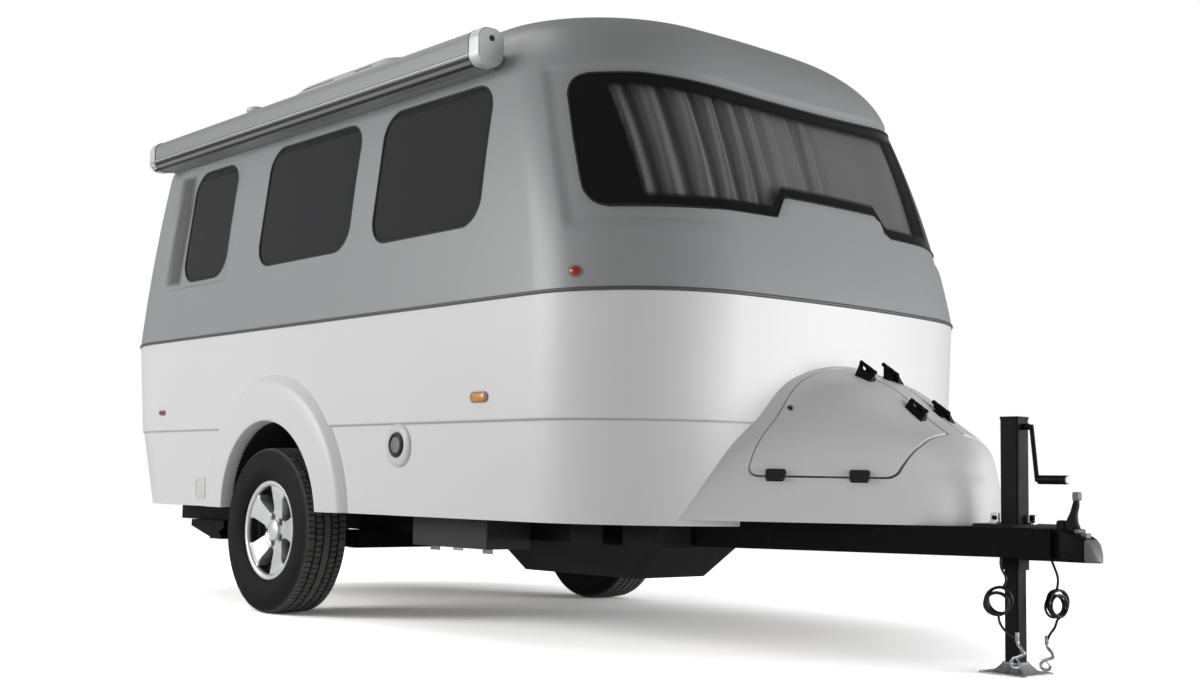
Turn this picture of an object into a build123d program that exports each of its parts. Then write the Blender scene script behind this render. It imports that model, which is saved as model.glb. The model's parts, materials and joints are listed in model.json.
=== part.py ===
from build123d import *
import math
import os

os.makedirs("parts", exist_ok=True)

# ---------------------------------------------------------------- driving dimensions (mm)
# +X points to the coupler, +Y to the left side, +Z up; the floor is z = 0 and x = 0 is mid length.
AXLE_X = -735
TYRE_RADIUS = 344
TYRE_WIDTH = 205
TRACK_HALF = 885
SILL_Z = 430
CREASE_Z = 776
BELT_Z = 1200
WALL = 30
BOW_RADIUS = 4200
COUPLER_TIP_X = 2525
FRAME_TOP = 450
MOVING_GAP = 6
DOOR_GAP = 10
ROOF_TOP = 2335
COOLER_TOP = 2600
BEYOND = 1200
SIDES = (("left", 1), ("right", -1))

# The lean of the walls at the eave, as inset per unit of rise: sides, nose and tail.
EAVE_SIDE_LEAN = 0.146
EAVE_NOSE_LEAN = 0.456
EAVE_TAIL_LEAN = 0.144

# Hull sections: height, half width, nose x, nose corner radius, tail x, tail corner radius,
# and the tilt in degrees of the surface's normal above level.
LOWER_HULL = (
    (SILL_Z, 963, 1535, 530, -2410, 680, 0),
    (CREASE_Z, 978, 1560, 530, -2485, 640, 0),
    (BELT_Z, 984, 1577, 530, -2510, 600, 0),
)
WALL_HULL = (
    (BELT_Z, 984, 1577, 530, -2510, 600, 0),
    (1600, 946, 1482, 546, -2478, 590, 0),
    (2016, 892, 1324, 564, -2428, 578, 0),
)
ROOF_RISE = 294
ROOF_SIDE_INSET = 294
ROOF_END_INSET = 426
ROOF_TILTS = (18, 36, 54, 72, 90)
CROWN = (ROOF_TOP, 250, 360, 200, -1560, 200, 90)


def roof_row(tilt):
    """One hull section of the roof's rounded edge, a quarter ellipse that goes on from the walls' lean."""
    eave, half_width, nose_x, nose_radius, tail_x, tail_radius, _ = WALL_HULL[-1]
    rise = ROOF_RISE * math.sin(math.radians(tilt))
    draw_in = 1 - math.cos(math.radians(tilt))
    return (
        eave + rise,
        half_width - ROOF_SIDE_INSET * draw_in - EAVE_SIDE_LEAN * rise,
        nose_x - ROOF_END_INSET * draw_in - EAVE_NOSE_LEAN * rise,
        nose_radius - ROOF_SIDE_INSET / 2 * draw_in,
        tail_x + ROOF_END_INSET * draw_in + EAVE_TAIL_LEAN * rise,
        tail_radius - ROOF_SIDE_INSET / 2 * draw_in,
        tilt,
    )


UPPER_HULL = WALL_HULL + tuple(roof_row(tilt) for tilt in ROOF_TILTS) + (CROWN,)


def bow_corner(half_width, apex_x, corner_radius, bow_radius, way):
    """Key points of one end of the hull outline, which is a bow arc between two corner arcs.

    Gives the joint of bow and corner, the corner's middle and the start of the straight side.
    """
    bow_centre = apex_x - way * bow_radius
    reach = math.sqrt((bow_radius - corner_radius) ** 2 - (half_width - corner_radius) ** 2)
    corner_centre = Vector(bow_centre + way * reach, half_width - corner_radius)
    start = math.atan2(half_width - corner_radius, reach)
    middle = (start + math.pi / 2) / 2
    joint = Vector(bow_centre + way * bow_radius * math.cos(start), bow_radius * math.sin(start))
    bend = corner_centre + Vector(way * corner_radius * math.cos(middle), corner_radius * math.sin(middle))
    return joint, bend, corner_centre + Vector(0, corner_radius)


def mirrored(point):
    """The same plan point on the right side."""
    return Vector(point.X, -point.Y)


def hull_outline(row, inset=0.0):
    """One closed hull section, drawn in the plan plane of its own height."""
    height, half_width, nose_x, nose_radius, tail_x, tail_radius, tilt = row
    level_inset = inset * math.cos(math.radians(tilt))
    drop = inset * math.sin(math.radians(tilt))
    width = half_width - level_inset
    bow = BOW_RADIUS - level_inset
    nose = bow_corner(width, nose_x - level_inset, nose_radius - level_inset, bow, 1)
    tail = bow_corner(width, tail_x + level_inset, tail_radius - level_inset, bow, -1)
    with BuildSketch(Plane.XY.offset(height - drop)) as outline:
        with BuildLine():
            ThreePointArc(mirrored(nose[0]), (nose_x - level_inset, 0), nose[0])
            ThreePointArc(nose[0], nose[1], nose[2])
            Line(nose[2], tail[2])
            ThreePointArc(tail[2], tail[1], tail[0])
            ThreePointArc(tail[0], (tail_x + level_inset, 0), mirrored(tail[0]))
            ThreePointArc(mirrored(tail[0]), mirrored(tail[1]), mirrored(tail[2]))
            Line(mirrored(tail[2]), mirrored(nose[2]))
            ThreePointArc(mirrored(nose[2]), mirrored(nose[1]), mirrored(nose[0]))
        make_face()
    return outline.sketch


def hull_solid(rows, inset=0.0):
    """The hull between its rows as a plain solid, drawn in by an inset."""
    with BuildPart(mode=Mode.PRIVATE) as block:
        loft([hull_outline(row, inset) for row in rows], ruled=True)
    return block.part


LOWER_OUTER = hull_solid(LOWER_HULL)
LOWER_INNER = hull_solid(LOWER_HULL, WALL)
UPPER_OUTER = hull_solid(UPPER_HULL)
UPPER_INNER = hull_solid(UPPER_HULL, WALL)

def finish(builder, name):
    """Label a finished piece and write its file."""
    builder.part.label = name
    export_step(builder.part, f"parts/{name}.step")


def side_plane(y=0.0):
    """A sketch plane facing +Y at a given y, with its own x along +X and its own y along +Z."""
    return Plane(origin=(0, y, 0), x_dir=(1, 0, 0), z_dir=(0, -1, 0))


# ---------------------------------------------------------------- windows and door
WINDOW_BOTTOM = 1468
WINDOW_TOP = 2000
WINDOW_CORNER = 105
WINDOW_Z = (WINDOW_BOTTOM + WINDOW_TOP) / 2
WINDOW_HEIGHT = WINDOW_TOP - WINDOW_BOTTOM
# Side windows: centre x, width, and the sides that have one.
SIDE_WINDOWS = (
    (321, 708, ("right",)),
    (-567, 742, ("left", "right")),
    (-1470, 420, ("left", "right")),
)
DOOR_X = 305
DOOR_WIDTH = 670
DOOR_BOTTOM = 500
DOOR_TOP = 1950
DOOR_CORNER = 90
DOOR_WINDOW = (305, 1695, 400, 440, 70)
# Lock and pull of the door: centre x and z, width, height and how far it stands out.
DOOR_HANDLE = (40, 1110, 70, 130, 30)
HANDLE_CORNER = 14
HANDLE_FACE_Y = 970
GLASS_DEPTH = 3
GLASS = 8
CURTAIN_DEPTH = 34
CURTAIN = 4
CURTAIN_RAIL = 16
CURTAIN_Y = (-800, 640)
CURTAIN_Z = (1462, 1992)
CURTAIN_BACK_X = 1120

FRONT_GLASS_BOTTOM = 1475
FRONT_GLASS_CORNER = 85
# Half width of the notch at its foot and at its head, and the height of its head.
FRONT_NOTCH = (305, 250, 1556)
# Height of the top edge in the middle and at its ends, and the half width of that arc.
FRONT_GLASS_TOP = (1930, 1973, 680)
# Where the window ends round the corners: x at the bottom and x at the top.
FRONT_GLASS_ENDS = (1190, 1000)
FRONT_GLASS_HALF = 1050
NOSE_SPACE = (900, 1700)
REAR_WINDOW = (0, 1700, 1000, 460, 110)


TAIL_PLANE = Plane(origin=(-2600, 0, 0), x_dir=(0, 1, 0), z_dir=(1, 0, 0))
TAIL_REACH = 400


def side_window_sketch(centre_x, width):
    """The rounded outline of a side window."""
    with BuildSketch(side_plane()) as outline:
        with Locations((centre_x, WINDOW_Z)):
            RectangleRounded(width, WINDOW_HEIGHT, WINDOW_CORNER)
    return outline.sketch


def door_sketch(shrink=0.0):
    """The door's rounded outline, made smaller all round by a gap."""
    with BuildSketch(side_plane()) as outline:
        with Locations((DOOR_X, (DOOR_BOTTOM + DOOR_TOP) / 2)):
            RectangleRounded(DOOR_WIDTH - 2 * shrink, DOOR_TOP - DOOR_BOTTOM - 2 * shrink, DOOR_CORNER - shrink)
    return outline.sketch


def door_window_sketch():
    """The outline of the door's own window."""
    x, z, width, height, corner = DOOR_WINDOW
    with BuildSketch(side_plane()) as outline:
        with Locations((x, z)):
            RectangleRounded(width, height, corner)
    return outline.sketch


def wall_cutter(sketch, side):
    """A prism of a side outline that goes through one side wall."""
    way = 1 if side == "left" else -1
    with BuildPart(mode=Mode.PRIVATE) as prism:
        extrude(sketch, amount=BEYOND, dir=(0, way, 0))
    return prism.part


def rear_window_cutter():
    """A prism of the rear window's outline, through the rear wall."""
    y, z, width, height, corner = REAR_WINDOW
    with BuildPart(mode=Mode.PRIVATE) as prism:
        with BuildSketch(TAIL_PLANE):
            with Locations((y, z)):
                RectangleRounded(width, height, corner)
        extrude(amount=TAIL_REACH)
    return prism.part


def front_window_cutter():
    """The front window's space: a front outline with the notch, met with a raked side outline."""
    foot, head, notch_z = FRONT_NOTCH
    crown_z, end_z, end_y = FRONT_GLASS_TOP
    bottom_end, top_end = FRONT_GLASS_ENDS
    back, front = NOSE_SPACE
    with BuildPart(mode=Mode.PRIVATE) as space:
        with BuildSketch(Plane(origin=(back, 0, 0), x_dir=(0, 1, 0), z_dir=(1, 0, 0))):
            with BuildLine():
                top = ThreePointArc((-end_y, end_z), (0, crown_z), (end_y, end_z))
                Polyline(
                    top @ 1,
                    (FRONT_GLASS_HALF, end_z),
                    (FRONT_GLASS_HALF, FRONT_GLASS_BOTTOM),
                    (foot, FRONT_GLASS_BOTTOM),
                    (head, notch_z),
                    (-head, notch_z),
                    (-foot, FRONT_GLASS_BOTTOM),
                    (-FRONT_GLASS_HALF, FRONT_GLASS_BOTTOM),
                    (-FRONT_GLASS_HALF, end_z),
                    top @ 0,
                )
            make_face()
        extrude(amount=front - back)
        with BuildSketch(side_plane(BEYOND)):
            with BuildLine():
                FilletPolyline(
                    (front, FRONT_GLASS_BOTTOM),
                    (bottom_end, FRONT_GLASS_BOTTOM),
                    (top_end, end_z),
                    (front, end_z),
                    radius=FRONT_GLASS_CORNER,
                )
                Line((front, end_z), (front, FRONT_GLASS_BOTTOM))
            make_face()
        extrude(amount=2 * BEYOND, mode=Mode.INTERSECT)
    return space.part


FRONT_WINDOW_SPACE = front_window_cutter()
REAR_WINDOW_SPACE = rear_window_cutter()

# ---------------------------------------------------------------- spaces cut through the shells
ARCH_RADIUS = 400
ARCH_Z = 395
TUB_INNER_Y = 700
TUB_WALL = 8
ARCH_FAR_Y = 1120
ARCH_CUT_Y = 600
ARCH_SKIRT = 300


def arch_space(radius, inner_y, way):
    """A half-round wheel arch, open below, from an inner y out past the side."""
    with BuildPart() as space:
        with BuildSketch(side_plane(ARCH_FAR_Y if way > 0 else -inner_y)):
            with Locations((AXLE_X, ARCH_Z)):
                Circle(radius)
            with Locations((AXLE_X, ARCH_Z - ARCH_SKIRT / 2)):
                Rectangle(2 * radius, ARCH_SKIRT)
        extrude(amount=ARCH_FAR_Y - inner_y)
    return space.part


def drawbar_space(way, grow=0.0):
    """The straight drawbar tube on one side, as a solid made larger by a margin."""
    run = Vector(DRAWBAR_FRONT[0] - DRAWBAR_REAR[0], way * (DRAWBAR_FRONT[1] - DRAWBAR_REAR[1]))
    start = Vector(DRAWBAR_REAR[0], way * DRAWBAR_REAR[1], FRAME_TOP - DRAWBAR_HEIGHT / 2)
    with BuildPart() as tube:
        with BuildSketch(Plane(origin=start, x_dir=(0, 0, 1), z_dir=(run.X, run.Y, 0))):
            Rectangle(DRAWBAR_HEIGHT + 2 * grow, DRAWBAR_WIDTH + 2 * grow)
        extrude(amount=run.length)
    return tube.part


RAIL_Y = 580
RAIL_WIDTH = 50
RAIL_HEIGHT = 100
RAIL_REAR_X = -2280
RAIL_Z_BOTTOM = FRAME_TOP - RAIL_HEIGHT
DRAWBAR_WIDTH = 50
DRAWBAR_HEIGHT = 90
DRAWBAR_REAR = (1180, 606)
DRAWBAR_FRONT = (2385, 48)
NOTCH_MARGIN = 2

SIDE_WINDOW_SPACES = [
    (side, wall_cutter(side_window_sketch(centre_x, width), side))
    for centre_x, width, on_sides in SIDE_WINDOWS
    for side in on_sides
]
DOOR_SPACE = wall_cutter(door_sketch(), "left")
DOOR_LEAF_SPACE = wall_cutter(door_sketch(DOOR_GAP), "left")
DOOR_WINDOW_SPACE = wall_cutter(door_window_sketch(), "left")
ARCH_SPACES = [arch_space(ARCH_RADIUS, ARCH_CUT_Y, way) for side, way in SIDES]
DRAWBAR_NOTCHES = [drawbar_space(way, NOTCH_MARGIN) for side, way in SIDES]
HULL_OUTER = LOWER_OUTER + UPPER_OUTER
HULL_INNER = LOWER_INNER + UPPER_INNER
GLASS_OUTER = hull_solid(UPPER_HULL, GLASS_DEPTH)
GLASS_INNER = hull_solid(UPPER_HULL, GLASS_DEPTH + GLASS)

# ---------------------------------------------------------------- body shells
with BuildPart() as lower_shell:
    add(LOWER_OUTER)
    add(LOWER_INNER, mode=Mode.SUBTRACT)
    for space in ARCH_SPACES + DRAWBAR_NOTCHES:
        add(space, mode=Mode.SUBTRACT)
    add(DOOR_SPACE, mode=Mode.SUBTRACT)
finish(lower_shell, "lower_shell")

with BuildPart() as upper_shell:
    add(UPPER_OUTER)
    add(UPPER_INNER, mode=Mode.SUBTRACT)
    add(FRONT_WINDOW_SPACE, mode=Mode.SUBTRACT)
    add(REAR_WINDOW_SPACE, mode=Mode.SUBTRACT)
    for side, space in SIDE_WINDOW_SPACES:
        add(space, mode=Mode.SUBTRACT)
    add(DOOR_SPACE, mode=Mode.SUBTRACT)
finish(upper_shell, "upper_shell")

FLOOR_THICKNESS = 40
floor_outline = hull_outline(LOWER_HULL[0], WALL).moved(Location((0, 0, FRAME_TOP - SILL_Z)))
with BuildPart() as floor_panel:
    with BuildSketch(Plane.XY.offset(FRAME_TOP)):
        add(floor_outline.moved(Location((0, 0, -FRAME_TOP))))
        for side, way in SIDES:
            with Locations((AXLE_X, way * (TUB_INNER_Y + ARCH_FAR_Y) / 2)):
                Rectangle(2 * (ARCH_RADIUS + TUB_WALL), ARCH_FAR_Y - TUB_INNER_Y, mode=Mode.SUBTRACT)
    extrude(amount=FLOOR_THICKNESS)
finish(floor_panel, "floor_panel")

for side, way in SIDES:
    tub_outside = arch_space(ARCH_RADIUS + TUB_WALL, TUB_INNER_Y, way)
    tub_inside = arch_space(ARCH_RADIUS, TUB_INNER_Y + TUB_WALL, way)
    with BuildPart() as wheel_tub:
        add(tub_outside)
        add(tub_inside, mode=Mode.SUBTRACT)
        split(bisect_by=Plane.XY.offset(SILL_Z), keep=Keep.TOP)
        add(LOWER_INNER, mode=Mode.INTERSECT)
    finish(wheel_tub, f"wheel_tub_{side}")

# Fender flares: a swollen band round each arch, revolved about an axis that leans outward at the top.
FLARE_CENTRE = (-715, 990, 405)
FLARE_INNER = ARCH_RADIUS - 8
FLARE_OUTER = 588
FLARE_LEAN = 3
FLARE_LIP = 12
# Depth of the flare's faces, measured inward from its own centre: root, lip, edge, crest and outer edge.
FLARE_ROOT = 50
FLARE_LIP_END = 6
FLARE_EDGE = -6
FLARE_CREST = (495, 4)
FLARE_FADE = 36
lean_sin = math.sin(math.radians(FLARE_LEAN))
lean_cos = math.cos(math.radians(FLARE_LEAN))
with BuildPart() as flare:
    with BuildSketch(Plane(origin=FLARE_CENTRE, x_dir=(1, 0, 0), z_dir=(0, -lean_sin, -lean_cos))):
        with BuildLine():
            rim = Line((FLARE_INNER, FLARE_ROOT), (FLARE_INNER, FLARE_LIP_END))
            lip = RadiusArc(rim @ 1, (FLARE_INNER + FLARE_LIP, FLARE_EDGE), FLARE_LIP)
            crest = ThreePointArc(lip @ 1, FLARE_CREST, (FLARE_OUTER, FLARE_FADE))
            Polyline(crest @ 1, (FLARE_OUTER, FLARE_ROOT), rim @ 0)
        make_face()
    revolve(axis=Axis(FLARE_CENTRE, (0, lean_cos, -lean_sin)))
    add(LOWER_OUTER, mode=Mode.SUBTRACT)
    split(bisect_by=Plane.XY.offset(SILL_Z), keep=Keep.TOP)
finish(flare, "fender_flare_left")
with BuildPart() as flare_right:
    add(mirror(flare.part, about=Plane.XZ))
finish(flare_right, "fender_flare_right")

BELT_PROUD = 6
BELT_HEIGHT = 14
with BuildPart() as belt_trim:
    with BuildSketch(Plane.XY.offset(BELT_Z - BELT_HEIGHT)):
        add(hull_outline(LOWER_HULL[2], -BELT_PROUD).moved(Location((0, 0, -BELT_Z))))
        add(hull_outline(LOWER_HULL[2]).moved(Location((0, 0, -BELT_Z))), mode=Mode.SUBTRACT)
    extrude(amount=BELT_HEIGHT)
    add(DOOR_SPACE, mode=Mode.SUBTRACT)
finish(belt_trim, "belt_trim")

# ---------------------------------------------------------------- glass, curtain and door
with BuildPart() as front_window:
    add(GLASS_OUTER)
    add(GLASS_INNER, mode=Mode.SUBTRACT)
    add(FRONT_WINDOW_SPACE, mode=Mode.INTERSECT)
finish(front_window, "front_window")

with BuildPart() as front_curtain:
    add(hull_solid(UPPER_HULL, CURTAIN_DEPTH))
    add(hull_solid(UPPER_HULL, CURTAIN_DEPTH + CURTAIN), mode=Mode.SUBTRACT)
    with BuildPart(mode=Mode.PRIVATE) as rail:
        add(UPPER_INNER)
        add(hull_solid(UPPER_HULL, CURTAIN_DEPTH + CURTAIN), mode=Mode.SUBTRACT)
        split(bisect_by=Plane.XY.offset(CURTAIN_Z[1] - CURTAIN_RAIL), keep=Keep.TOP)
    add(rail.part)
    with BuildPart(mode=Mode.PRIVATE) as curtain_space:
        with BuildSketch(Plane.XY.offset(CURTAIN_Z[0])):
            with Locations((CURTAIN_BACK_X + BEYOND / 2, sum(CURTAIN_Y) / 2)):
                Rectangle(BEYOND, CURTAIN_Y[1] - CURTAIN_Y[0])
        extrude(amount=CURTAIN_Z[1] - CURTAIN_Z[0])
    add(curtain_space.part, mode=Mode.INTERSECT)
finish(front_curtain, "front_curtain")

with BuildPart() as rear_window:
    add(GLASS_OUTER)
    add(GLASS_INNER, mode=Mode.SUBTRACT)
    add(REAR_WINDOW_SPACE, mode=Mode.INTERSECT)
finish(rear_window, "rear_window")

for side, way in SIDES:
    panes = Part() + [space for on_side, space in SIDE_WINDOW_SPACES if on_side == side]
    with BuildPart() as side_windows:
        add(GLASS_OUTER)
        add(GLASS_INNER, mode=Mode.SUBTRACT)
        add(panes, mode=Mode.INTERSECT)
    finish(side_windows, f"side_windows_{side}")

with BuildPart() as door_window:
    add(GLASS_OUTER)
    add(GLASS_INNER, mode=Mode.SUBTRACT)
    add(DOOR_WINDOW_SPACE, mode=Mode.INTERSECT)
finish(door_window, "door_window")

# Door hinges: barrels on the slanted hinge line beside the wall, with a leaf down to the wall on each side.
DOOR_HINGE_FOOT = (635, 1002.5, 950)
DOOR_HINGE_HEAD = (635, 983.5, 1450)
DOOR_HINGE_PLACES = (0, 1)
DOOR_BARREL = (8, 44)
DOOR_LEAF = (34, 9)


def door_hinge(place, way):
    """One half of a door hinge, in front of the line for way 1 and behind it for way -1."""
    foot, head = Vector(*DOOR_HINGE_FOOT), Vector(*DOOR_HINGE_HEAD)
    line = (head - foot).normalized()
    barrel_radius, barrel_length = DOOR_BARREL
    leaf_width, leaf_thickness = DOOR_LEAF
    start = foot + (head - foot) * place + line * (MOVING_GAP / 2 if way > 0 else -MOVING_GAP / 2 - barrel_length)
    with BuildPart() as half:
        with BuildSketch(Plane(origin=start, x_dir=(1, 0, 0), z_dir=line)):
            Circle(barrel_radius)
            with Locations((way * leaf_width / 2, barrel_radius - leaf_thickness / 2)):
                Rectangle(leaf_width, leaf_thickness)
            with Locations((way * (leaf_width + DOOR_GAP) / 2, -leaf_width / 2)):
                Rectangle(leaf_width - DOOR_GAP, leaf_width + barrel_radius)
        extrude(amount=barrel_length)
        add(HULL_OUTER, mode=Mode.SUBTRACT)
    return half.part


with BuildPart() as entry_door:
    with BuildSketch(Plane.XY.offset(BELT_Z - BELT_HEIGHT)):
        add(hull_outline(LOWER_HULL[2], -BELT_PROUD).moved(Location((0, 0, -BELT_Z))))
    extrude(amount=BELT_HEIGHT)
    add(HULL_OUTER)
    add(HULL_INNER, mode=Mode.SUBTRACT)
    add(DOOR_LEAF_SPACE, mode=Mode.INTERSECT)
    add(DOOR_WINDOW_SPACE, mode=Mode.SUBTRACT)
    handle_x, handle_z, handle_width, handle_height, handle_proud = DOOR_HANDLE
    with BuildSketch(side_plane(HANDLE_FACE_Y + handle_proud)):
        with Locations((handle_x, handle_z)):
            RectangleRounded(handle_width, handle_height, HANDLE_CORNER)
    extrude(amount=handle_proud)
    for place in DOOR_HINGE_PLACES:
        add(door_hinge(place, -1))
finish(entry_door, "entry_door")

with BuildPart() as door_hinges:
    for place in DOOR_HINGE_PLACES:
        add(door_hinge(place, 1))
finish(door_hinges, "door_hinges")

# ---------------------------------------------------------------- wheels
RIM_FLANGE_RADIUS = 207
RIM_SEAT_RADIUS = 190
RIM_WELL_RADIUS = 168
RIM_HALF_WIDTH = 78
RIM_WALL = 7
# Half sections of the rim barrel, from its edge to its middle: radius and distance from the middle plane.
RIM_OUTSIDE = (
    (RIM_FLANGE_RADIUS, RIM_HALF_WIDTH),
    (RIM_FLANGE_RADIUS, RIM_HALF_WIDTH - RIM_WALL),
    (RIM_SEAT_RADIUS, RIM_HALF_WIDTH - RIM_WALL),
    (RIM_SEAT_RADIUS - 2, 40),
    (RIM_WELL_RADIUS, 20),
)
RIM_INSIDE = (
    (RIM_SEAT_RADIUS - RIM_WALL, RIM_HALF_WIDTH),
    (RIM_SEAT_RADIUS - RIM_WALL - 2, 44),
    (RIM_WELL_RADIUS - RIM_WALL, 24),
)
HUB_RADIUS = 68
HUB_BORE_RADIUS = 42
SPOKE_COUNT = 5
SPOKE_START = 2
SPOKE_INNER_HALF = 27
SPOKE_OUTER_HALF = 46
SPOKE_ROOT = 40
SPOKE_TIP = RIM_WELL_RADIUS + 14
SPOKE_DEPTH = 30
LUG_CIRCLE = 57.15
LUG_RADIUS = 11
# Tyre outline, outboard half: radius and distance from the tyre's middle plane.
TYRE_BULGE_RADIUS = 262
TYRE_SHOULDER = (322, 95)
TYRE_SHOULDER_MID = (336, 91)
TREAD_HALF = 84
TREAD_CROWN = 3
GROOVE_PLACES = (-52, -18, 18, 52)
GROOVE_WIDTH = 9
GROOVE_DEPTH = 8
DRUM_RADIUS = 140
SPINDLE_RADIUS = 20
SPINDLE_BORE = SPINDLE_RADIUS + 0.08
WHEEL_FACE_Y = TRACK_HALF + 10
# Half section of drum, hub and cap: radius and distance outboard of the tyre's middle plane.
DRUM_SECTION = (
    (SPINDLE_BORE, -128),
    (60, -128),
    (60, -60),
    (DRUM_RADIUS - 12, -60),
    (DRUM_RADIUS - 12, -122),
    (DRUM_RADIUS, -122),
    (DRUM_RADIUS, -48),
    (DRUM_RADIUS - 30, -36),
    (78, -36),
    (78, WHEEL_FACE_Y - TRACK_HALF),
    (HUB_BORE_RADIUS, WHEEL_FACE_Y - TRACK_HALF),
    (HUB_BORE_RADIUS, 46),
    (HUB_BORE_RADIUS - 6, 54),
    (0, 56),
    (0, -8),
    (SPINDLE_BORE, -8),
)


def wheel_plane(way):
    """A plane through the axle line whose x is radial along +X and whose y is the outward axle direction."""
    return Plane(origin=(AXLE_X, 0, TYRE_RADIUS), x_dir=(1, 0, 0), z_dir=(0, 0, way))


AXLE_LINE = Axis((AXLE_X, 0, TYRE_RADIUS), (0, 1, 0))


for side, way in SIDES:
    section = wheel_plane(way)
    mid = TRACK_HALF
    with BuildPart() as tyre:
        with BuildSketch(section):
            with BuildLine():
                beads, shoulders, treads = [], [], []
                for out in (1, -1):
                    beads.append((RIM_SEAT_RADIUS, mid + out * (RIM_HALF_WIDTH - RIM_WALL)))
                    shoulders.append((TYRE_SHOULDER[0], mid + out * TYRE_SHOULDER[1]))
                    treads.append((TYRE_RADIUS - TREAD_CROWN, mid + out * TREAD_HALF))
                    ThreePointArc(beads[-1], (TYRE_BULGE_RADIUS, mid + out * TYRE_WIDTH / 2), shoulders[-1])
                    ThreePointArc(shoulders[-1], (TYRE_SHOULDER_MID[0], mid + out * TYRE_SHOULDER_MID[1]), treads[-1])
                ThreePointArc(treads[0], (TYRE_RADIUS, mid), treads[1])
                Line(*beads)
            make_face()
            with Locations(*[(TYRE_RADIUS - GROOVE_DEPTH / 2, mid + place) for place in GROOVE_PLACES]):
                Rectangle(GROOVE_DEPTH + 1, GROOVE_WIDTH, mode=Mode.SUBTRACT)
        revolve(axis=AXLE_LINE)
    finish(tyre, f"tyre_{side}")

    with BuildPart() as wheel_rim:
        with BuildSketch(section):
            with BuildLine():
                Polyline(
                    *[(radius, mid + offset) for radius, offset in RIM_OUTSIDE],
                    *[(radius, mid - offset) for radius, offset in reversed(RIM_OUTSIDE)],
                    *[(radius, mid - offset) for radius, offset in RIM_INSIDE],
                    *[(radius, mid + offset) for radius, offset in reversed(RIM_INSIDE)],
                    close=True,
                )
            make_face()
        revolve(axis=AXLE_LINE)
        spoke_angles = [SPOKE_START + 360 / SPOKE_COUNT * turn for turn in range(SPOKE_COUNT)]
        face = Plane(origin=(AXLE_X, way * WHEEL_FACE_Y, TYRE_RADIUS), x_dir=(1, 0, 0), z_dir=(0, -1, 0))
        with BuildSketch(face):
            Circle(HUB_RADIUS)
            for angle in spoke_angles:
                with Locations(Rotation(0, 0, angle)):
                    with BuildLine(mode=Mode.PRIVATE) as spoke:
                        Polyline(
                            (SPOKE_ROOT, -SPOKE_INNER_HALF),
                            (SPOKE_TIP, -SPOKE_OUTER_HALF),
                            (SPOKE_TIP, SPOKE_OUTER_HALF),
                            (SPOKE_ROOT, SPOKE_INNER_HALF),
                            close=True,
                        )
                    add(make_face(spoke.line, mode=Mode.PRIVATE))
        extrude(amount=SPOKE_DEPTH, dir=(0, way, 0))
        with BuildSketch(face):
            Circle(HUB_BORE_RADIUS)
            with PolarLocations(LUG_CIRCLE, SPOKE_COUNT, start_angle=SPOKE_START + 180 / SPOKE_COUNT):
                Circle(LUG_RADIUS)
        extrude(amount=2 * SPOKE_DEPTH, dir=(0, way, 0), mode=Mode.SUBTRACT)
    finish(wheel_rim, f"wheel_rim_{side}")

    with BuildPart() as brake_drum:
        with BuildSketch(section):
            with BuildLine():
                Polyline(*[(radius, mid + offset) for radius, offset in DRUM_SECTION], close=True)
            make_face()
        revolve(axis=AXLE_LINE)
    finish(brake_drum, f"brake_drum_{side}")

# ---------------------------------------------------------------- axle and chassis
BEAM_SIZE = 76
BEAM_X = AXLE_X + 170
BEAM_Z = RAIL_Z_BOTTOM - BEAM_SIZE / 2
BEAM_HALF = 660
ARM_Y = 676
ARM_THICKNESS = 28
ARM_BOSS = 34
ARM_SHAFT = (26, 70)
BEAM_WALL = 6
BEAM_CORNER = 8
BACKING_Y = TRACK_HALF - 137
BACKING = 5
BACKING_RADIUS = DRUM_RADIUS - 4
SPINDLE_COLLAR = 44
SPINDLE_END_Y = TRACK_HALF - 14
with BuildPart() as axle_beam:
    with BuildSketch(side_plane(BEAM_HALF)):
        with Locations((BEAM_X, BEAM_Z)):
            RectangleRounded(BEAM_SIZE, BEAM_SIZE, BEAM_CORNER)
            RectangleRounded(BEAM_SIZE - 2 * BEAM_WALL, BEAM_SIZE - 2 * BEAM_WALL, BEAM_CORNER / 2, mode=Mode.SUBTRACT)
    extrude(amount=2 * BEAM_HALF)
finish(axle_beam, "axle_beam")



def outboard_plane(x, y, z, way):
    """A sketch plane across the axle line that faces the middle of the trailer."""
    return Plane(origin=(x, way * y, z), x_dir=(1, 0, 0), z_dir=(0, -way, 0))


for side, way in SIDES:
    with BuildPart() as torsion_arm:
        with BuildSketch(outboard_plane(0, ARM_Y + ARM_THICKNESS / 2, 0, way)):
            with Locations((BEAM_X, way * BEAM_Z), (AXLE_X, way * TYRE_RADIUS)):
                Circle(ARM_BOSS)
            make_hull()
        extrude(amount=ARM_THICKNESS)
        with BuildSketch(outboard_plane(AXLE_X, SPINDLE_END_Y, TYRE_RADIUS, way)):
            Circle(SPINDLE_RADIUS)
        extrude(amount=SPINDLE_END_Y - ARM_Y)
        with BuildSketch(outboard_plane(BEAM_X, ARM_Y, BEAM_Z, way)):
            Circle(ARM_SHAFT[0])
        extrude(amount=ARM_SHAFT[1])
        with BuildSketch(outboard_plane(AXLE_X, BACKING_Y, TYRE_RADIUS, way)):
            Circle(BACKING_RADIUS)
        extrude(amount=BACKING)
        with BuildSketch(outboard_plane(AXLE_X, BACKING_Y, TYRE_RADIUS, way)):
            Circle(SPINDLE_COLLAR)
        extrude(amount=BACKING_Y - ARM_Y)
    finish(torsion_arm, f"torsion_arm_{side}")

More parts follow.
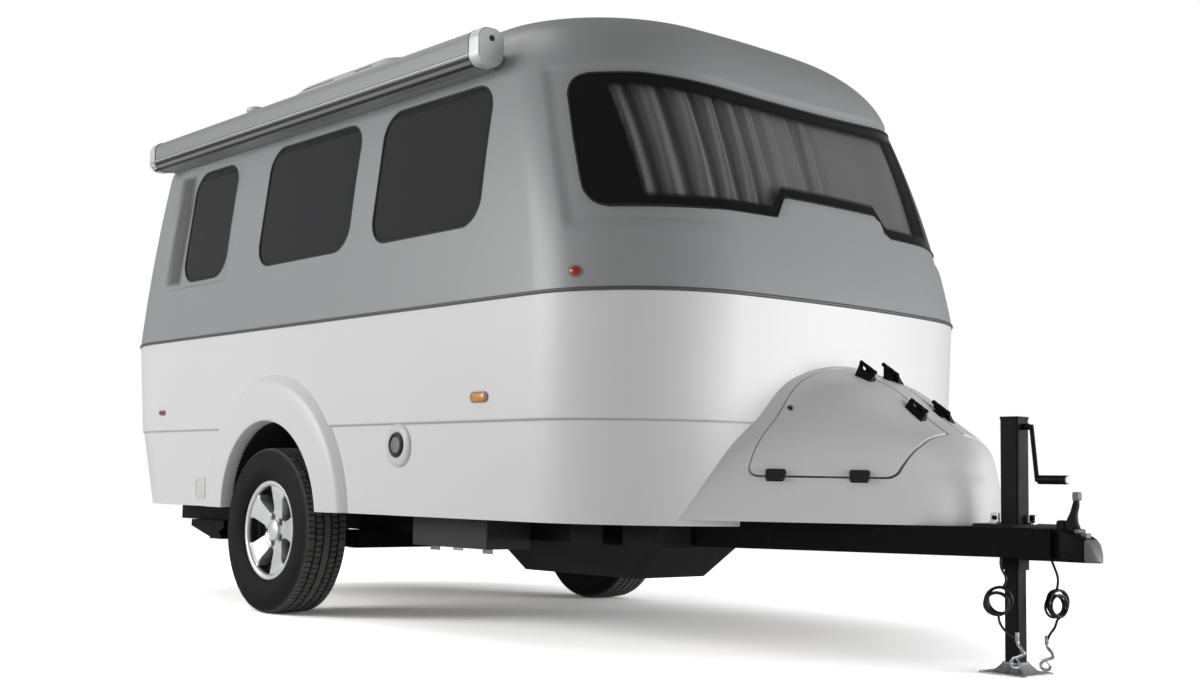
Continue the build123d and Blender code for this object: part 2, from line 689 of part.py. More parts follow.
for side, way in SIDES:
    with BuildPart() as chassis_rail:
        with BuildSketch(Plane.YZ.offset(RAIL_REAR_X)):
            with Locations((way * RAIL_Y, FRAME_TOP - RAIL_HEIGHT / 2)):
                Rectangle(RAIL_WIDTH, RAIL_HEIGHT)
        extrude(amount=DRAWBAR_REAR[0] - RAIL_REAR_X)
    finish(chassis_rail, f"chassis_rail_{side}")
    with BuildPart() as drawbar:
        add(drawbar_space(way))
        with BuildSketch(Plane.XY.offset(FRAME_TOP - RAIL_HEIGHT)):
            with Locations(((RAIL_REAR_X + DRAWBAR_REAR[0]) / 2, way * RAIL_Y)):
                Rectangle(DRAWBAR_REAR[0] - RAIL_REAR_X, RAIL_WIDTH)
        extrude(amount=RAIL_HEIGHT, mode=Mode.SUBTRACT)
    finish(drawbar, f"drawbar_{side}")

# Cross members: x, width, height
CROSS_MEMBERS = ((-2240, 60, 80), (-1300, 50, 70), (-200, 50, 70), (900, 50, 70))
CROSS_HALF = RAIL_Y - RAIL_WIDTH / 2
with BuildPart() as cross_members:
    for x, width, height in CROSS_MEMBERS:
        with BuildSketch(Plane.XZ.offset(CROSS_HALF)):
            with Locations((x, FRAME_TOP - height / 2)):
                Rectangle(width, height)
        extrude(amount=-2 * CROSS_HALF)
finish(cross_members, "cross_members")

# ---------------------------------------------------------------- coupler and jack
BALL_RADIUS = 25.6
BALL_X = 2480
BALL_TOP_Z = 398
BALL_MOUTH_Z = 352
COUPLER_REAR_X = 2300
COUPLER_REAR_HALF = 74
COUPLER_NECK_HALF = 50
COUPLER_NOSE_HALF = 42
COUPLER_HEIGHT = 98
# Side outline of the coupler's body and of its locking lever: x and z.
COUPLER_SIDE = (
    (COUPLER_REAR_X - 10, 460),
    (COUPLER_REAR_X - 10, 340),
    (COUPLER_TIP_X + 10, 340),
    (COUPLER_TIP_X + 10, 395),
    (BALL_X + 10, 425),
    (BALL_X - 60, 450),
    (BALL_X - 60, 460),
)
LEVER_SIDE = ((2424, 440), (2436, 520), (2441, 556), (2457, 556), (2462, 520), (2470, 430))
LEVER_HALF = 9
with BuildPart() as coupler:
    with BuildSketch(Plane.XY.offset(BALL_MOUTH_Z)):
        with BuildLine():
            nose = ThreePointArc((BALL_X, COUPLER_NOSE_HALF), (COUPLER_TIP_X, 0), (BALL_X, -COUPLER_NOSE_HALF))
            Polyline(
                nose @ 1,
                (COUPLER_REAR_X + 60, -COUPLER_NECK_HALF),
                (COUPLER_REAR_X, -COUPLER_REAR_HALF),
                (COUPLER_REAR_X, COUPLER_REAR_HALF),
                (COUPLER_REAR_X + 60, COUPLER_NECK_HALF),
                nose @ 0,
            )
        make_face()
    extrude(amount=COUPLER_HEIGHT)
    with BuildSketch(side_plane(2 * COUPLER_REAR_HALF)):
        with BuildLine():
            Polyline(*COUPLER_SIDE, close=True)
        make_face()
    extrude(amount=4 * COUPLER_REAR_HALF, mode=Mode.INTERSECT)
    with BuildSketch(Plane.XY.offset(BALL_MOUTH_Z)):
        with Locations((BALL_X, 0)):
            Circle(BALL_RADIUS)
    extrude(amount=BALL_TOP_Z - BALL_MOUTH_Z, mode=Mode.SUBTRACT)
    for side, way in SIDES:
        add(drawbar_space(way), mode=Mode.SUBTRACT)
    with BuildSketch(side_plane(LEVER_HALF)):
        with BuildLine():
            Polyline(*LEVER_SIDE, close=True)
        make_face()
    extrude(amount=2 * LEVER_HALF)
finish(coupler, "coupler")

JACK_X = 2229
JACK_TUBE = 64
JACK_TUBE_CORNER = 6
JACK_TOP = 794
JACK_TUBE_FOOT = 318
JACK_CAP = 8
JACK_CAP_MARGIN = 4
JACK_LEG = 50
JACK_LEG_WALL = 4
JACK_LEG_TOP = 460
JACK_LEG_FOOT = 30
JACK_PLATE = (150, 236, 10)
with BuildPart() as jack_tube:
    with BuildSketch(Plane.XY.offset(JACK_TUBE_FOOT)):
        with Locations((JACK_X, 0)):
            RectangleRounded(JACK_TUBE, JACK_TUBE, JACK_TUBE_CORNER)
            RectangleRounded(JACK_LEG, JACK_LEG, JACK_LEG_WALL, mode=Mode.SUBTRACT)
    extrude(amount=JACK_TOP - JACK_CAP - JACK_TUBE_FOOT)
    with BuildSketch(Plane.XY.offset(JACK_TOP - JACK_CAP)):
        with Locations((JACK_X, 0)):
            RectangleRounded(JACK_TUBE + JACK_CAP_MARGIN, JACK_TUBE + JACK_CAP_MARGIN, JACK_CAP)
    extrude(amount=JACK_CAP)
    with BuildSketch(Plane.XY.offset(FRAME_TOP)):
        with Locations((JACK_X, 0)):
            Rectangle(JACK_PLATE[0], JACK_PLATE[1])
            Rectangle(JACK_TUBE, JACK_TUBE, mode=Mode.SUBTRACT)
    extrude(amount=JACK_PLATE[2])
finish(jack_tube, "jack_tube")

FOOT_PLATE = 170
FOOT_CORNER = 18
FOOT_THICKNESS = 5
# The foot's cone: height, width and corner radius at its bottom and top.
FOOT_CONE = ((FOOT_THICKNESS, 118, 14), (34, JACK_LEG + 12, 10))
with BuildPart() as jack_leg:
    with BuildSketch(Plane.XY.offset(JACK_LEG_FOOT)):
        with Locations((JACK_X, 0)):
            RectangleRounded(JACK_LEG, JACK_LEG, JACK_LEG_WALL)
            inside = JACK_LEG - 2 * JACK_LEG_WALL
            RectangleRounded(inside, inside, JACK_LEG_WALL / 2, mode=Mode.SUBTRACT)
    extrude(amount=JACK_LEG_TOP - JACK_LEG_FOOT)
    with BuildSketch(Plane.XY):
        with Locations((JACK_X, 0)):
            RectangleRounded(FOOT_PLATE, FOOT_PLATE, FOOT_CORNER)
    extrude(amount=FOOT_THICKNESS)
    for height, width, corner in FOOT_CONE:
        with BuildSketch(Plane.XY.offset(height)):
            with Locations((JACK_X, 0)):
                RectangleRounded(width, width, corner)
    loft()
finish(jack_leg, "jack_leg")

CRANK_Z = 762
CRANK_FACE_X = JACK_X + JACK_TUBE / 2
CRANK_BOSS = (10, 22)
CRANK_ROD = 7
CRANK_BEND_X = JACK_X + 62
GRIP_X = 2309
GRIP_Z = 598
GRIP = (14, 97)
with BuildPart() as jack_crank:
    with BuildSketch(Plane.YZ.offset(CRANK_FACE_X)):
        with Locations((0, CRANK_Z)):
            Circle(CRANK_BOSS[0])
    extrude(amount=CRANK_BOSS[1])
    start = Vector(CRANK_FACE_X + CRANK_BOSS[1], 0, CRANK_Z)
    with BuildLine():
        Polyline(start, (CRANK_BEND_X, 0, CRANK_Z), (GRIP_X, 0, GRIP_Z), (GRIP_X + 11, 0, GRIP_Z))
    with BuildSketch(Plane.YZ.offset(start.X)):
        with Locations((0, CRANK_Z)):
            Circle(CRANK_ROD)
    sweep(transition=Transition.RIGHT)
    with BuildSketch(Plane.YZ.offset(GRIP_X + CRANK_ROD)):
        with Locations((0, GRIP_Z)):
            Circle(GRIP[0])
    extrude(amount=GRIP[1])
finish(jack_crank, "jack_crank")

# ---------------------------------------------------------------- front shroud
# Shroud sections: height, half width where it meets the body plane, nose arc centre x, nose arc radius
SHROUD_BACK_X = 1400
SHROUD_WALL = 10
SHROUD_ROWS = (
    (FRAME_TOP, 728, 1770, 345),
    (600, 671, 1757, 343),
    (710, 600, 1718, 335),
    (790, 515, 1615, 325),
    (910, 423, 1465, 300),
    (985, 330, 1280, 280),
)
RIDGE_HALF = 40
# A leaf stands off the ridge and the front edge by this many gaps, because these edges sweep as it turns.
SWEPT_GAPS = 2
LID_LEFT_X = 1585
LID_BOTTOM = 592
LID_TOP = 1100
LID_CORNER = 32
# Front edge of a lid: x and z of its bottom, bend and top.
LID_FRONT = ((1975, LID_BOTTOM), (2012, 700), (2040, LID_TOP))
LID_FAR_Y = 900
HINGE_POINT = (1800, 60, 905)
HINGE_SLOPE = 33
# Places of the lid hinges along their line from that point.
HINGE_PLACES = (-120, 130)
HINGE_BARREL = 7
HINGE_FIXED = 34
HINGE_LID = 16
# Outlines of the two halves across the hinge line: outboard and up.
HINGE_ARM = ((-38, -60), (-24, -60), (-24, -5), (0, -HINGE_BARREL), (0, HINGE_BARREL), (-38, 5))
HINGE_FOOT = ((-4, 0), (-4, -60), (14, -60), (6, 0))
LATCH_X = (1666, 1883)
LATCH_WIDTH = 70
LATCH_TOP = 616
KEEPER_BOTTOM = 566
LATCH_PROUD = 9


def shroud_outline(row, inset=0.0):
    """One shroud section: two straight cheeks that run into a round nose."""
    height, half_width, centre_x, radius = row
    half_width = half_width - 1.3 * inset
    radius = radius - inset
    back = Vector(SHROUD_BACK_X - inset, half_width)
    to_centre = Vector(centre_x, 0) - back
    aim = math.atan2(to_centre.Y, to_centre.X) + math.asin(radius / to_centre.length)
    touch = Vector(centre_x, 0) + Vector(math.cos(aim + math.pi / 2), math.sin(aim + math.pi / 2)) * radius
    with BuildSketch(Plane.XY.offset(height - (0 if row is SHROUD_ROWS[0] else 0.7 * inset))) as outline:
        with BuildLine():
            Line(back, touch)
            ThreePointArc(touch, (centre_x + radius, 0), mirrored(touch))
            Line(mirrored(touch), mirrored(back))
            Line(mirrored(back), back)
        make_face()
    return outline.sketch


def lid_space(way, shrink=0.0):
    """The space of one side's lid: a side outline taken outward from beside the ridge."""
    swept = SWEPT_GAPS * shrink
    near = RIDGE_HALF + swept
    with BuildPart() as space:
        with BuildSketch(side_plane(near * way if way < 0 else LID_FAR_Y)):
            with BuildLine():
                foot, bend, head = LID_FRONT
                FilletPolyline(
                    (LID_LEFT_X + shrink, LID_TOP),
                    (LID_LEFT_X + shrink, LID_BOTTOM + shrink),
                    (foot[0] - swept, foot[1] + shrink),
                    (bend[0] - swept, bend[1]),
                    (head[0] - swept, LID_TOP),
                    radius=LID_CORNER,
                )
                Line((head[0] - swept, LID_TOP), (LID_LEFT_X + shrink, LID_TOP))
            make_face()
        extrude(amount=LID_FAR_Y - near)
    return space.part


def hinge_plane(along, way):
    """A plane square to a lid's hinge line, its x outboard and its y up, at a place along the line."""
    slope = math.radians(HINGE_SLOPE)
    line = Vector(math.cos(slope), 0, -math.sin(slope))
    origin = Vector(HINGE_POINT[0], way * HINGE_POINT[1], HINGE_POINT[2]) + line * along
    return Plane(origin=origin, x_dir=(0, way, 0), z_dir=line if way > 0 else line * -1)


shroud_outer = loft([shroud_outline(row) for row in SHROUD_ROWS])
shroud_inner = loft([shroud_outline(row, SHROUD_WALL) for row in SHROUD_ROWS])
shroud_proud = loft([shroud_outline(row, -LATCH_PROUD) for row in SHROUD_ROWS])
lid_holes = [lid_space(way) for side, way in SIDES]
with BuildPart() as front_shroud:
    add(shroud_outer)
    add(shroud_inner, mode=Mode.SUBTRACT)
    add(LOWER_OUTER, mode=Mode.SUBTRACT)
    split(bisect_by=Plane.YZ.offset(SHROUD_BACK_X), keep=Keep.TOP)
    for hole in lid_holes:
        add(hole, mode=Mode.SUBTRACT)
finish(front_shroud, "front_shroud")


def hinge_half(way, outline, start, length):
    """One half of a lid hinge: an outline and the barrel, taken along the hinge line and seated on the shroud."""
    along = start if way > 0 else start + length
    with BuildPart() as half:
        with BuildSketch(hinge_plane(along, way)):
            Circle(HINGE_BARREL)
            with BuildLine():
                Polyline(*outline, close=True)
            make_face()
        extrude(amount=length)
        add(shroud_outer, mode=Mode.SUBTRACT)
    return half.part


def latch_block(way, top, bottom):
    """The two latch blocks of one side, standing out from the cheek between two heights."""
    with BuildPart() as blocks:
        with BuildSketch(side_plane(0 if way < 0 else LID_FAR_Y)):
            for x in LATCH_X:
                with Locations((x, (top + bottom) / 2)):
                    Rectangle(LATCH_WIDTH, top - bottom)
        extrude(amount=LID_FAR_Y)
        add(shroud_proud, mode=Mode.INTERSECT)
        add(shroud_outer, mode=Mode.SUBTRACT)
    return blocks.part


with BuildPart() as lid_hardware:
    for side, way in SIDES:
        for place in HINGE_PLACES:
            add(hinge_half(way, HINGE_ARM, place - HINGE_FIXED / 2, HINGE_FIXED))
        add(latch_block(way, LID_BOTTOM - 2, KEEPER_BOTTOM))
finish(lid_hardware, "lid_hardware")

for side, way in SIDES:
    leaf_space = lid_space(way, MOVING_GAP)
    with BuildPart() as shroud_lid:
        add(shroud_outer)
        add(shroud_inner, mode=Mode.SUBTRACT)
        add(leaf_space, mode=Mode.INTERSECT)
        for place in HINGE_PLACES:
            for start in (place - HINGE_FIXED / 2 - MOVING_GAP - HINGE_LID, place + HINGE_FIXED / 2 + MOVING_GAP):
                add(hinge_half(way, HINGE_FOOT, start, HINGE_LID))
        add(latch_block(way, LATCH_TOP, LID_BOTTOM + MOVING_GAP))
    finish(shroud_lid, f"shroud_lid_{side}")

TRAY = 5
TRAY_OUTLINE = ((1560, -430), (1960, -250), (1960, 250), (1560, 430))
with BuildPart() as gas_tray:
    with BuildSketch(Plane.XY.offset(FRAME_TOP)):
        with BuildLine():
            Polyline(*TRAY_OUTLINE, close=True)
        make_face()
    extrude(amount=TRAY)
finish(gas_tray, "gas_tray")

BOTTLE = (1720, 135)
BOTTLE_FOOT = FRAME_TOP + TRAY
# Half section of a bottle: its foot and side, its shoulder arc and its collar, as radius and height.
BOTTLE_SIDE = ((0, BOTTLE_FOOT), (95, BOTTLE_FOOT), (95, 470), (122, 495), (122, 690))
BOTTLE_SHOULDER = ((122, 690), (100, 735), (60, 752))
BOTTLE_COLLAR = ((60, 752), (75, 756), (75, 820), (0, 820), (0, BOTTLE_FOOT))
with BuildPart() as gas_bottles:
    for side, way in SIDES:
        with BuildSketch(Plane(origin=(BOTTLE[0], way * BOTTLE[1], 0), x_dir=(1, 0, 0), z_dir=(0, -1, 0))):
            with BuildLine():
                Polyline(*BOTTLE_SIDE)
                ThreePointArc(*BOTTLE_SHOULDER)
                Polyline(*BOTTLE_COLLAR)
            make_face()
        revolve(axis=Axis((BOTTLE[0], way * BOTTLE[1], 0), (0, 0, 1)))
finish(gas_bottles, "gas_bottles")

# ---------------------------------------------------------------- roof and side fittings
# Awning case: rear and front x, and the y and z of its middle.
AWNING = (-1960, 700, -948, 2108)
AWNING_WIDTH = 112
AWNING_HEIGHT = 136
AWNING_CORNER = 44
AWNING_CAP = 14
AWNING_CAP_MARGIN = 8
RAIL_SETBACK = 30
# Section of the mounting rail, which fills the space between case and roof: y and z.
RAIL_SECTION = ((-930, 2038), (-780, 2050), (-780, 2110), (-905, 2110), (-905, 2072), (-930, 2066))
with BuildPart() as awning_case:
    with BuildSketch(Plane.YZ.offset(AWNING[0])):
        with Locations((AWNING[2], AWNING[3])):
            RectangleRounded(AWNING_WIDTH, AWNING_HEIGHT, AWNING_CORNER)
    extrude(amount=AWNING[1] - AWNING[0])
    for x in (AWNING[0] - AWNING_CAP, AWNING[1]):
        with BuildSketch(Plane.YZ.offset(x)):
            with Locations((AWNING[2], AWNING[3])):
                margin = AWNING_CAP_MARGIN
                RectangleRounded(AWNING_WIDTH + margin, AWNING_HEIGHT + margin, AWNING_CORNER + margin / 4)
        extrude(amount=AWNING_CAP)
finish(awning_case, "awning_case")

with BuildPart() as awning_rail:
    with BuildSketch(Plane.YZ.offset(AWNING[0] + RAIL_SETBACK)):
        with BuildLine():
            Polyline(*RAIL_SECTION, close=True)
        make_face()
    extrude(amount=AWNING[1] - AWNING[0] - 2 * RAIL_SETBACK)
    add(UPPER_OUTER, mode=Mode.SUBTRACT)
    add(awning_case.part, mode=Mode.SUBTRACT)
finish(awning_rail, "awning_rail")

COOLER_X = -1415
# Roof cooler's seat and its shroud from the brim up: height, length, width, corner radius and shift in x.
COOLER_SEAT = (2300, 970, 640, 60, 0)
COOLER_SHROUD = (
    (2375, 1030, 700, 90, 0),
    (2480, 1000, 650, 90, 0),
    (COOLER_TOP, 840, 460, 100, 10),
)
COOLER_BRIM = 15
# Louvres in the cooler's cheeks and back: middle x, length and the heights of the slots.
LOUVRES = ((-1560, 300), (-1230, 260))
LOUVRE_Z = (2412, 2436, 2460)
LOUVRE = 9
LOUVRE_DEPTH = 14
with BuildPart() as air_conditioner:
    height, length, width, corner, shift = COOLER_SEAT
    with BuildSketch(Plane.XY.offset(height)):
        with Locations((COOLER_X + shift, 0)):
            RectangleRounded(length, width, corner)
    extrude(amount=COOLER_SHROUD[0][0] - height + COOLER_BRIM)
    for height, length, width, corner, shift in COOLER_SHROUD:
        with BuildSketch(Plane.XY.offset(height)):
            with Locations((COOLER_X + shift, 0)):
                RectangleRounded(length, width, corner)
    loft(ruled=True)
    cheek = COOLER_SHROUD[1][2] / 2
    with Locations(*[(x, way * (cheek + COOLER_BRIM), z) for x, _ in LOUVRES for z in LOUVRE_Z for side, way in SIDES]):
        Box(LOUVRES[0][1], 2 * (LOUVRE_DEPTH + COOLER_BRIM), LOUVRE, mode=Mode.SUBTRACT)
    add(UPPER_OUTER, mode=Mode.SUBTRACT)
finish(air_conditioner, "air_conditioner")

# Roof vent: middle x and y, pipe radius and foot, cap radius, foot, height and taper.
VENT = (-1750, -560)
VENT_PIPE = (28, 2250, 130)
VENT_CAP = (48, 2375, 26, 20)
with BuildPart() as roof_vent:
    radius, foot, height = VENT_PIPE
    with BuildSketch(Plane.XY.offset(foot)):
        with Locations(VENT):
            Circle(radius)
    extrude(amount=height)
    radius, foot, height, taper = VENT_CAP
    with BuildSketch(Plane.XY.offset(foot)):
        with Locations(VENT):
            Circle(radius)
    extrude(amount=height, taper=taper)
    add(UPPER_OUTER, mode=Mode.SUBTRACT)
finish(roof_vent, "roof_vent")

LAMP_PROUD = 12
# Tail lamps: y, z, height and width. Side markers: x, z, length and height.
TAIL_LAMP = (700, 960, 250, 90)
SIDE_MARKERS = ((735, 853, 100, 38), (-1753, 856, 60, 24))
lamp_outer = hull_solid(LOWER_HULL, -LAMP_PROUD)
with BuildPart() as tail_lamps:
    with BuildSketch(TAIL_PLANE):
        with Locations(*[(way * TAIL_LAMP[0], TAIL_LAMP[1]) for side, way in SIDES]):
            SlotOverall(TAIL_LAMP[2], TAIL_LAMP[3], rotation=90)
    extrude(amount=TAIL_REACH)
    add(lamp_outer, mode=Mode.INTERSECT)
    add(LOWER_OUTER, mode=Mode.SUBTRACT)
finish(tail_lamps, "tail_lamps")

with BuildPart() as side_markers:
    with BuildSketch(side_plane(BEYOND)):
        for x, z, length, height in SIDE_MARKERS:
            with Locations((x, z)):
                SlotOverall(length, height)
    extrude(amount=2 * BEYOND)
    add(lamp_outer, mode=Mode.INTERSECT)
    add(LOWER_OUTER, mode=Mode.SUBTRACT)
finish(side_markers, "side_markers")

INLET = (225, 691)
INLET_RADIUS = 46
INLET_BORE = 32
INLET_FACE_Y = -1000
INLET_POCKET = 12
with BuildPart() as power_inlet:
    with BuildSketch(side_plane(INLET_FACE_Y + INLET_RADIUS)):
        with Locations(INLET):
            Circle(INLET_RADIUS)
    extrude(amount=INLET_RADIUS)
    with BuildSketch(side_plane(INLET_FACE_Y + INLET_POCKET)):
        with Locations(INLET):
            Circle(INLET_BORE)
    extrude(amount=INLET_POCKET, mode=Mode.SUBTRACT)
    add(LOWER_OUTER, mode=Mode.SUBTRACT)
finish(power_inlet, "power_inlet")

# ---------------------------------------------------------------- under the floor
TANK_X = 350
TANK_CORNER = 50
# Water tank, hung between two cross members, from the bottom up: height, length and width.
TANK_ROWS = ((205, 700, 400), (380, 1120, 500))
with BuildPart() as water_tank:
    for height, length, width in TANK_ROWS:
        with BuildSketch(Plane.XY.offset(height)):
            with Locations((TANK_X, 0)):
                RectangleRounded(length, width, TANK_CORNER)
    loft()
finish(water_tank, "water_tank")

# Utility box: middle x and y, length, width, corner, bottom and height.
UTILITY_BOX = (338, -708, 475, 206, 8, 318, 110)
with BuildPart() as utility_box:
    x, y, length, width, corner, foot, height = UTILITY_BOX
    with BuildSketch(Plane.XY.offset(foot)):
        with Locations((x, y)):
            RectangleRounded(length, width, corner)
    extrude(amount=height)
finish(utility_box, "utility_box")

# Outriggers: middle x and the y of the rail or drawbar side that carries each.
OUTRIGGERS = ((1020, 605), (1290, 575))
OUTRIGGER_SIZE = (170, 74)
OUTRIGGER_END_Y = 725
with BuildPart() as outriggers:
    length, height = OUTRIGGER_SIZE
    for side, way in SIDES:
        with BuildSketch(Plane.XY.offset(SILL_Z - height)):
            for x, root in OUTRIGGERS:
                with Locations((x, way * (root + OUTRIGGER_END_Y) / 2)):
                    Rectangle(length, OUTRIGGER_END_Y - root)
        extrude(amount=height)
    for side, way in SIDES:
        add(drawbar_space(way), mode=Mode.SUBTRACT)
finish(outriggers, "outriggers")

STABILISER_X = -1930
STABILISER_Y = 610
STABILISER_WIDTH = 60
# Side outline of a folded stabiliser: x from its middle, and z.
STABILISER_SIDE = (
    (-170, 350), (170, 350), (170, 318), (120, 296), (150, 270), (150, 262), (30, 262), (30, 270), (-170, 318),
)
with BuildPart() as stabilisers:
    for side, way in SIDES:
        with BuildSketch(Plane(origin=(STABILISER_X, way * STABILISER_Y, 0), x_dir=(1, 0, 0), z_dir=(0, -1, 0))):
            with BuildLine():
                Polyline(*STABILISER_SIDE, close=True)
            make_face()
        extrude(amount=STABILISER_WIDTH / 2, both=True)
finish(stabilisers, "stabilisers")

STEP_X = 305
STEP_TREAD = (500, 260, 20)
STEP_TREAD_Y = 790
STEP_TREAD_Z = (372, 398)
STEP_RAIL = (24, 270, 14)
STEP_RAIL_X = 200
STEP_RAIL_Y = 785
with BuildPart() as entry_step:
    with BuildSketch(Plane.XY.offset(STEP_TREAD_Z[0])):
        with Locations((STEP_X, STEP_TREAD_Y)):
            RectangleRounded(*STEP_TREAD)
    extrude(amount=STEP_TREAD_Z[1] - STEP_TREAD_Z[0])
    width, length, height = STEP_RAIL
    with BuildSketch(Plane.XY.offset(STEP_TREAD_Z[1])):
        with Locations(*[(STEP_X + way * STEP_RAIL_X, STEP_RAIL_Y) for side, way in SIDES]):
            Rectangle(width, length)
    extrude(amount=height)
finish(entry_step, "entry_step")

# Guides of the step: an upside-down channel over each rail, hung from a bracket on the chassis rail.
GUIDE_WALL = 4
GUIDE_HALF = STEP_RAIL[0] / 2 + MOVING_GAP + GUIDE_WALL
GUIDE_LIP_Z = 404
GUIDE_Y = (640, 930)
BRACKET_Y = RAIL_Y + RAIL_WIDTH / 2
with BuildPart() as step_carrier:
    for side, way in SIDES:
        x = STEP_X + way * STEP_RAIL_X
        for low, high, back, front, half, mode in (
            (RAIL_Z_BOTTOM, SILL_Z, BRACKET_Y, GUIDE_Y[0], GUIDE_HALF, Mode.ADD),
            (GUIDE_LIP_Z, SILL_Z, GUIDE_Y[0], GUIDE_Y[1], GUIDE_HALF, Mode.ADD),
            (
                GUIDE_LIP_Z,
                STEP_TREAD_Z[1] + STEP_RAIL[2] + MOVING_GAP,
                GUIDE_Y[0],
                GUIDE_Y[1],
                GUIDE_HALF - GUIDE_WALL,
                Mode.SUBTRACT,
            ),
        ):
            with BuildSketch(Plane.XY.offset(low)):
                with Locations((x, (back + front) / 2)):
                    Rectangle(2 * half, front - back)
            extrude(amount=high - low, mode=mode)
finish(step_carrier, "step_carrier")

# ---------------------------------------------------------------- safety cables
CABLE_DIAMETER = 8
COIL_RADIUS = 45
COIL_BORE = 31
COIL_WIDTH = 36
HOOK_WIRE = 4.5
HOOK_BEND = 8
# Bends of a hook's wire from the cable's end: x forward and z.
HOOK_ROUTE = ((0, -26), (26, -40), (-20, -62), (-24, -84), (10, -84))
# Routes of each cable's two free stretches, above and below its coil, on its own side of the jack.
CABLE_ROUTES = {
    "right": (
        ((2251, -110, 360), (2246, -111, 330), (2274, -112, 300), (2262, -111, 268)),
        ((2240, -110, 178), (2248, -110, 152), (2278, -110, 128), (2306, -110, 118)),
    ),
    "left": (
        ((2276, 120, 360), (2290, 121, 328), (2306, 121, 292), (2300, 120, 255)),
        ((2299, 120, 165), (2292, 121, 138), (2270, 121, 116), (2262, 120, 92)),
    ),
}
CABLE_COILS = {"right": ((2240, -110, 223), 30), "left": ((2300, 120, 210), 75)}


def run_radii(points):
    """The arc radius at each inner corner: 0.45 of the shorter run over the tangent of half the turn."""
    radii = []
    for before, corner, after in zip(points, points[1:], points[2:]):
        first = Vector(*corner) - Vector(*before)
        second = Vector(*after) - Vector(*corner)
        turn = math.radians(first.get_angle(second))
        radii.append(0.45 * min(first.length, second.length) / math.tan(turn / 2))
    return radii


for side, way in SIDES:
    with BuildPart() as safety_cable:
        for points in CABLE_ROUTES[side]:
            radii = run_radii(points)
            print(side, "cable radii", [round(radius) for radius in radii])
            with BuildLine() as route:
                FilletPolyline(*points, radius=radii)
            with BuildSketch(Plane(origin=route.line @ 0, z_dir=route.line % 0)) as section:
                Circle(CABLE_DIAMETER / 2)
            sweep(sections=section.sketch, path=route.line)
    finish(safety_cable, f"safety_cable_{side}")
    centre, heading = CABLE_COILS[side]
    facing = Vector(math.sin(math.radians(heading)), -math.cos(math.radians(heading)), 0)
    with BuildPart() as cable_coil:
        with BuildSketch(Plane(origin=Vector(*centre) - facing * (COIL_WIDTH / 2), x_dir=(0, 0, 1), z_dir=facing)):
            Circle(COIL_RADIUS)
            Circle(COIL_BORE, mode=Mode.SUBTRACT)
        extrude(amount=COIL_WIDTH)
    finish(cable_coil, f"cable_coil_{side}")
    end = Vector(*CABLE_ROUTES[side][1][-1])
    with BuildPart() as cable_hook:
        with BuildLine() as wire:
            FilletPolyline(end, *[end + Vector(x, 0, z) for x, z in HOOK_ROUTE], radius=HOOK_BEND)
        with BuildSketch(Plane(origin=wire.line @ 0, z_dir=wire.line % 0)) as section:
            Circle(HOOK_WIRE)
        sweep(sections=section.sketch, path=wire.line)
    finish(cable_hook, f"cable_hook_{side}")
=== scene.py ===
"""Dresses the travel caravan: moulded shells, glass, wheels, shroud, tongue, roof fittings and the studio round it.

Everything is in metres in the caravan's own frame: +X to the coupler, +Y to the left side, +Z up, the floor at z = 0.
"""

import json
import logging
from dataclasses import dataclass
from enum import Enum
from typing import ClassVar, Iterable, Sequence, Union

import bmesh
import bpy
import numpy as np
from mathutils import Matrix


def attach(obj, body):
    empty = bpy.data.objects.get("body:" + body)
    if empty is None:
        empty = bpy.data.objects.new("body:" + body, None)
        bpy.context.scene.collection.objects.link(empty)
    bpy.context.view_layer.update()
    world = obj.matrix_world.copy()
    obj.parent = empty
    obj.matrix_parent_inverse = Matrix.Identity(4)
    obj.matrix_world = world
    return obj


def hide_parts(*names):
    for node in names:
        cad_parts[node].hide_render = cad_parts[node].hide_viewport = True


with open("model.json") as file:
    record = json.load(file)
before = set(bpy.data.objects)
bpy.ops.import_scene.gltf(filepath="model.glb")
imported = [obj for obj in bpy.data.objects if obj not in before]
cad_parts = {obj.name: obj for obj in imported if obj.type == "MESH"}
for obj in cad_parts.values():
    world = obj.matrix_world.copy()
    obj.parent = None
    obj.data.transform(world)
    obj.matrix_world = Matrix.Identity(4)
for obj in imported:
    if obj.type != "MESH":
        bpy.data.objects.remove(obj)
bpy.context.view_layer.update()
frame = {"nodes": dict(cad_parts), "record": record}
LOG = logging.getLogger("caravan")
DOUBLES = 1e-6
NODES: dict[str, bpy.types.Object] = frame["nodes"]
Triple = tuple[float, float, float]
Number = Union[float, "Value"]


class Side(Enum):
    """A side of the caravan and the sign of its y."""

    LEFT = 1
    RIGHT = -1

    @property
    def word(self) -> str:
        """The side as it is written in node names."""
        return self.name.lower()


# ------------------------------------------------------------------ shader building


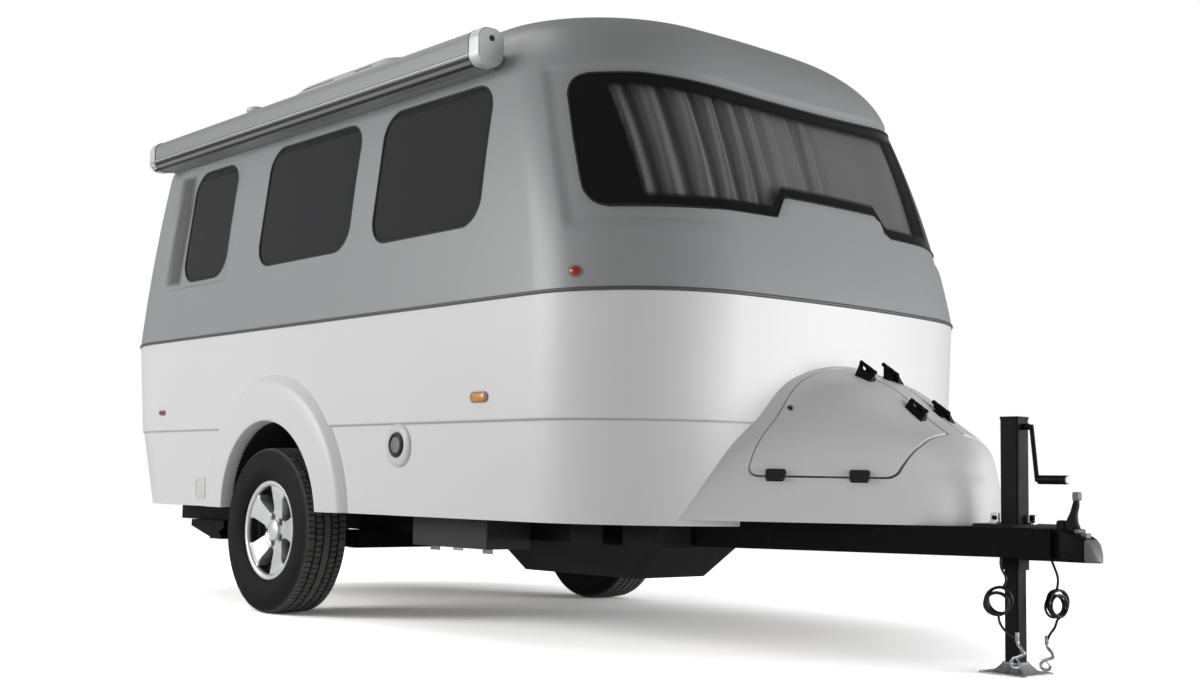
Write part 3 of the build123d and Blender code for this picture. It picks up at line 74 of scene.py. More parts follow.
class Value:
    """A socket's output, with arithmetic that adds Math nodes."""

    def __init__(self, shader: "Nodes", socket: bpy.types.NodeSocket) -> None:
        """Keep the node tree and the socket."""
        self.shader = shader
        self.socket = socket

    def _math(self, operation: str, first: Number, second: Number) -> "Value":
        """One Math node of an operation on two numbers."""
        return self.shader.node("ShaderNodeMath", {"operation": operation}, {0: first, 1: second})

    def __add__(self, other: Number) -> "Value":
        """Sum."""
        return self._math("ADD", self, other)

    __radd__ = __add__

    def __sub__(self, other: Number) -> "Value":
        """Difference."""
        return self._math("SUBTRACT", self, other)

    def __rsub__(self, other: Number) -> "Value":
        """Difference, from a number."""
        return self._math("SUBTRACT", other, self)

    def __mul__(self, other: Number) -> "Value":
        """Product."""
        return self._math("MULTIPLY", self, other)

    __rmul__ = __mul__

    def __or__(self, other: Number) -> "Value":
        """The greater of the two."""
        return self._math("MAXIMUM", self, other)

    def sine(self) -> "Value":
        """Sine of the value in radians."""
        return self._math("SINE", self, 0.0)

    def ramp(self, low: float, high: float, to_low: float = 0.0, to_high: float = 1.0) -> "Value":
        """The value taken from one range to another, smoothly and held at its ends.

        Args:
            low: Value that gives to_low.
            high: Value that gives to_high.
            to_low: Result at or below low.
            to_high: Result at or above high.

        Returns:
            The new value.
        """
        return self.shader.node(
            "ShaderNodeMapRange",
            {"interpolation_type": "SMOOTHSTEP"},
            {"Value": self, "From Min": low, "From Max": high, "To Min": to_low, "To Max": to_high},
        )


class Nodes:
    """A node tree in the making, of a material or the world."""

    def __init__(self, owner: Union[bpy.types.Material, bpy.types.World], output: str) -> None:
        """Empty the owner's tree and give it an output node.

        Args:
            owner: The material or the world.
            output: The output node's type.
        """
        owner.use_nodes = True
        self.tree = owner.node_tree
        self.tree.nodes.clear()
        self.output = self.tree.nodes.new(output)

    def node(self, kind: str, settings: dict, inputs: dict, output: Union[int, str] = 0) -> Value:
        """Add a node.

        Args:
            kind: The node's type.
            settings: Its own settings, set first.
            inputs: Values or links of its sockets, by name or number.
            output: The output to give back.

        Returns:
            That output as a value.
        """
        made = self.tree.nodes.new(kind)
        for key, setting in settings.items():
            setattr(made, key, setting)
        for key, given in inputs.items():
            self.connect(made.inputs[key], given)
        return Value(self, made.outputs[output])

    def connect(self, socket: bpy.types.NodeSocket, given: object) -> None:
        """Link a value to a socket, or set a plain number, colour or vector on it.

        Args:
            socket: The socket.
            given: The value, number, colour or vector.
        """
        if isinstance(given, Value):
            self.tree.links.new(given.socket, socket)
        elif isinstance(given, tuple) and len(given) == 3 and len(socket.default_value) == 4:
            socket.default_value = (*given, 1.0)
        else:
            socket.default_value = given


class Shader(Nodes):
    """A material with one Principled shader."""

    def __init__(self, name: str) -> None:
        """Start the material.

        Args:
            name: The material's name.
        """
        self.material = bpy.data.materials.new(name)
        super().__init__(self.material, "ShaderNodeOutputMaterial")
        self.surface = self.tree.nodes.new("ShaderNodeBsdfPrincipled")
        self.tree.links.new(self.surface.outputs[0], self.output.inputs[0])

    def set(self, **sockets: object) -> None:
        """Feed the Principled shader's sockets, by name with underscores for spaces."""
        for name, given in sockets.items():
            self.connect(self.surface.inputs[name.replace("_", " ")], given)

    def mix(self, factor: Number, low: object, high: object) -> Value:
        """A colour between two by a factor."""
        return self.node("ShaderNodeMix", {"data_type": "RGBA"}, {0: factor, 6: low, 7: high}, 2)

    def tint(self, colour: Triple, amount: Value, spread: float) -> Value:
        """A colour made darker and lighter by a spread, as a value goes from 0 to 1.

        Args:
            colour: The middle colour.
            amount: The value from 0 to 1.
            spread: The share by which it changes either way.

        Returns:
            The colour.
        """
        low = tuple(c * (1 - spread) for c in colour)
        high = tuple(min(1.0, c * (1 + spread)) for c in colour)
        return self.mix(amount, low, high)

    def place(self, scale: Triple = (1.0, 1.0, 1.0)) -> Value:
        """The point on the piece in its own metres, stretched by a scale."""
        point = self.node("ShaderNodeTexCoord", {}, {}, "Object")
        return self.node("ShaderNodeMapping", {}, {"Vector": point, "Scale": scale})

    def noise(self, scale: float, detail: float = 2.0, stretch: Triple = (1.0, 1.0, 1.0)) -> Value:
        """Cloudy noise from 0 to 1, with a number of lumps to the metre."""
        inputs = {"Vector": self.place(stretch), "Scale": scale, "Detail": detail}
        return self.node("ShaderNodeTexNoise", {}, inputs, "Fac")

    def cells(self, scale: float, output: str) -> Value:
        """Cells with a number of them to the metre: their own colour, or the distance to their middles."""
        return self.node("ShaderNodeTexVoronoi", {}, {"Vector": self.place(), "Scale": scale}, output)

    def tag(self, name: str) -> Value:
        """A number that the piece's mesh carries at each point."""
        return self.node("ShaderNodeAttribute", {"attribute_name": name}, {}, "Fac")

    def bump(self, height: Value, depth: float) -> None:
        """Raise the surface by a height from 0 to 1 times a depth in metres."""
        normal = self.node("ShaderNodeBump", {}, {"Height": height, "Distance": depth}, "Normal")
        self.set(Normal=normal)


class Finish:
    """A finish that makes its material once."""

    made: ClassVar[dict[str, bpy.types.Material]] = {}
    name: str

    def dress(self, shader: Shader) -> None:
        """Fill the shader; each finish has its own."""
        raise NotImplementedError

    def material(self) -> bpy.types.Material:
        """The finish's material, made the first time it is asked for.

        Returns:
            The material.
        """
        if self.name not in Finish.made:
            shader = Shader(self.name)
            self.dress(shader)
            Finish.made[self.name] = shader.material
        return Finish.made[self.name]


@dataclass(frozen=True)
class Gelcoat(Finish):
    """Glossy moulded skin: faint clouds in colour and gloss, and the light ripple of a mould."""

    name: str
    colour: Triple
    roughness: float = 0.2
    ripple: float = 0.00016
    coat_roughness: float = 0.14
    shaded: str = "groove"

    def dress(self, shader: Shader) -> None:
        """Clouded colour, painted shade where the mesh's tag is 1; roughness with finer clouds; two sizes of ripple as
        bump.

        Args:
            shader: The shader to fill.
        """
        cloud = shader.noise(1.7, 3.0)
        base = shader.tint(self.colour, cloud, 0.025)
        dust = shader.noise(9.0, 4.0, (1.0, 1.0, 2.5))
        # Painted shade: the tag mixes the colour towards near black.
        base = shader.mix(shader.tag(self.shaded), base, (0.045, 0.045, 0.047))
        rough = self.roughness + dust * 0.03
        shader.set(Base_Color=base, Roughness=rough, Coat_Weight=0.25, Coat_Roughness=self.coat_roughness)
        shader.bump(shader.noise(38.0, 1.0) * 0.6 + shader.noise(7.0, 1.0) * 1.4, self.ripple)


@dataclass(frozen=True)
class PaintedSteel(Finish):
    """Sprayed or dipped steel: fine texture, dusty flats and a little wear."""

    name: str
    colour: Triple = (0.006, 0.006, 0.0063)
    roughness: float = 0.42
    wear: Triple = (0.03, 0.029, 0.028)
    shine: float = 0.12

    def dress(self, shader: Shader) -> None:
        """Dark paint, with dust where a coarse noise is high and grain in the bump.

        Args:
            shader: The shader to fill.
        """
        dust = shader.noise(14.0, 5.0)
        scuff = shader.noise(60.0, 6.0, (1.0, 1.0, 0.4)).ramp(0.62, 0.74)
        base = shader.mix(dust.ramp(0.45, 0.8, 0.0, 0.25), self.colour, tuple(c * 1.7 + 0.003 for c in self.colour))
        base = shader.mix(scuff * 0.3, base, self.wear)
        shader.set(Base_Color=base, Roughness=self.roughness + dust * 0.16, Specular_IOR_Level=self.shine)
        shader.bump(shader.noise(420.0, 2.0), 0.00012)


@dataclass(frozen=True)
class ZincPlate(Finish):
    """Zinc-plated or hot-dipped steel with its spangle."""

    name: str = "zinc"
    colour: Triple = (0.56, 0.57, 0.58)

    def dress(self, shader: Shader) -> None:
        """Cells of slightly different grey and gloss, with streaks of white bloom.

        Args:
            shader: The shader to fill.
        """
        spangle = shader.cells(160.0, "Color")
        grey = shader.node("ShaderNodeSeparateColor", {}, {"Color": spangle}, 0)
        bloom = shader.noise(22.0, 5.0).ramp(0.5, 0.8)
        base = shader.mix(bloom * 0.5, shader.tint(self.colour, grey, 0.14), (0.4, 0.4, 0.39))
        shader.set(Base_Color=base, Metallic=0.92 - bloom * 0.3, Roughness=0.3 + grey * 0.14 + bloom * 0.15)
        shader.bump(grey, 0.00006)


@dataclass(frozen=True)
class CastAlloy(Finish):
    """Wheel alloy: turned bright faces where the mesh's "bright" tag is 1, and near-black painted shade where it is 0,
    in the pockets, lug wells and barrel.
    """

    name: str = "alloy"
    bright: Triple = (0.82, 0.825, 0.83)
    dark: Triple = (0.012, 0.012, 0.013)

    def dress(self, shader: Shader) -> None:
        """Fine turning rings, as a sine of the radius, in the bump of the bright faces.

        Args:
            shader: The shader to fill.
        """
        face = shader.tag("bright")
        turning = (shader.tag("radius") * 4200.0).sine()
        cloud = shader.noise(30.0, 3.0)
        # The near-black colour is painted shade in the pockets, lug wells and barrel; the bright colour is the turned
        # metal.
        base = shader.mix(face, shader.tint(self.dark, cloud, 0.3), shader.tint(self.bright, cloud, 0.06))
        shader.set(Base_Color=base, Metallic=0.2 + face * 0.35, Roughness=0.45 - face * 0.15 + cloud * 0.08)
        shader.bump(turning * face * 0.5 + 0.5, 0.00006)


@dataclass(frozen=True)
class TyreRubber(Finish):
    """Black tyre rubber with a dusty tread and moulding lines on the sidewall."""

    name: str = "tyre"
    colour: Triple = (0.006, 0.006, 0.0062)

    def dress(self, shader: Shader) -> None:
        """Dark sidewalls with fine rings as a sine of the radius, dusty grey ribs, and painted shade in the grooves and
        sipes.

        Args:
            shader: The shader to fill.
        """
        dust = shader.noise(26.0, 6.0)
        tread = shader.tag("tread")
        base = shader.mix(dust.ramp(0.4, 0.75, 0.0, 0.4), self.colour, (0.018, 0.0175, 0.017))
        base = shader.mix(tread * 0.85, base, shader.tint((0.15, 0.147, 0.144), dust, 0.3))
        # Painted shade: the grooves and sipes are darker than the rubber itself.
        base = shader.mix(shader.tag("groove"), base, (0.003, 0.003, 0.003))
        rings = (shader.tag("radius") * 1500.0).sine() * (1.0 - tread)
        shader.set(Base_Color=base, Roughness=0.55 + dust * 0.2, Specular_IOR_Level=0.18)
        shader.bump(rings * 0.25 + shader.noise(700.0, 2.0) * 0.5, 0.0002)


@dataclass(frozen=True)
class SmokedPane(Finish):
    """Smoked acrylic pane: clear enough to see the room through, and black where the mesh's "frit" tag is 1."""

    name: str
    tint: Triple = (0.016, 0.017, 0.019)
    opacity: float = 0.8
    shine: float = 0.5

    def dress(self, shader: Shader) -> None:
        """Alpha rises to full at the frit, and a faint wave of drawn sheet is in the bump.

        Args:
            shader: The shader to fill.
        """
        frit = shader.tag("frit")
        base = shader.mix(frit, self.tint, (0.006, 0.006, 0.006))
        smear = shader.noise(6.0, 3.0)
        shader.set(
            Base_Color=base,
            Roughness=0.035 + smear * 0.05,
            Alpha=self.opacity + frit * (1.0 - self.opacity),
            Specular_IOR_Level=self.shine,
        )
        shader.bump(shader.noise(3.0, 1.0), 0.0006)


@dataclass(frozen=True)
class CurtainCloth(Finish):
    """Pleated blind cloth: a plain weave whose threads follow the cloth."""

    name: str = "curtain_cloth"
    colour: Triple = (0.62, 0.62, 0.61)

    def dress(self, shader: Shader) -> None:
        """Warp and weft as sines of two tags, over soft clouds of colour; painted shade darkens the folds' valleys.

        Args:
            shader: The shader to fill.
        """
        warp = (shader.tag("across") * 5200.0).sine()
        weft = (shader.tag("along") * 5200.0).sine()
        weave = warp * weft * 0.5 + 0.5
        base = shader.tint(self.colour, shader.noise(5.0, 4.0) * 0.6 + weave * 0.4, 0.09)
        # Painted shade in the pleats' valleys.
        base = shader.mix(shader.tag("fold") * 0.85, base, (0.11, 0.11, 0.11))
        shader.set(Base_Color=base, Roughness=0.9, Sheen_Weight=0.25)
        shader.bump(weave, 0.00018)


@dataclass(frozen=True)
class MouldedPlastic(Finish):
    """Injection-moulded plastic with a fine leather grain and slight fading."""

    name: str
    colour: Triple
    roughness: float = 0.4
    grain: float = 0.00008

    def dress(self, shader: Shader) -> None:
        """Clouded colour, and cells of grain in the bump.

        Args:
            shader: The shader to fill.
        """
        cloud = shader.noise(6.0, 4.0)
        grain = shader.cells(900.0, "Distance")
        shader.set(Base_Color=shader.tint(self.colour, cloud, 0.06), Roughness=self.roughness + cloud * 0.1)
        shader.bump(grain, self.grain)


@dataclass(frozen=True)
class BrushedMetal(Finish):
    """Anodised aluminium drawn or brushed along x."""

    name: str
    colour: Triple = (0.6, 0.605, 0.61)
    roughness: float = 0.3
    metallic: float = 0.85

    def dress(self, shader: Shader) -> None:
        """Streaks are noise squeezed along x.

        Args:
            shader: The shader to fill.
        """
        streak = shader.noise(300.0, 3.0, (0.02, 1.0, 1.0))
        cloud = shader.noise(3.0, 3.0)
        base = shader.tint(self.colour, streak * 0.6 + cloud * 0.4, 0.08)
        shader.set(Base_Color=base, Metallic=self.metallic, Roughness=self.roughness + streak * 0.12)
        shader.bump(streak, 0.00004)


@dataclass(frozen=True)
class LampLens(Finish):
    """Coloured lamp lens with ribs moulded in."""

    name: str
    colour: Triple

    def dress(self, shader: Shader) -> None:
        """Vertical and level ribs as sines of the point's place.

        Args:
            shader: The shader to fill.
        """
        point = shader.place()
        across, height = (shader.node("ShaderNodeSeparateXYZ", {}, {"Vector": point}, axis) for axis in "XZ")
        rib = (across * 1400.0).sine() * (height * 1400.0).sine() * 0.5 + 0.5
        shader.set(Base_Color=shader.tint(self.colour, rib, 0.25), Roughness=0.12 + rib * 0.05, Coat_Weight=0.6)
        shader.bump(rib, 0.0003)


@dataclass(frozen=True)
class SoftSeal(Finish):
    """Extruded rubber or cable jacket: even black with a low sheen."""

    name: str
    colour: Triple = (0.012, 0.012, 0.012)
    roughness: float = 0.5

    def dress(self, shader: Shader) -> None:
        """Slightly mottled black with fine grain.

        Args:
            shader: The shader to fill.
        """
        mottle = shader.noise(45.0, 4.0)
        shader.set(Base_Color=shader.tint(self.colour, mottle, 0.4), Roughness=self.roughness + mottle * 0.15)
        shader.bump(shader.noise(500.0, 2.0), 0.00008)


@dataclass(frozen=True)
class FloorBoard(Finish):
    """The cabin's sheet floor in a grey oak tone."""

    name: str = "floor_board"

    def dress(self, shader: Shader) -> None:
        """Planks by a wave squeezed across y, with grain along x.

        Args:
            shader: The shader to fill.
        """
        grain = shader.noise(40.0, 6.0, (0.12, 1.0, 1.0))
        tone = shader.noise(3.0, 2.0, (0.3, 4.0, 1.0))
        base = shader.mix(grain * 0.6 + tone * 0.4, (0.17, 0.15, 0.13), (0.31, 0.285, 0.25))
        shader.set(Base_Color=base, Roughness=0.45 + grain * 0.15)
        shader.bump(grain, 0.0002)


# The grey skin takes painted shade on the slope behind the rear pane.
GREY_SKIN = Gelcoat("shell_grey", (0.335, 0.34, 0.345), roughness=0.36, coat_roughness=0.22, shaded="scoop")
# The white skin takes a painted shadow line under the crease, by its default tag.
WHITE_SKIN = Gelcoat("shell_white", (0.8, 0.8, 0.8), roughness=0.42, coat_roughness=0.32)
LINING = Gelcoat("lining", (0.55, 0.54, 0.52), roughness=0.5, ripple=0.0004)
BLACK_STEEL = PaintedSteel("chassis_black")
# Grey steel: worn bare steel on the lug nuts and the lever's ends, and a painted highlight on the coupler's sloped
# nose.
WORN_STEEL_AND_PAINTED_HIGHLIGHT = PaintedSteel("worn_steel", (0.15, 0.15, 0.152), 0.4, (0.3, 0.3, 0.3), 0.5)
DARK_IRON = PaintedSteel("dark_iron", (0.05, 0.047, 0.044), 0.6, (0.12, 0.08, 0.05))
BOTTLE_PAINT = PaintedSteel("bottle_white", (0.72, 0.72, 0.7), 0.3, (0.35, 0.33, 0.3))
ZINC = ZincPlate()
ALLOY = CastAlloy()
RUBBER = TyreRubber()
FRONT_GLASS = SmokedPane("front_glass", opacity=0.31, shine=0.22)
SIDE_GLASS = SmokedPane("side_glass", (0.036, 0.037, 0.039), 0.86)
CLOTH = CurtainCloth(colour=(0.7, 0.7, 0.69))
WHITE_PLASTIC = MouldedPlastic("plastic_white", (0.72, 0.72, 0.71), 0.35)
COOLER_SKIN = MouldedPlastic("cooler_skin", (0.55, 0.55, 0.545), 0.45)
GREY_PLASTIC = MouldedPlastic("plastic_grey", (0.22, 0.22, 0.225), 0.45)
# Black plastic of the small fittings, and painted shadow lines as strips on the awning.
BLACK_PLASTIC_AND_PAINTED_SHADE = MouldedPlastic("plastic_black", (0.014, 0.014, 0.014), 0.35, 0.00012)
TUB_PLASTIC = MouldedPlastic("tub_black", (0.012, 0.012, 0.012), 0.7, 0.0003)
TANK_PLASTIC = MouldedPlastic("tank_black", (0.02, 0.02, 0.02), 0.5, 0.0002)
AWNING_METAL = BrushedMetal("awning_metal", (0.3, 0.303, 0.307), 0.42, 0.25)
# Silver of the awning's caps, and a painted highlight as one strip on the awning.
SILVER_AND_PAINTED_HIGHLIGHT = BrushedMetal("silver_trim", (0.66, 0.665, 0.67), 0.42, 0.35)
TRIM = MouldedPlastic("trim_grey", (0.09, 0.092, 0.095), 0.35)
SEAL = SoftSeal("seal_black")
CABLE_JACKET = SoftSeal("cable_black", (0.011, 0.011, 0.011), 0.34)
AMBER = LampLens("lamp_amber", (0.8, 0.26, 0.02))
RED = LampLens("lamp_red", (0.42, 0.012, 0.012))
BOARD = FloorBoard()

SLOT_FINISH: dict[str, Finish] = {
    "shell_white": WHITE_SKIN, "shell_grey": GREY_SKIN, "floor_board": BOARD, "tub_black": TUB_PLASTIC,
    "trim_grey": TRIM, "tinted_glass": SIDE_GLASS, "curtain_cloth": CLOTH, "tyre": RUBBER, "alloy": ALLOY,
    "dark_steel": DARK_IRON, "chassis_black": BLACK_STEEL, "zinc": ZINC, "bottle_white": BOTTLE_PAINT,
    "awning_metal": AWNING_METAL, "plastic_white": WHITE_PLASTIC, "lamp_red": RED, "lamp_amber": AMBER,
    "tank_black": TANK_PLASTIC, "cable_black": CABLE_JACKET,
}


# ------------------------------------------------------------------ shapes as arrays


def spaced(*stretches: tuple[float, float, int]) -> np.ndarray:
    """Numbers that run through stretches of (from, to, steps), each joined to the next.

    Args:
        stretches: The stretches in order.

    Returns:
        One rising or falling array without doubled ends.
    """
    parts = [np.linspace(low, high, steps, endpoint=False) for low, high, steps in stretches]
    return np.concatenate(parts + [np.array([stretches[-1][1]])])


def smooth(low: float, high: float, values: np.ndarray) -> np.ndarray:
    """Rises from 0 at low to 1 at high by the cubic 3t^2 - 2t^3, flat at both ends."""
    t = np.clip((values - low) / (high - low), 0.0, 1.0)
    return t * t * (3.0 - 2.0 * t)


def unit(vector: np.ndarray) -> np.ndarray:
    """A vector, or each row of an array of them, at length 1."""
    return vector / np.linalg.norm(vector, axis=-1, keepdims=True)


def circle(radius: float, steps: int) -> np.ndarray:
    """Points of a circle about the origin, as the radius times the angle's cosine and sine, shape (steps, 2)."""
    angle = np.arange(steps) * 2 * np.pi / steps
    return radius * np.stack((np.cos(angle), np.sin(angle)), -1)


def at_place(outline: np.ndarray, axis: str, place: Union[float, np.ndarray]) -> np.ndarray:
    """A flat outline put at a place along an axis; its two columns are the other axes in order."""
    return np.insert(outline, "xyz".index(axis), place, axis=1)


def rim_of(grid: np.ndarray) -> np.ndarray:
    """The items round the edge of a grid, in one turn."""
    return np.concatenate((grid[0], grid[1:, -1], grid[-1, -2::-1], grid[-2:0:-1, 0]))


def rounded_outline(width: float, height: float, radius: float, steps: int = 6) -> np.ndarray:
    """A rounded rectangle about the origin, as quarter circles of a radius about four corner centres.

    Args:
        width: Full width.
        height: Full height.
        radius: Corner radius.
        steps: Steps in each corner.

    Returns:
        Points of one turn, counterclockwise, shape (4 * (steps + 1), 2).
    """
    angle = np.linspace(0.0, np.pi / 2, steps + 1)[None, :] + np.arange(4)[:, None] * np.pi / 2
    corner = np.array([(1, 1), (-1, 1), (-1, -1), (1, -1)]) * (width / 2 - radius, height / 2 - radius)
    return (corner[:, None, :] + radius * np.stack((np.cos(angle), np.sin(angle)), -1)).reshape(-1, 2)


def through(table: np.ndarray, at: np.ndarray) -> np.ndarray:
    """Smooth rows between a table's rows: a cubic in each span with slopes from the neighbouring rows.

    Args:
        table: Rows whose first column rises.
        at: Values of the first column.

    Returns:
        The other columns at those values, shape (len(at), columns - 1).
    """
    key, rows = table[:, 0], table[:, 1:]
    slope = np.gradient(rows, key, axis=0)
    span = np.clip(np.searchsorted(key, at, side="right") - 1, 0, len(key) - 2)
    width = (key[span + 1] - key[span])[:, None]
    t = (at - key[span])[:, None] / width
    return (
        (1 + 2 * t) * (1 - t) ** 2 * rows[span] + t * (1 - t) ** 2 * width * slope[span]
        + t * t * (3 - 2 * t) * rows[span + 1] + t * t * (t - 1) * width * slope[span + 1]
    )


def lathed(profile: np.ndarray, centre: Triple, steps: int, axis: str = "y", way: float = 1.0) -> np.ndarray:
    """A profile of (radius, distance along the axis) turned a full circle about an axis through a centre.

    Args:
        profile: Shape (n, 2).
        centre: A point on the axis.
        steps: Steps round the circle.
        axis: The axis, "x", "y" or "z".
        way: 1 or -1, the direction of distance along it.

    Returns:
        Points of shape (n, steps, 3); the second way closes on itself.
    """
    angle = np.arange(steps) * 2 * np.pi / steps
    radius, along = profile[:, :1], profile[:, 1:] * np.ones(steps) * way
    across, up = radius * np.cos(angle), radius * np.sin(angle)
    order = {"x": (along, across, up), "y": (across, along, up), "z": (across, up, along)}[axis]
    return np.stack(order, -1) + np.array(centre)


def carried(profile: np.ndarray, path: np.ndarray, up: Triple) -> np.ndarray:
    """A flat profile carried along a path, its x across the path and its y towards up.

    Args:
        profile: Shape (k, 2).
        path: Shape (m, 3).
        up: A direction that is never along the path.

    Returns:
        Points of shape (m, k, 3).
    """
    run = unit(np.gradient(path, axis=0))
    across = unit(np.cross(np.array(up), run))
    rise = np.cross(run, across)
    return path[:, None] + profile[None, :, :1] * across[:, None] + profile[None, :, 1:] * rise[:, None]


class Form:
    """Gathers grids of points into one mesh."""

    def __init__(self) -> None:
        """Start empty."""
        self.points: list[np.ndarray] = []
        self.faces: list[list[int]] = []
        self.finish_of: list[int] = []
        self.tags: dict[str, list[tuple[int, np.ndarray]]] = {}
        self.count = 0

    def add(self, points: np.ndarray, tags: Union[dict[str, np.ndarray], None] = None) -> np.ndarray:
        """Add points, with numbers that go with them.

        Args:
            points: Shape (..., 3).
            tags: Arrays of numbers that fit the points' shape, by name.

        Returns:
            Their places in the mesh, in the same shape.
        """
        flat = points.reshape(-1, 3)
        places = np.arange(self.count, self.count + len(flat)).reshape(points.shape[:-1])
        for name, numbers in (tags or {}).items():
            spread = np.broadcast_to(numbers, points.shape[:-1]).reshape(-1)
            self.tags.setdefault(name, []).append((self.count, spread))
        self.points.append(flat)
        self.count += len(flat)
        return places

    def weave(self, places: np.ndarray, finish: int = 0, wrap: bool = False) -> None:
        """Fill a grid of places with quads, closing its second way on itself if wrap is set.

        Args:
            places: Places of points, shape (rows, columns).
            finish: The finish's number.
            wrap: Whether each row closes on itself.
        """
        if wrap:
            places = np.concatenate((places, places[:, :1]), 1)
        quads = np.stack((places[:-1, :-1], places[:-1, 1:], places[1:, 1:], places[1:, :-1]), -1).reshape(-1, 4)
        self.faces += quads.tolist()
        self.finish_of += [finish] * len(quads)

    def cap(self, ring: np.ndarray, finish: int = 0) -> None:
        """Close a ring of places with one face."""
        self.faces.append(ring.reshape(-1).tolist())
        self.finish_of.append(finish)

    def grid(self, points: np.ndarray, finish: int = 0, wrap: bool = False, **tags: np.ndarray) -> np.ndarray:
        """Add a grid of points and its quads, and give the places back.

        Args:
            points: Points, shape (rows, columns, 3).
            finish: The finish's number.
            wrap: Whether each row closes on itself.
            **tags: Numbers that go with the points, by name.

        Returns:
            The places.
        """
        places = self.add(points, tags)
        self.weave(places, finish, wrap)
        return places

    def tube(self, points: np.ndarray, finish: int = 0, **tags: np.ndarray) -> None:
        """Add a grid that closes round its second way, with a face over each end.

        Args:
            points: Points, shape (rows, columns, 3).
            finish: The finish's number.
            **tags: Numbers that go with the points, by name.
        """
        places = self.grid(points, finish, True, **tags)
        self.cap(places[0], finish)
        self.cap(places[-1], finish)

    def slab(
        self, front: np.ndarray, back: np.ndarray, finish: int = 0, edge: int = 0, inside: int = 0, **tags: np.ndarray
    ) -> None:
        """Add a plate with a front and a back grid of one shape, joined all round.

        Args:
            front: The front's points, shape (rows, columns, 3).
            back: The back's points.
            finish: The front's finish.
            edge: The rim's finish.
            inside: The back's finish.
            **tags: Numbers that go with the points, by name.
        """
        near = self.grid(front, finish, **tags)
        far = self.grid(back, inside, **tags)
        self.weave(np.stack((rim_of(near), rim_of(far))), edge, True)

    def loop(self, points: np.ndarray, finish: int = 0, **tags: np.ndarray) -> None:
        """Add a grid that closes on itself both ways.

        Args:
            points: Points, shape (rows, columns, 3).
            finish: The finish's number.
            **tags: Numbers that go with the points, by name.
        """
        places = self.add(points, tags)
        self.weave(places, finish, True)
        self.weave(places[[-1, 0]], finish, True)

    def layers(self, layers: Iterable[tuple[np.ndarray, float]], axis: str, finish: int = 0) -> None:
        """Add a closed form through flat outlines, each at its place along an axis."""
        self.tube(np.stack([at_place(outline, axis, place) for outline, place in layers]), finish)

    def prism(self, outline: np.ndarray, low: float, high: float, axis: str = "y", finish: int = 0) -> "Form":
        """Add a flat outline drawn out along an axis, and give the form back."""
        self.layers(((outline, low), (outline, high)), axis, finish)
        return self

    def turned(
        self, profile: Sequence[tuple[float, float]], centre: Triple, steps: int, axis: str = "y", way: float = 1.0,
        finish: int = 0, **tags: np.ndarray,
    ) -> None:
        """Add a closed profile turned about an axis, as lathed does, with a face over each end."""
        self.tube(lathed(np.array(profile), centre, steps, axis, way), finish, **tags)

    def mesh(self, name: str, finishes: Sequence[Finish]) -> bpy.types.Mesh:
        """Turn what was gathered into a mesh whose doubles are merged and whose faces point outwards.

        Args:
            name: The mesh's name.
            finishes: The finishes, in the order of their numbers.

        Returns:
            The mesh.
        """
        mesh = bpy.data.meshes.new(name)
        mesh.from_pydata(np.concatenate(self.points), [], self.faces)
        for finish in finishes:
            mesh.materials.append(finish.material())
        mesh.polygons.foreach_set("material_index", self.finish_of)
        for tag, parts in self.tags.items():
            numbers = np.zeros(self.count, dtype=np.float32)
            for start, part in parts:
                numbers[start:start + len(part)] = part
            mesh.attributes.new(tag, "FLOAT", "POINT").data.foreach_set("value", numbers)
        work = bmesh.new()
        work.from_mesh(mesh)
        bmesh.ops.remove_doubles(work, verts=work.verts, dist=DOUBLES)
        bmesh.ops.recalc_face_normals(work, faces=work.faces)
        work.to_mesh(mesh)
        work.free()
        return mesh

    def piece(
        self, name: str, finishes: Sequence[Finish], slot: str, replaces: Sequence[str] = (), body: str = "trailer",
        sharp: float = 32.0, bevel: float = 0.0,
    ) -> bpy.types.Object:
        """Make the mesh an object that rides on a body and stands for its nodes.

        Args:
            name: The piece's name.
            finishes: Its finishes, by the numbers given to its faces.
            slot: A material slot's name; not used.
            replaces: Nodes that it stands for.
            body: The body that it moves with.
            sharp: Angle in degrees above which an edge is sharp.
            bevel: Width of a rounded edge, or 0 for none.

        Returns:
            The object.
        """
        return settle(self.mesh(name, finishes), name, replaces, body, sharp, bevel)


def linked(name: str, data: bpy.types.ID) -> bpy.types.Object:
    """An object of a mesh, curve, camera or lamp, put into the scene.

    Args:
        name: The object's name.
        data: Its mesh, curve, camera or lamp.

    Returns:
        The object.
    """
    made = bpy.data.objects.new(name, data)
    bpy.context.scene.collection.objects.link(made)
    return made


def settle(
    mesh: bpy.types.Mesh, name: str, replaces: Sequence[str] = (), body: str = "trailer",
    sharp: float = 32.0, bevel: float = 0.0,
) -> bpy.types.Object:
    """Put a mesh into the scene as a piece: smooth shading, riding on its body, standing for its nodes.

    Args:
        mesh: The mesh.
        name: The piece's name.
        replaces: Nodes that it stands for.
        body: The body it rides on.
        sharp: Angle in degrees past which an edge is sharp.
        bevel: Width of its edges' rounding.

    Returns:
        The piece.
    """
    mesh.shade_smooth()
    mesh.set_sharp_from_angle(angle=np.radians(sharp))
    piece = linked(name, mesh)
    if bevel:
        rounding = piece.modifiers.new("Bevel", "BEVEL")
        rounding.width, rounding.segments, rounding.limit_method = bevel, 3, "ANGLE"
        rounding.angle_limit, rounding.harden_normals = np.radians(40.0), True
    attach(piece, body)
    if replaces:
        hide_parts(*replaces)
    LOG.info("%s: %d faces on %s", name, len(mesh.polygons), body)
    return piece


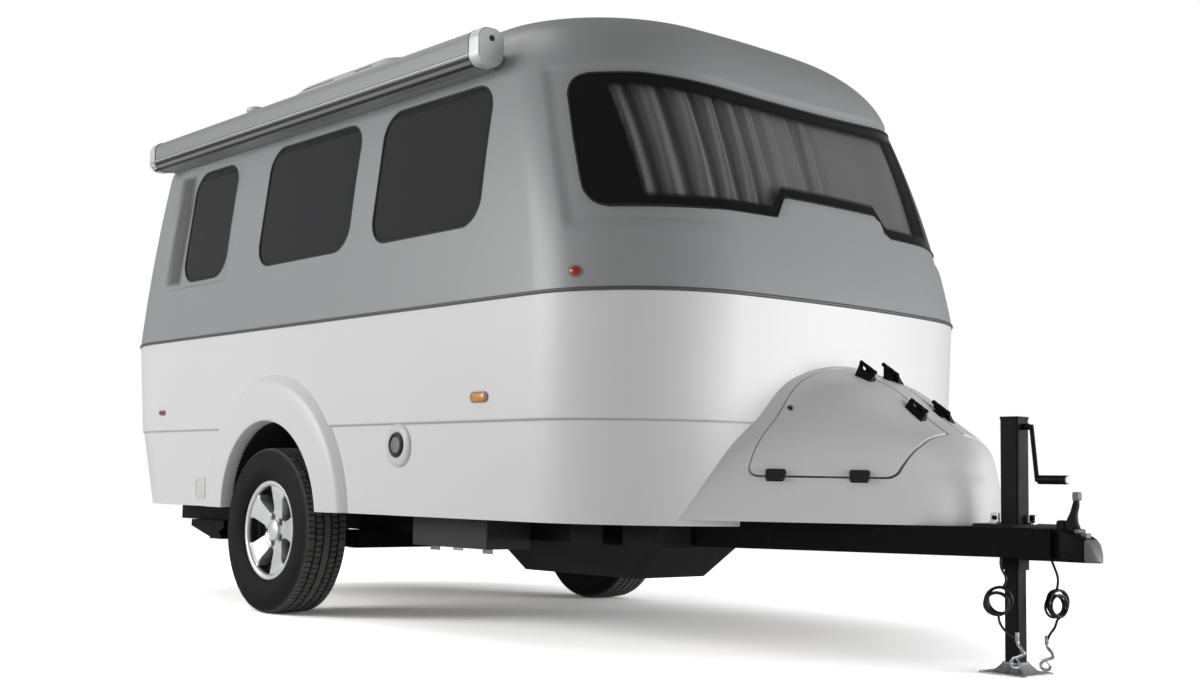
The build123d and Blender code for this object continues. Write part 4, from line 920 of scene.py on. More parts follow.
def carve(mesh: bpy.types.Mesh, cutters: Sequence[Form], keep_inside: bool = False) -> bpy.types.Mesh:
    """Cut closed forms out of a closed mesh, or keep only what lies inside one of them.

    Args:
        mesh: The mesh to cut.
        cutters: Closed forms; with keep_inside there is one.
        keep_inside: Keep the common part instead of the rest.

    Returns:
        The cut mesh, with the old mesh's materials.
    """
    work = linked("work", mesh)
    tools = []
    for number, cutter in enumerate(cutters):
        tool = linked(f"tool_{number}", cutter.mesh(f"tool_{number}", []))
        tools.append(tool)
        step = work.modifiers.new("Cut", "BOOLEAN")
        step.operation = "INTERSECT" if keep_inside else "DIFFERENCE"
        step.solver = "EXACT"
        step.object = tool
    graph = bpy.context.evaluated_depsgraph_get()
    cut = bpy.data.meshes.new_from_object(work.evaluated_get(graph))
    cut.name = mesh.name
    for leftover in [work] + tools:
        bpy.data.objects.remove(leftover)
    return cut


# ------------------------------------------------------------------ the moulded hull

EAVE = 2.0156
RISE = 0.2943


@dataclass(frozen=True)
class HullForm:
    """The hull's surface as a formula of a place round it and a height.

    The place c runs from the nose's middle (0) through the bow arc (1), the corner (2), the straight side (3) and the
    tail corner (4) to the tail's middle (5). The height h is z up to the eave, then one more unit for the roof's
    rounded edge and one more for its crown.
    """

    bow: float = 4.2
    wall: float = 0.03
    belt: float = 1.2
    crease: float = 0.776
    crease_step: float = 0.007
    sill: float = 0.43
    side_length: float = 2.6

    def row(self, h: np.ndarray) -> tuple[np.ndarray, ...]:
        """Half width, nose x, nose corner radius, tail x, tail corner radius and z at a height.

        Below the belt each runs straight between the sill, crease and belt; above it each is a quadratic of the rise
        from the belt; at the roof's edge each follows a quarter ellipse; over the crown all draw in to the spine.

        Args:
            h: Heights.

        Returns:
            Those six, each in the heights' shape.
        """
        z = np.minimum(h, EAVE)
        rise = np.maximum(z - self.belt, 0.0)
        crease, level, keys = self.crease, np.minimum(z, self.belt), (self.sill, self.crease, self.belt)
        low = np.interp(level, keys, (0.963, 0.978, 0.984))
        width = low - self.crease_step * (1 - smooth(crease - 0.012, crease, z)) - 0.0796 * rise - 0.0408 * rise**2
        nose = np.interp(level, keys, (1.535, 1.56, 1.577)) - 0.1642 * rise - 0.1787 * rise**2
        tail = np.interp(level, keys, (-2.41, -2.485, -2.51)) + 0.0581 * rise + 0.0524 * rise**2
        nose_radius = 0.53 + 0.0425 * rise
        tail_radius = np.interp(level, keys, (0.68, 0.64, 0.6)) - 0.0275 * rise
        tilt = np.clip(h - EAVE, 0.0, 1.0) * np.pi / 2
        up, draw = RISE * np.sin(tilt), 1 - np.cos(tilt)
        width = width - 0.2941 * draw - 0.146 * up
        nose = nose - 0.426 * draw - 0.456 * up
        tail = tail + 0.426 * draw + 0.144 * up
        nose_radius, tail_radius = nose_radius - 0.147 * draw, tail_radius - 0.147 * draw
        crown = np.clip(h - EAVE - 1, 0.0, 1.0)
        keep = 1 - 0.96 * crown
        z = z + up + 0.027 * crown * crown * (3 - 2 * crown)
        nose = 0.2 + (nose - 0.2) * keep
        tail = -1.4 + (tail + 1.4) * keep
        return width * keep, nose, nose_radius * keep, tail, tail_radius * keep, z

    def _bow_end(self, width: np.ndarray, radius: np.ndarray) -> tuple[np.ndarray, np.ndarray]:
        """How far back the bow's centre lies from the corner's, and the angle at which bow and corner touch."""
        reach = np.sqrt((self.bow - radius) ** 2 - (width - radius) ** 2)
        return reach, np.arctan2(width - radius, reach)

    def _lengths(self, width: np.ndarray, radius: np.ndarray) -> tuple[np.ndarray, np.ndarray]:
        """Lengths of the bow's arc and the corner's: each radius times its angle."""
        _, start = self._bow_end(width, radius)
        return self.bow * start, radius * (np.pi / 2 - start)

    def place(self, c: np.ndarray, h: np.ndarray, way: float = 1.0) -> np.ndarray:
        """Points of the surface.

        Args:
            c: Places round the hull, 0 to 5.
            h: Heights; both broadcast.
            way: 1 for the left side, -1 for the right.

        Returns:
            Points, with 3 as the last length.
        """
        c, h = np.broadcast_arrays(c, h)
        width, nose, nose_radius, tail, tail_radius, z = self.row(h)
        x, y = np.zeros_like(z), np.zeros_like(z)
        centres = []
        for end, apex, radius, turn in ((1, nose, nose_radius, 0), (-1, tail, tail_radius, 5)):
            reach, start = self._bow_end(width, radius)
            centre = apex - end * self.bow + end * reach
            centres.append(centre)
            step = np.abs(c - turn)
            bow_angle = np.clip(step, 0, 1) * start
            corner_angle = start + np.clip(step - 1, 0, 1) * (np.pi / 2 - start)
            on_bow, on_corner = step <= 1, (step > 1) & (step <= 2)
            x = np.where(on_bow, apex - end * self.bow * (1 - np.cos(bow_angle)), x)
            y = np.where(on_bow, self.bow * np.sin(bow_angle), y)
            x = np.where(on_corner, centre + end * radius * np.cos(corner_angle), x)
            y = np.where(on_corner, width - radius + radius * np.sin(corner_angle), y)
        straight = (c > 2) & (c < 3)
        x = np.where(straight, centres[0] + (c - 2) * (centres[1] - centres[0]), x)
        y = np.where(straight, width, y)
        return np.stack((x, way * y, z), -1)

    def normal(self, c: np.ndarray, h: np.ndarray, way: float = 1.0) -> np.ndarray:
        """Outward unit normals: the cross product of the surface's steps along c and along h.

        Args:
            c: Places round the hull.
            h: Heights.
            way: 1 for the left side, -1 for the right.

        Returns:
            Unit vectors, shape (..., 3).
        """
        c, h = np.broadcast_arrays(np.asarray(c, float), np.asarray(h, float))
        step = 1e-4
        along = self.place(np.minimum(c + step, 5), h, way) - self.place(np.maximum(c - step, 0), h, way)
        up = self.place(c, h + step, way) - self.place(c, h - step, way)
        return unit(way * np.cross(along, up))

    def at_x(self, x: np.ndarray, h: np.ndarray) -> np.ndarray:
        """The place c of an x on the straight side.

        Args:
            x: Places along x.
            h: Heights.

        Returns:
            The places c.
        """
        width, nose, nose_radius, tail, tail_radius, _ = self.row(h)
        front = nose - self.bow + self._bow_end(width, nose_radius)[0]
        back = tail + self.bow - self._bow_end(width, tail_radius)[0]
        return 2 + (front - x) / (front - back)

    def at_arc(self, arc: np.ndarray, h: np.ndarray, end: int = 1) -> np.ndarray:
        """The place c at a length of arc round from the nose's middle (end 1) or the tail's (end -1).

        Args:
            arc: Lengths of arc.
            h: Heights.
            end: 1 for the nose, -1 for the tail.

        Returns:
            The places c.
        """
        width, _, nose_radius, _, tail_radius, _ = self.row(h)
        bow_length, corner_length = self._lengths(width, nose_radius if end > 0 else tail_radius)
        step = np.where(arc < bow_length, arc / bow_length, 1 + (arc - bow_length) / corner_length)
        step = np.where(step > 2, 2 + (arc - bow_length - corner_length) / self.side_length, step)
        return step if end > 0 else 5 - step

    def arc_at(self, c: np.ndarray, h: np.ndarray) -> np.ndarray:
        """The length of arc from the nose's middle to a place c on the nose or its corner.

        Args:
            c: Places round the hull.
            h: Heights.

        Returns:
            The lengths.
        """
        width, _, radius, _, _, _ = self.row(h)
        bow_length, corner_length = self._lengths(width, radius)
        past = np.maximum(c - 2, 0) * self.side_length
        return np.minimum(c, 1) * bow_length + np.clip(c - 1, 0, 1) * corner_length + past


HULL = HullForm()


@dataclass(frozen=True)
class SideOpening:
    """A rounded rectangle in a side wall, seen from the side."""

    x: float
    z: float
    width: float
    height: float
    corner: float
    recess: float = 0.0

    def rows(self, margin: float, across: int, corner_steps: int = 7, sides: int = 14) -> tuple[np.ndarray, np.ndarray]:
        """A grid of (x, z) that fills the outline.

        Each row is as long as the outline is wide at its height, which in the corners is the width less the corner
        radius times one less the cosine of the turn.

        Args:
            margin: How far the outline is drawn in.
            across: Steps along each row.
            corner_steps: Rows through a corner.
            sides: Rows between the corners.

        Returns:
            x and z, each of shape (rows, across + 1).
        """
        half_width, half_height = self.width / 2 - margin, self.height / 2 - margin
        radius = max(self.corner - margin, 0.004)
        turn = np.linspace(0, np.pi / 2, corner_steps + 1)
        rise = radius * (1 - np.cos(turn))
        foot = -half_height + rise
        z = np.concatenate((foot, np.linspace(foot[-1], -foot[-1], sides + 1)[1:-1], -foot[::-1]))
        draw = radius * (1 - np.sin(turn))
        inset = np.concatenate((draw, np.zeros(sides - 1), draw[::-1]))
        share = np.linspace(-1, 1, across + 1)
        x = self.x + share[None, :] * (half_width - inset)[:, None]
        return x, np.repeat((self.z + z)[:, None], across + 1, 1)

    def outline(self, margin: float = 0.0, steps: int = 8) -> np.ndarray:
        """The outline's points as (x, z), drawn in by a margin."""
        radius = max(self.corner - margin, 0.004)
        return rounded_outline(self.width - 2 * margin, self.height - 2 * margin, radius, steps) + (self.x, self.z)

    def depth(self, points: np.ndarray) -> np.ndarray:
        """How far inside the outline points lie, seen from the side, negative outside it.

        It is the rounded rectangle's distance: the radius less the length by which a point passes the inner corner.

        Args:
            points: Points, shape (..., 3).

        Returns:
            Depths in metres.
        """
        past = np.abs(points[..., [0, 2]] - (self.x, self.z)) - (self.width / 2, self.height / 2) + self.corner
        outside = np.linalg.norm(np.maximum(past, 0), axis=-1) + np.minimum(past.max(-1), 0)
        return self.corner - outside


DOOR = SideOpening(0.305, 1.225, 0.67, 1.45, 0.09)
DOOR_LEAF = SideOpening(0.305, 1.225, 0.65, 1.43, 0.08)
DOOR_PANE = SideOpening(0.305, 1.695, 0.4, 0.44, 0.07)
FRONT_SIDE_PANE = SideOpening(0.321, 1.734, 0.708, 0.532, 0.105)
MIDDLE_PANE = SideOpening(-0.567, 1.734, 0.742, 0.532, 0.105)
REAR_PANE = SideOpening(-1.47, 1.734, 0.42, 0.532, 0.105, 0.014)
SIDE_PANES: dict[Side, tuple[SideOpening, ...]] = {
    Side.LEFT: (MIDDLE_PANE, REAR_PANE),
    Side.RIGHT: (FRONT_SIDE_PANE, MIDDLE_PANE, REAR_PANE),
}


@dataclass(frozen=True)
class FrontOpening:
    """The wide front window, which wraps round both nose corners and has a notch in its foot."""

    bottom: float = 1.475
    top: float = 1.973
    crown: float = 1.93
    crown_half: float = 0.68
    notch: tuple[float, float, float] = (0.305, 0.25, 1.556)
    ends: tuple[float, float] = (1.19, 1.0)
    corner: float = 0.085

    def end_arc(self, z: np.ndarray) -> np.ndarray:
        """Arc from the nose's middle to the window's end: where the hull reaches the end's x, by fine lookup.

        Args:
            z: Heights.

        Returns:
            Lengths of arc.
        """
        end_x = np.interp(z, (self.bottom, self.top), self.ends)
        c = np.linspace(1.0, 2.0, 400)
        table = HULL.place(c[None, :], np.ravel(z)[:, None])[..., 0]
        index = np.argmin(np.abs(table - np.ravel(end_x)[:, None]), axis=1)
        return HULL.arc_at(c[index], np.ravel(z)).reshape(np.shape(z))

    def low_edge(self, y: np.ndarray) -> np.ndarray:
        """Height of the foot at a y: level, but up over the notch between its two half widths."""
        foot, head, height = self.notch
        return self.bottom + (height - self.bottom) * (1 - np.clip((np.abs(y) - head) / (foot - head), 0, 1))

    def high_edge(self, y: np.ndarray) -> np.ndarray:
        """Height of the head at a y: an arc through the crown and the ends of its half width."""
        share = np.clip(np.abs(y) / self.crown_half, 0, 1)
        return self.crown + (self.top - self.crown) * share**2

    def grid(self, margin: float, columns: int = 90, rows: int = 34) -> tuple[np.ndarray, np.ndarray, np.ndarray]:
        """A grid over the window from its right end to its left.

        Args:
            margin: How far its outline is drawn in.
            columns: Columns on each side of the middle.
            rows: Rows.

        Returns:
            Arc, height and sign of y, each of shape (rows, 2 * columns + 1).
        """
        share = np.linspace(0, 1, rows)
        share = 0.5 - 0.5 * np.cos(np.pi * (0.12 + 0.76 * share))
        share = (share - share[0]) / (share[-1] - share[0])
        level = self.bottom + margin + share * (self.top - self.bottom - 2 * margin)
        radius = max(self.corner - margin, 0.01)
        near = np.minimum(level - level[0], level[-1] - level)
        inset = radius - np.sqrt(np.maximum(radius**2 - np.maximum(radius - near, 0) ** 2, 0))
        end = self.end_arc(level) - margin - inset
        broad = columns * 2 // 3
        near, far = np.linspace(0, 0.62, broad, endpoint=False), np.linspace(0.62, 1, columns + 1 - broad)
        across = np.concatenate((near, far))
        arc = across[None, :] * end[:, None]
        y = HULL.place(HULL.at_arc(arc, level[:, None]), level[:, None])[..., 1]
        low, high = self.low_edge(y) + margin, self.high_edge(y) - margin
        height = low + share[:, None] * (high - low)
        arc = np.concatenate((arc[:, :0:-1], arc), 1)
        height = np.concatenate((height[:, :0:-1], height), 1)
        sign = np.concatenate((-np.ones(columns), np.ones(columns + 1)))[None, :] * np.ones((rows, 1))
        return arc, height, sign

    def surface(self, arc: np.ndarray, height: np.ndarray, sign: np.ndarray, depth: Number) -> np.ndarray:
        """Points on the hull at those arcs and heights, drawn in by a depth.

        Args:
            arc: Lengths of arc from the nose's middle.
            height: Heights.
            sign: The sign of each point's y.
            depth: The depth in metres, one for all or one for each point.

        Returns:
            Points, shape (..., 3).
        """
        c = HULL.at_arc(arc, height)
        point, normal = HULL.place(c, height), HULL.normal(c, height)
        point = point - normal * np.asarray(depth)[..., None]
        return point * np.stack((np.ones_like(sign), sign, np.ones_like(sign)), -1)


FRONT = FrontOpening()
REAR_WINDOW = SideOpening(0.0, 1.7, 1.0, 0.46, 0.11)


def recess(points: np.ndarray, c: np.ndarray, h: np.ndarray) -> np.ndarray:
    """How far the skin is drawn in at its points: a shallow bed round the front window and one at the rear side pane.

    The bed round the front window fades over a few centimetres beyond the window's ends, head and foot. The rear
    pane's bed is a rounded rectangle with steep edges and a long slope at its rear.

    Args:
        points: Points of the hull, shape (..., 3).
        c: Their places round the hull.
        h: Their heights.

    Returns:
        Depths in metres.
    """
    flat = np.minimum(h, EAVE)
    arc = HULL.arc_at(np.minimum(c, 2.3), flat)
    y = points[..., 1]
    level = np.linspace(1.3, EAVE, 40)
    end = np.interp(flat, level, FRONT.end_arc(np.clip(level, FRONT.bottom, FRONT.top)))
    beyond_end = 1 - smooth(0.058, 0.088, arc - end)
    below = 1 - smooth(0.038, 0.062, FRONT.bottom - flat)
    above = 1 - smooth(0.012, 0.04, flat - FRONT.high_edge(y))
    side_only = smooth(0.45, 0.78, np.abs(y))
    front = 0.01 * beyond_end * below * above * np.maximum(side_only, smooth(0.0, 0.012, flat - FRONT.low_edge(y)))
    front = np.where((c < 2.3) & (h > 1.35) & (h < EAVE + 0.3), front, 0.0)
    x, z = points[..., 0], points[..., 2]
    upright = smooth(1.436, 1.45, z) * (1 - smooth(2.012, 2.024, z))
    slope = smooth(-1.86, -1.7, x) * (1 - smooth(-1.24, -1.228, x))
    rear = np.where((h > 1.3) & (h < EAVE + 0.6), REAR_PANE.recess * upright * slope, 0.0)
    return np.maximum(front, rear)


@dataclass
class BodyShells:
    """The moulded lower and upper shells, their lining, the belt trim and the wheel arches' cuts."""

    arch: tuple[float, float, float] = (-0.735, 0.395, 0.4)
    belt_half: float = 0.007
    belt_proud: float = 0.006
    cut_span: tuple[float, float] = (0.7, 1.25)
    fit: float = 0.001

    def columns(self) -> np.ndarray:
        """Places round one side, closer at the nose corner and beside the rear pane."""
        return spaced((0, 1, 16), (1, 2, 54), (2, 2.55, 34), (2.55, 2.82, 26), (2.82, 3.0, 16), (3, 4, 30), (4, 5, 12))

    def skin(self, h: np.ndarray, depth: float, beds: bool) -> np.ndarray:
        """Full rings of the hull at some heights, drawn in by a depth and, if beds is set, by the recesses.

        Args:
            h: Heights.
            depth: The depth in metres.
            beds: Whether the recesses draw it in too.

        Returns:
            Points, shape (heights, places, 3).
        """
        sides = []
        for way in (1.0, -1.0):
            c = self.columns()[None, :] if way > 0 else self.columns()[None, -2:0:-1]
            point, normal = HULL.place(c, h[:, None], way), HULL.normal(c, h[:, None], way)
            inward = depth + (recess(point, *np.broadcast_arrays(c, h[:, None])) if beds else 0.0)
            inward = np.asarray(inward) * np.ones(point.shape[:-1])
            sides.append(point - normal * inward[..., None])
        return np.concatenate(sides, 1)

    def scoop(self, points: np.ndarray) -> np.ndarray:
        """Nearly 1 on the slope behind the rear pane, which takes painted shade, 0 elsewhere.

        Args:
            points: Points, shape (..., 3).

        Returns:
            A number for each point.
        """
        x, z = points[..., 0], points[..., 2]
        upright = smooth(1.452, 1.48, z) * (1 - smooth(1.98, 2.008, z))
        return 0.9 * upright * smooth(-1.835, -1.8, x) * (1 - smooth(-1.705, -1.69, x)) * (np.abs(points[..., 1]) > 0.8)

    def groove(self, points: np.ndarray) -> np.ndarray:
        """Painted shadow line just under the crease: a soft dark line that fades by a bell of the height's distance
        from the crease.
        """
        return 0.55 * np.exp(-(((points[..., 2] - HULL.crease + 0.007) / 0.0035) ** 2))

    def shell(self, heights: np.ndarray, inner_heights: np.ndarray, closed_top: bool) -> Form:
        """A wall with an outer and an inner skin, joined at its foot and, unless it has a top, at its head.

        Args:
            heights: The outer skin's heights.
            inner_heights: The inner skin's heights.
            closed_top: Whether it has a top.

        Returns:
            The wall.
        """
        form = Form()
        points = self.skin(heights, 0.0, True)
        # The outer skin carries two masks of painted shade: the slope behind the rear pane and a line under the crease.
        outer = form.grid(points, 0, True, scoop=self.scoop(points), groove=self.groove(points))
        inner = form.grid(self.skin(inner_heights, HULL.wall, False), 1, True)
        form.weave(np.stack((outer[0], inner[0])), 0, True)
        if closed_top:
            form.cap(outer[-1])
            form.cap(inner[-1], 1)
        else:
            form.weave(np.stack((outer[-1], inner[-1])), 0, True)
        return form

    def wall_cut(self, outline: np.ndarray, side: Side) -> Form:
        """An outline's prism, out through a side wall."""
        return Form().prism(outline, *sorted((side.value * self.cut_span[0], side.value * self.cut_span[1])))

    def arch_cut(self, side: Side) -> Form:
        """The wheel arch's prism: a half circle over a skirt.

        Args:
            side: The side.

        Returns:
            The prism.
        """
        x, z, radius = self.arch
        angle = np.linspace(0, np.pi, 65)
        round_top = np.stack((x + radius * np.cos(angle), z + radius * np.sin(angle)), -1)
        skirt = np.array(((x - radius, 0.1), (x + radius, 0.1)))
        return self.wall_cut(np.concatenate((round_top, skirt)), side)

    def build(self) -> None:
        """Make both shells, with their openings cut, and the belt trim."""
        low = spaced((0.43, 0.76, 12), (0.76, 0.782, 8), (0.782, 1.2, 14))
        lower = self.shell(low, spaced((0.43, 1.2, 8)), False).mesh("body_lower_shell", (WHITE_SKIN, LINING))
        door_cut = self.wall_cut(DOOR.outline(), Side.LEFT)
        lower = carve(lower, [self.arch_cut(side) for side in Side] + [door_cut])
        settle(lower, "body_lower_shell", ("lower_shell",))

        high = spaced(
            (1.2, 1.425, 8), (1.425, 1.5, 13), (1.5, 1.9, 24), (1.9, EAVE, 16), (EAVE, EAVE + 1, 26),
            (EAVE + 1, EAVE + 2, 5),
        )
        inside = spaced((1.2, EAVE, 12), (EAVE, EAVE + 1, 10), (EAVE + 1, EAVE + 2, 3))
        upper = self.shell(high, inside, True).mesh("body_upper_shell", (GREY_SKIN, LINING))
        rear_cut = Form().prism(REAR_WINDOW.outline(self.fit), -2.65, -2.2, "x")
        cuts = [self.front_cut(), rear_cut, door_cut]
        cuts += [self.wall_cut(pane.outline(self.fit), side) for side, panes in SIDE_PANES.items() for pane in panes]
        settle(carve(upper, cuts), "body_upper_shell", ("upper_shell",))
        self.belt()

    def front_cut(self) -> Form:
        """The front window's space, as a thick plate through the wall.

        Returns:
            The plate.
        """
        grid = FRONT.grid(self.fit)
        form = Form()
        form.slab(FRONT.surface(*grid, -0.02), FRONT.surface(*grid, 0.055))
        return form

    def belt(self) -> None:
        """The belt trim: a half-round moulding carried round the hull at the belt, left out at the door."""
        angle = np.linspace(-np.pi / 2, np.pi / 2, 9)
        bead = np.stack((self.belt_proud * np.cos(angle), self.belt_half * np.sin(angle)), -1)
        bead = np.concatenate((bead, ((-0.003, self.belt_half), (-0.003, -self.belt_half))))
        c = np.concatenate((self.columns(), self.columns()[-2:0:-1]))
        way = np.concatenate((np.ones(len(self.columns())), -np.ones(len(self.columns()) - 2)))
        h = np.full(len(c), HULL.belt - self.belt_half)
        middle = np.where(way[:, None] > 0, HULL.place(c, h), HULL.place(c, h, -1.0))
        normal = np.where(way[:, None] > 0, HULL.normal(c, h), HULL.normal(c, h, -1.0))
        hull = middle[:, None] + normal[:, None] * bead[None, :, :1] + np.array((0, 0, 1.0)) * bead[None, :, 1:]
        place = np.arange(len(c))
        rear, front = DOOR.x - DOOR.width / 2, DOOR.x + DOOR.width / 2
        gap = (way > 0) & (middle[:, 0] > rear) & (middle[:, 0] < front)
        order = np.concatenate((place[place > place[gap].max()], place[place < place[gap].min()]))
        ends = np.stack([hull[order[0]]] * 2)
        ends[..., 0] = np.array((rear, front))[:, None]
        form = Form()
        form.tube(np.concatenate((ends[:1], hull[order], ends[1:])))
        form.piece("belt_moulding", (TRIM,), "trim_grey", ("belt_trim",))
        door = Form()
        strip = np.stack([hull[order[0]]] * 12)
        half = DOOR_LEAF.width / 2
        strip[:, :, 0] = np.linspace(DOOR_LEAF.x - half, DOOR_LEAF.x + half, 12)[:, None]
        door.tube(strip)
        door.piece("door_belt_moulding", (TRIM,), "trim_grey", body="door")


@dataclass
class Glazing:
    """Panes and their seals, all set a little below the skin."""

    depth: float = 0.003
    thickness: float = 0.008
    frit: float = 0.03
    front_frit: float = 0.038
    blank_ends: tuple[tuple[float, float], ...] = ((-1.0, 0.768), (1.0, 0.6))
    seal: float = 0.007
    fit: float = 0.003
    front_depth: float = 0.007
    seal_section: tuple[tuple[float, float], ...] = (
        (-0.0015, -0.006), (-0.0015, 0.0008), (0.002, 0.002), (0.0055, 0.0008), (0.007, -0.002), (0.007, -0.006),
    )

    def side_points(self, opening: SideOpening, side: Side, depth: float) -> np.ndarray:
        """Points of the hull behind an opening's rows, drawn in by a depth and the opening's own recess.

        Args:
            opening: The opening.
            side: The side.
            depth: The depth in metres.

        Returns:
            Points, shape (rows, columns, 3).
        """
        x, z = opening.rows(self.fit, 36)
        c = HULL.at_x(x, z)
        return HULL.place(c, z, side.value) - HULL.normal(c, z, side.value) * (depth + opening.recess)

    def side_pane(self, opening: SideOpening, side: Side, name: str, body: str, nodes: Sequence[str]) -> None:
        """One side pane with its black edge band, and the rubber seal round it.

        Args:
            opening: The opening it fills.
            side: The side it is on.
            name: The pane's name.
            body: The body it rides on.
            nodes: Nodes it stands for.
        """
        form = Form()
        front = self.side_points(opening, side, self.depth)
        back = self.side_points(opening, side, self.depth + self.thickness)
        band = 1 - smooth(self.frit * 0.3, self.frit * 0.3 + 0.004, opening.depth(front))
        form.slab(front, back, frit=band)
        form.piece(name, (SIDE_GLASS,), "tinted_glass", nodes, body=body)
        ring = opening.outline(0.0, 10)
        c = HULL.at_x(ring[:, 0], ring[:, 1])
        point = HULL.place(c, ring[:, 1], side.value)
        normal = HULL.normal(c, ring[:, 1], side.value)
        inner = opening.outline(self.seal, 10)
        inward = np.stack((inner[:, 0] - ring[:, 0], np.zeros(len(ring)), inner[:, 1] - ring[:, 1]), -1) / self.seal
        section = np.array(self.seal_section)
        lift = section[:, 1] - opening.recess
        trim = Form()
        trim.loop(point[:, None] + inward[:, None] * section[None, :, :1] + normal[:, None] * lift[None, :, None])
        trim.piece(f"{name}_seal", (SEAL,), "trim_grey", body=body)

    def front_pane(self) -> None:
        """The front window, black at its rim and wide black at its ends, and its seal."""
        arc, height, sign = FRONT.grid(self.fit)
        front = FRONT.surface(arc, height, sign, self.front_depth)
        back = FRONT.surface(arc, height, sign, self.front_depth + self.thickness)
        y = np.abs(front[..., 1])
        rim = np.minimum(height - FRONT.low_edge(y), FRONT.high_edge(y) - height)
        end = FRONT.end_arc(np.clip(height, FRONT.bottom, FRONT.top)) - arc
        band = np.maximum(1 - smooth(self.front_frit, self.front_frit + 0.006, rim), 1 - smooth(0.07, 0.08, end))
        for way, start in self.blank_ends:
            band = np.maximum(band, smooth(start, start + 0.012, way * front[..., 1]))
        form = Form()
        form.slab(front, back, frit=band)
        form.piece("front_pane", (FRONT_GLASS,), "tinted_glass", ("front_window",))
        outer, inner = FRONT.grid(0.0), FRONT.grid(self.seal)
        steps = ((outer, 0.013), (outer, 0.0032), (inner, 0.004), (inner, 0.013))
        lines = [FRONT.surface(*grid, depth) for grid, depth in steps]
        trim = Form()
        trim.loop(np.stack([rim_of(line) for line in lines], 1))
        trim.piece("front_pane_seal", (SEAL,), "trim_grey")

    def rear_pane(self) -> None:
        """The rear window: a rounded rectangle set into the tail's bow."""
        y, z = REAR_WINDOW.rows(self.fit, 40)
        c = HULL.at_arc(np.abs(y) * 1.0002, z, -1)
        front = HULL.place(c, z) - HULL.normal(c, z) * self.depth
        back = HULL.place(c, z) - HULL.normal(c, z) * (self.depth + self.thickness)
        front[..., 1], back[..., 1] = y, y
        form = Form()
        flat = np.stack((y, np.zeros_like(y), z), -1)
        form.slab(front, back, frit=1 - smooth(self.frit * 0.6, self.frit * 0.6 + 0.005, REAR_WINDOW.depth(flat)))
        form.piece("rear_pane", (SIDE_GLASS,), "tinted_glass", ("rear_window",))
        ring, inner = REAR_WINDOW.outline(0.0, 10), REAR_WINDOW.outline(self.seal, 10)
        rings = []
        for outline, lift in ((ring, -0.006), (ring, 0.002), (inner, 0.002), (inner, -0.006)):
            c = HULL.at_arc(np.abs(outline[:, 0]), outline[:, 1], -1)
            point = HULL.place(c, outline[:, 1]) + HULL.normal(c, outline[:, 1]) * lift
            point[:, 1] = outline[:, 0]
            rings.append(point)
        trim = Form()
        trim.loop(np.stack(rings, 1))
        trim.piece("rear_pane_seal", (SEAL,), "trim_grey")

    def build(self) -> None:
        """Make every pane."""
        self.front_pane()
        self.rear_pane()
        for side, panes in SIDE_PANES.items():
            for number, pane in enumerate(panes):
                nodes = (f"side_windows_{side.word}",) if number == 0 else ()
                self.side_pane(pane, side, f"side_pane_{side.word}_{number + 1}", "trailer", nodes)
        self.side_pane(DOOR_PANE, Side.LEFT, "door_pane", "door", ("door_window",))


@dataclass
class EntryDoor:
    """The door leaf, shaped to the hull, with its pane's cut, its lock and its hinges."""

    handle: tuple[float, float, float, float] = (0.04, 1.11, 0.07, 0.13)
    hinge_foot: Triple = (0.635, 1.0025, 0.95)
    hinge_head: Triple = (0.635, 0.9835, 1.45)
    barrel: tuple[float, float] = (0.008, 0.044)

    def build(self) -> None:
        """The leaf is two skins of the hull joined round the door's outline."""
        x, z = DOOR_LEAF.rows(0.0, 30, 8, 70)
        c = HULL.at_x(x, z)
        front, normal = HULL.place(c, z), HULL.normal(c, z)
        form = Form()
        places, back = form.add(front), form.add(front - normal * HULL.wall)
        belt = int(np.argmin(np.abs(z[:, 0] - HULL.belt)))
        form.weave(places[:belt + 1], 1)
        form.weave(places[belt:], 0)
        form.weave(back, 2)
        form.weave(np.stack((rim_of(places), rim_of(back))), 2, True)
        cut = Form().prism(DOOR_PANE.outline(0.001), 0.7, 1.2)
        leaf = carve(form.mesh("door_leaf", (GREY_SKIN, WHITE_SKIN, LINING)), [cut])
        settle(leaf, "door_leaf", ("entry_door",), body="door")
        self.fittings()

    def fittings(self) -> None:
        """A rounded lock plate with a raised paddle and a key barrel, and the leaf's half of two hinges."""
        x, z, width, height = self.handle
        skin = float(HULL.row(np.array(z))[0])
        form = Form()
        form.prism(rounded_outline(width, height, 0.014) + (x, z), skin - 0.012, skin + 0.006)
        form.prism(rounded_outline(width * 0.62, height * 0.5, 0.012) + (x, z + 0.015), skin + 0.004, skin + 0.013)
        form.turned(((0.01, 0.0), (0.01, 0.01), (0.006, 0.012)), (x, skin, z - 0.045), 20)
        form.piece("door_lock", (BLACK_PLASTIC_AND_PAINTED_SHADE,), "trim_grey", body="door", bevel=0.0015)
        hinge = Form()
        radius, length = self.barrel
        foot, head = np.array(self.hinge_foot), np.array(self.hinge_head)
        line = unit(head - foot)
        ring = at_place(circle(radius, 20), "z", 0.0)
        for end in (foot, head):
            start = end - line * (length + 0.003)
            middle = start[2] + length / 2
            hinge.tube(np.stack([start + ring + line * step for step in (0.0, length)]))
            leaf = rounded_outline(0.036, length, 0.006) + (foot[0] - 0.018, middle)
            hinge.prism(leaf, float(HULL.row(np.array(middle))[0]) - 0.004, start[1] + 0.004)
        hinge.piece("door_hinge_leaves", (BLACK_STEEL,), "chassis_black", body="door", bevel=0.001)


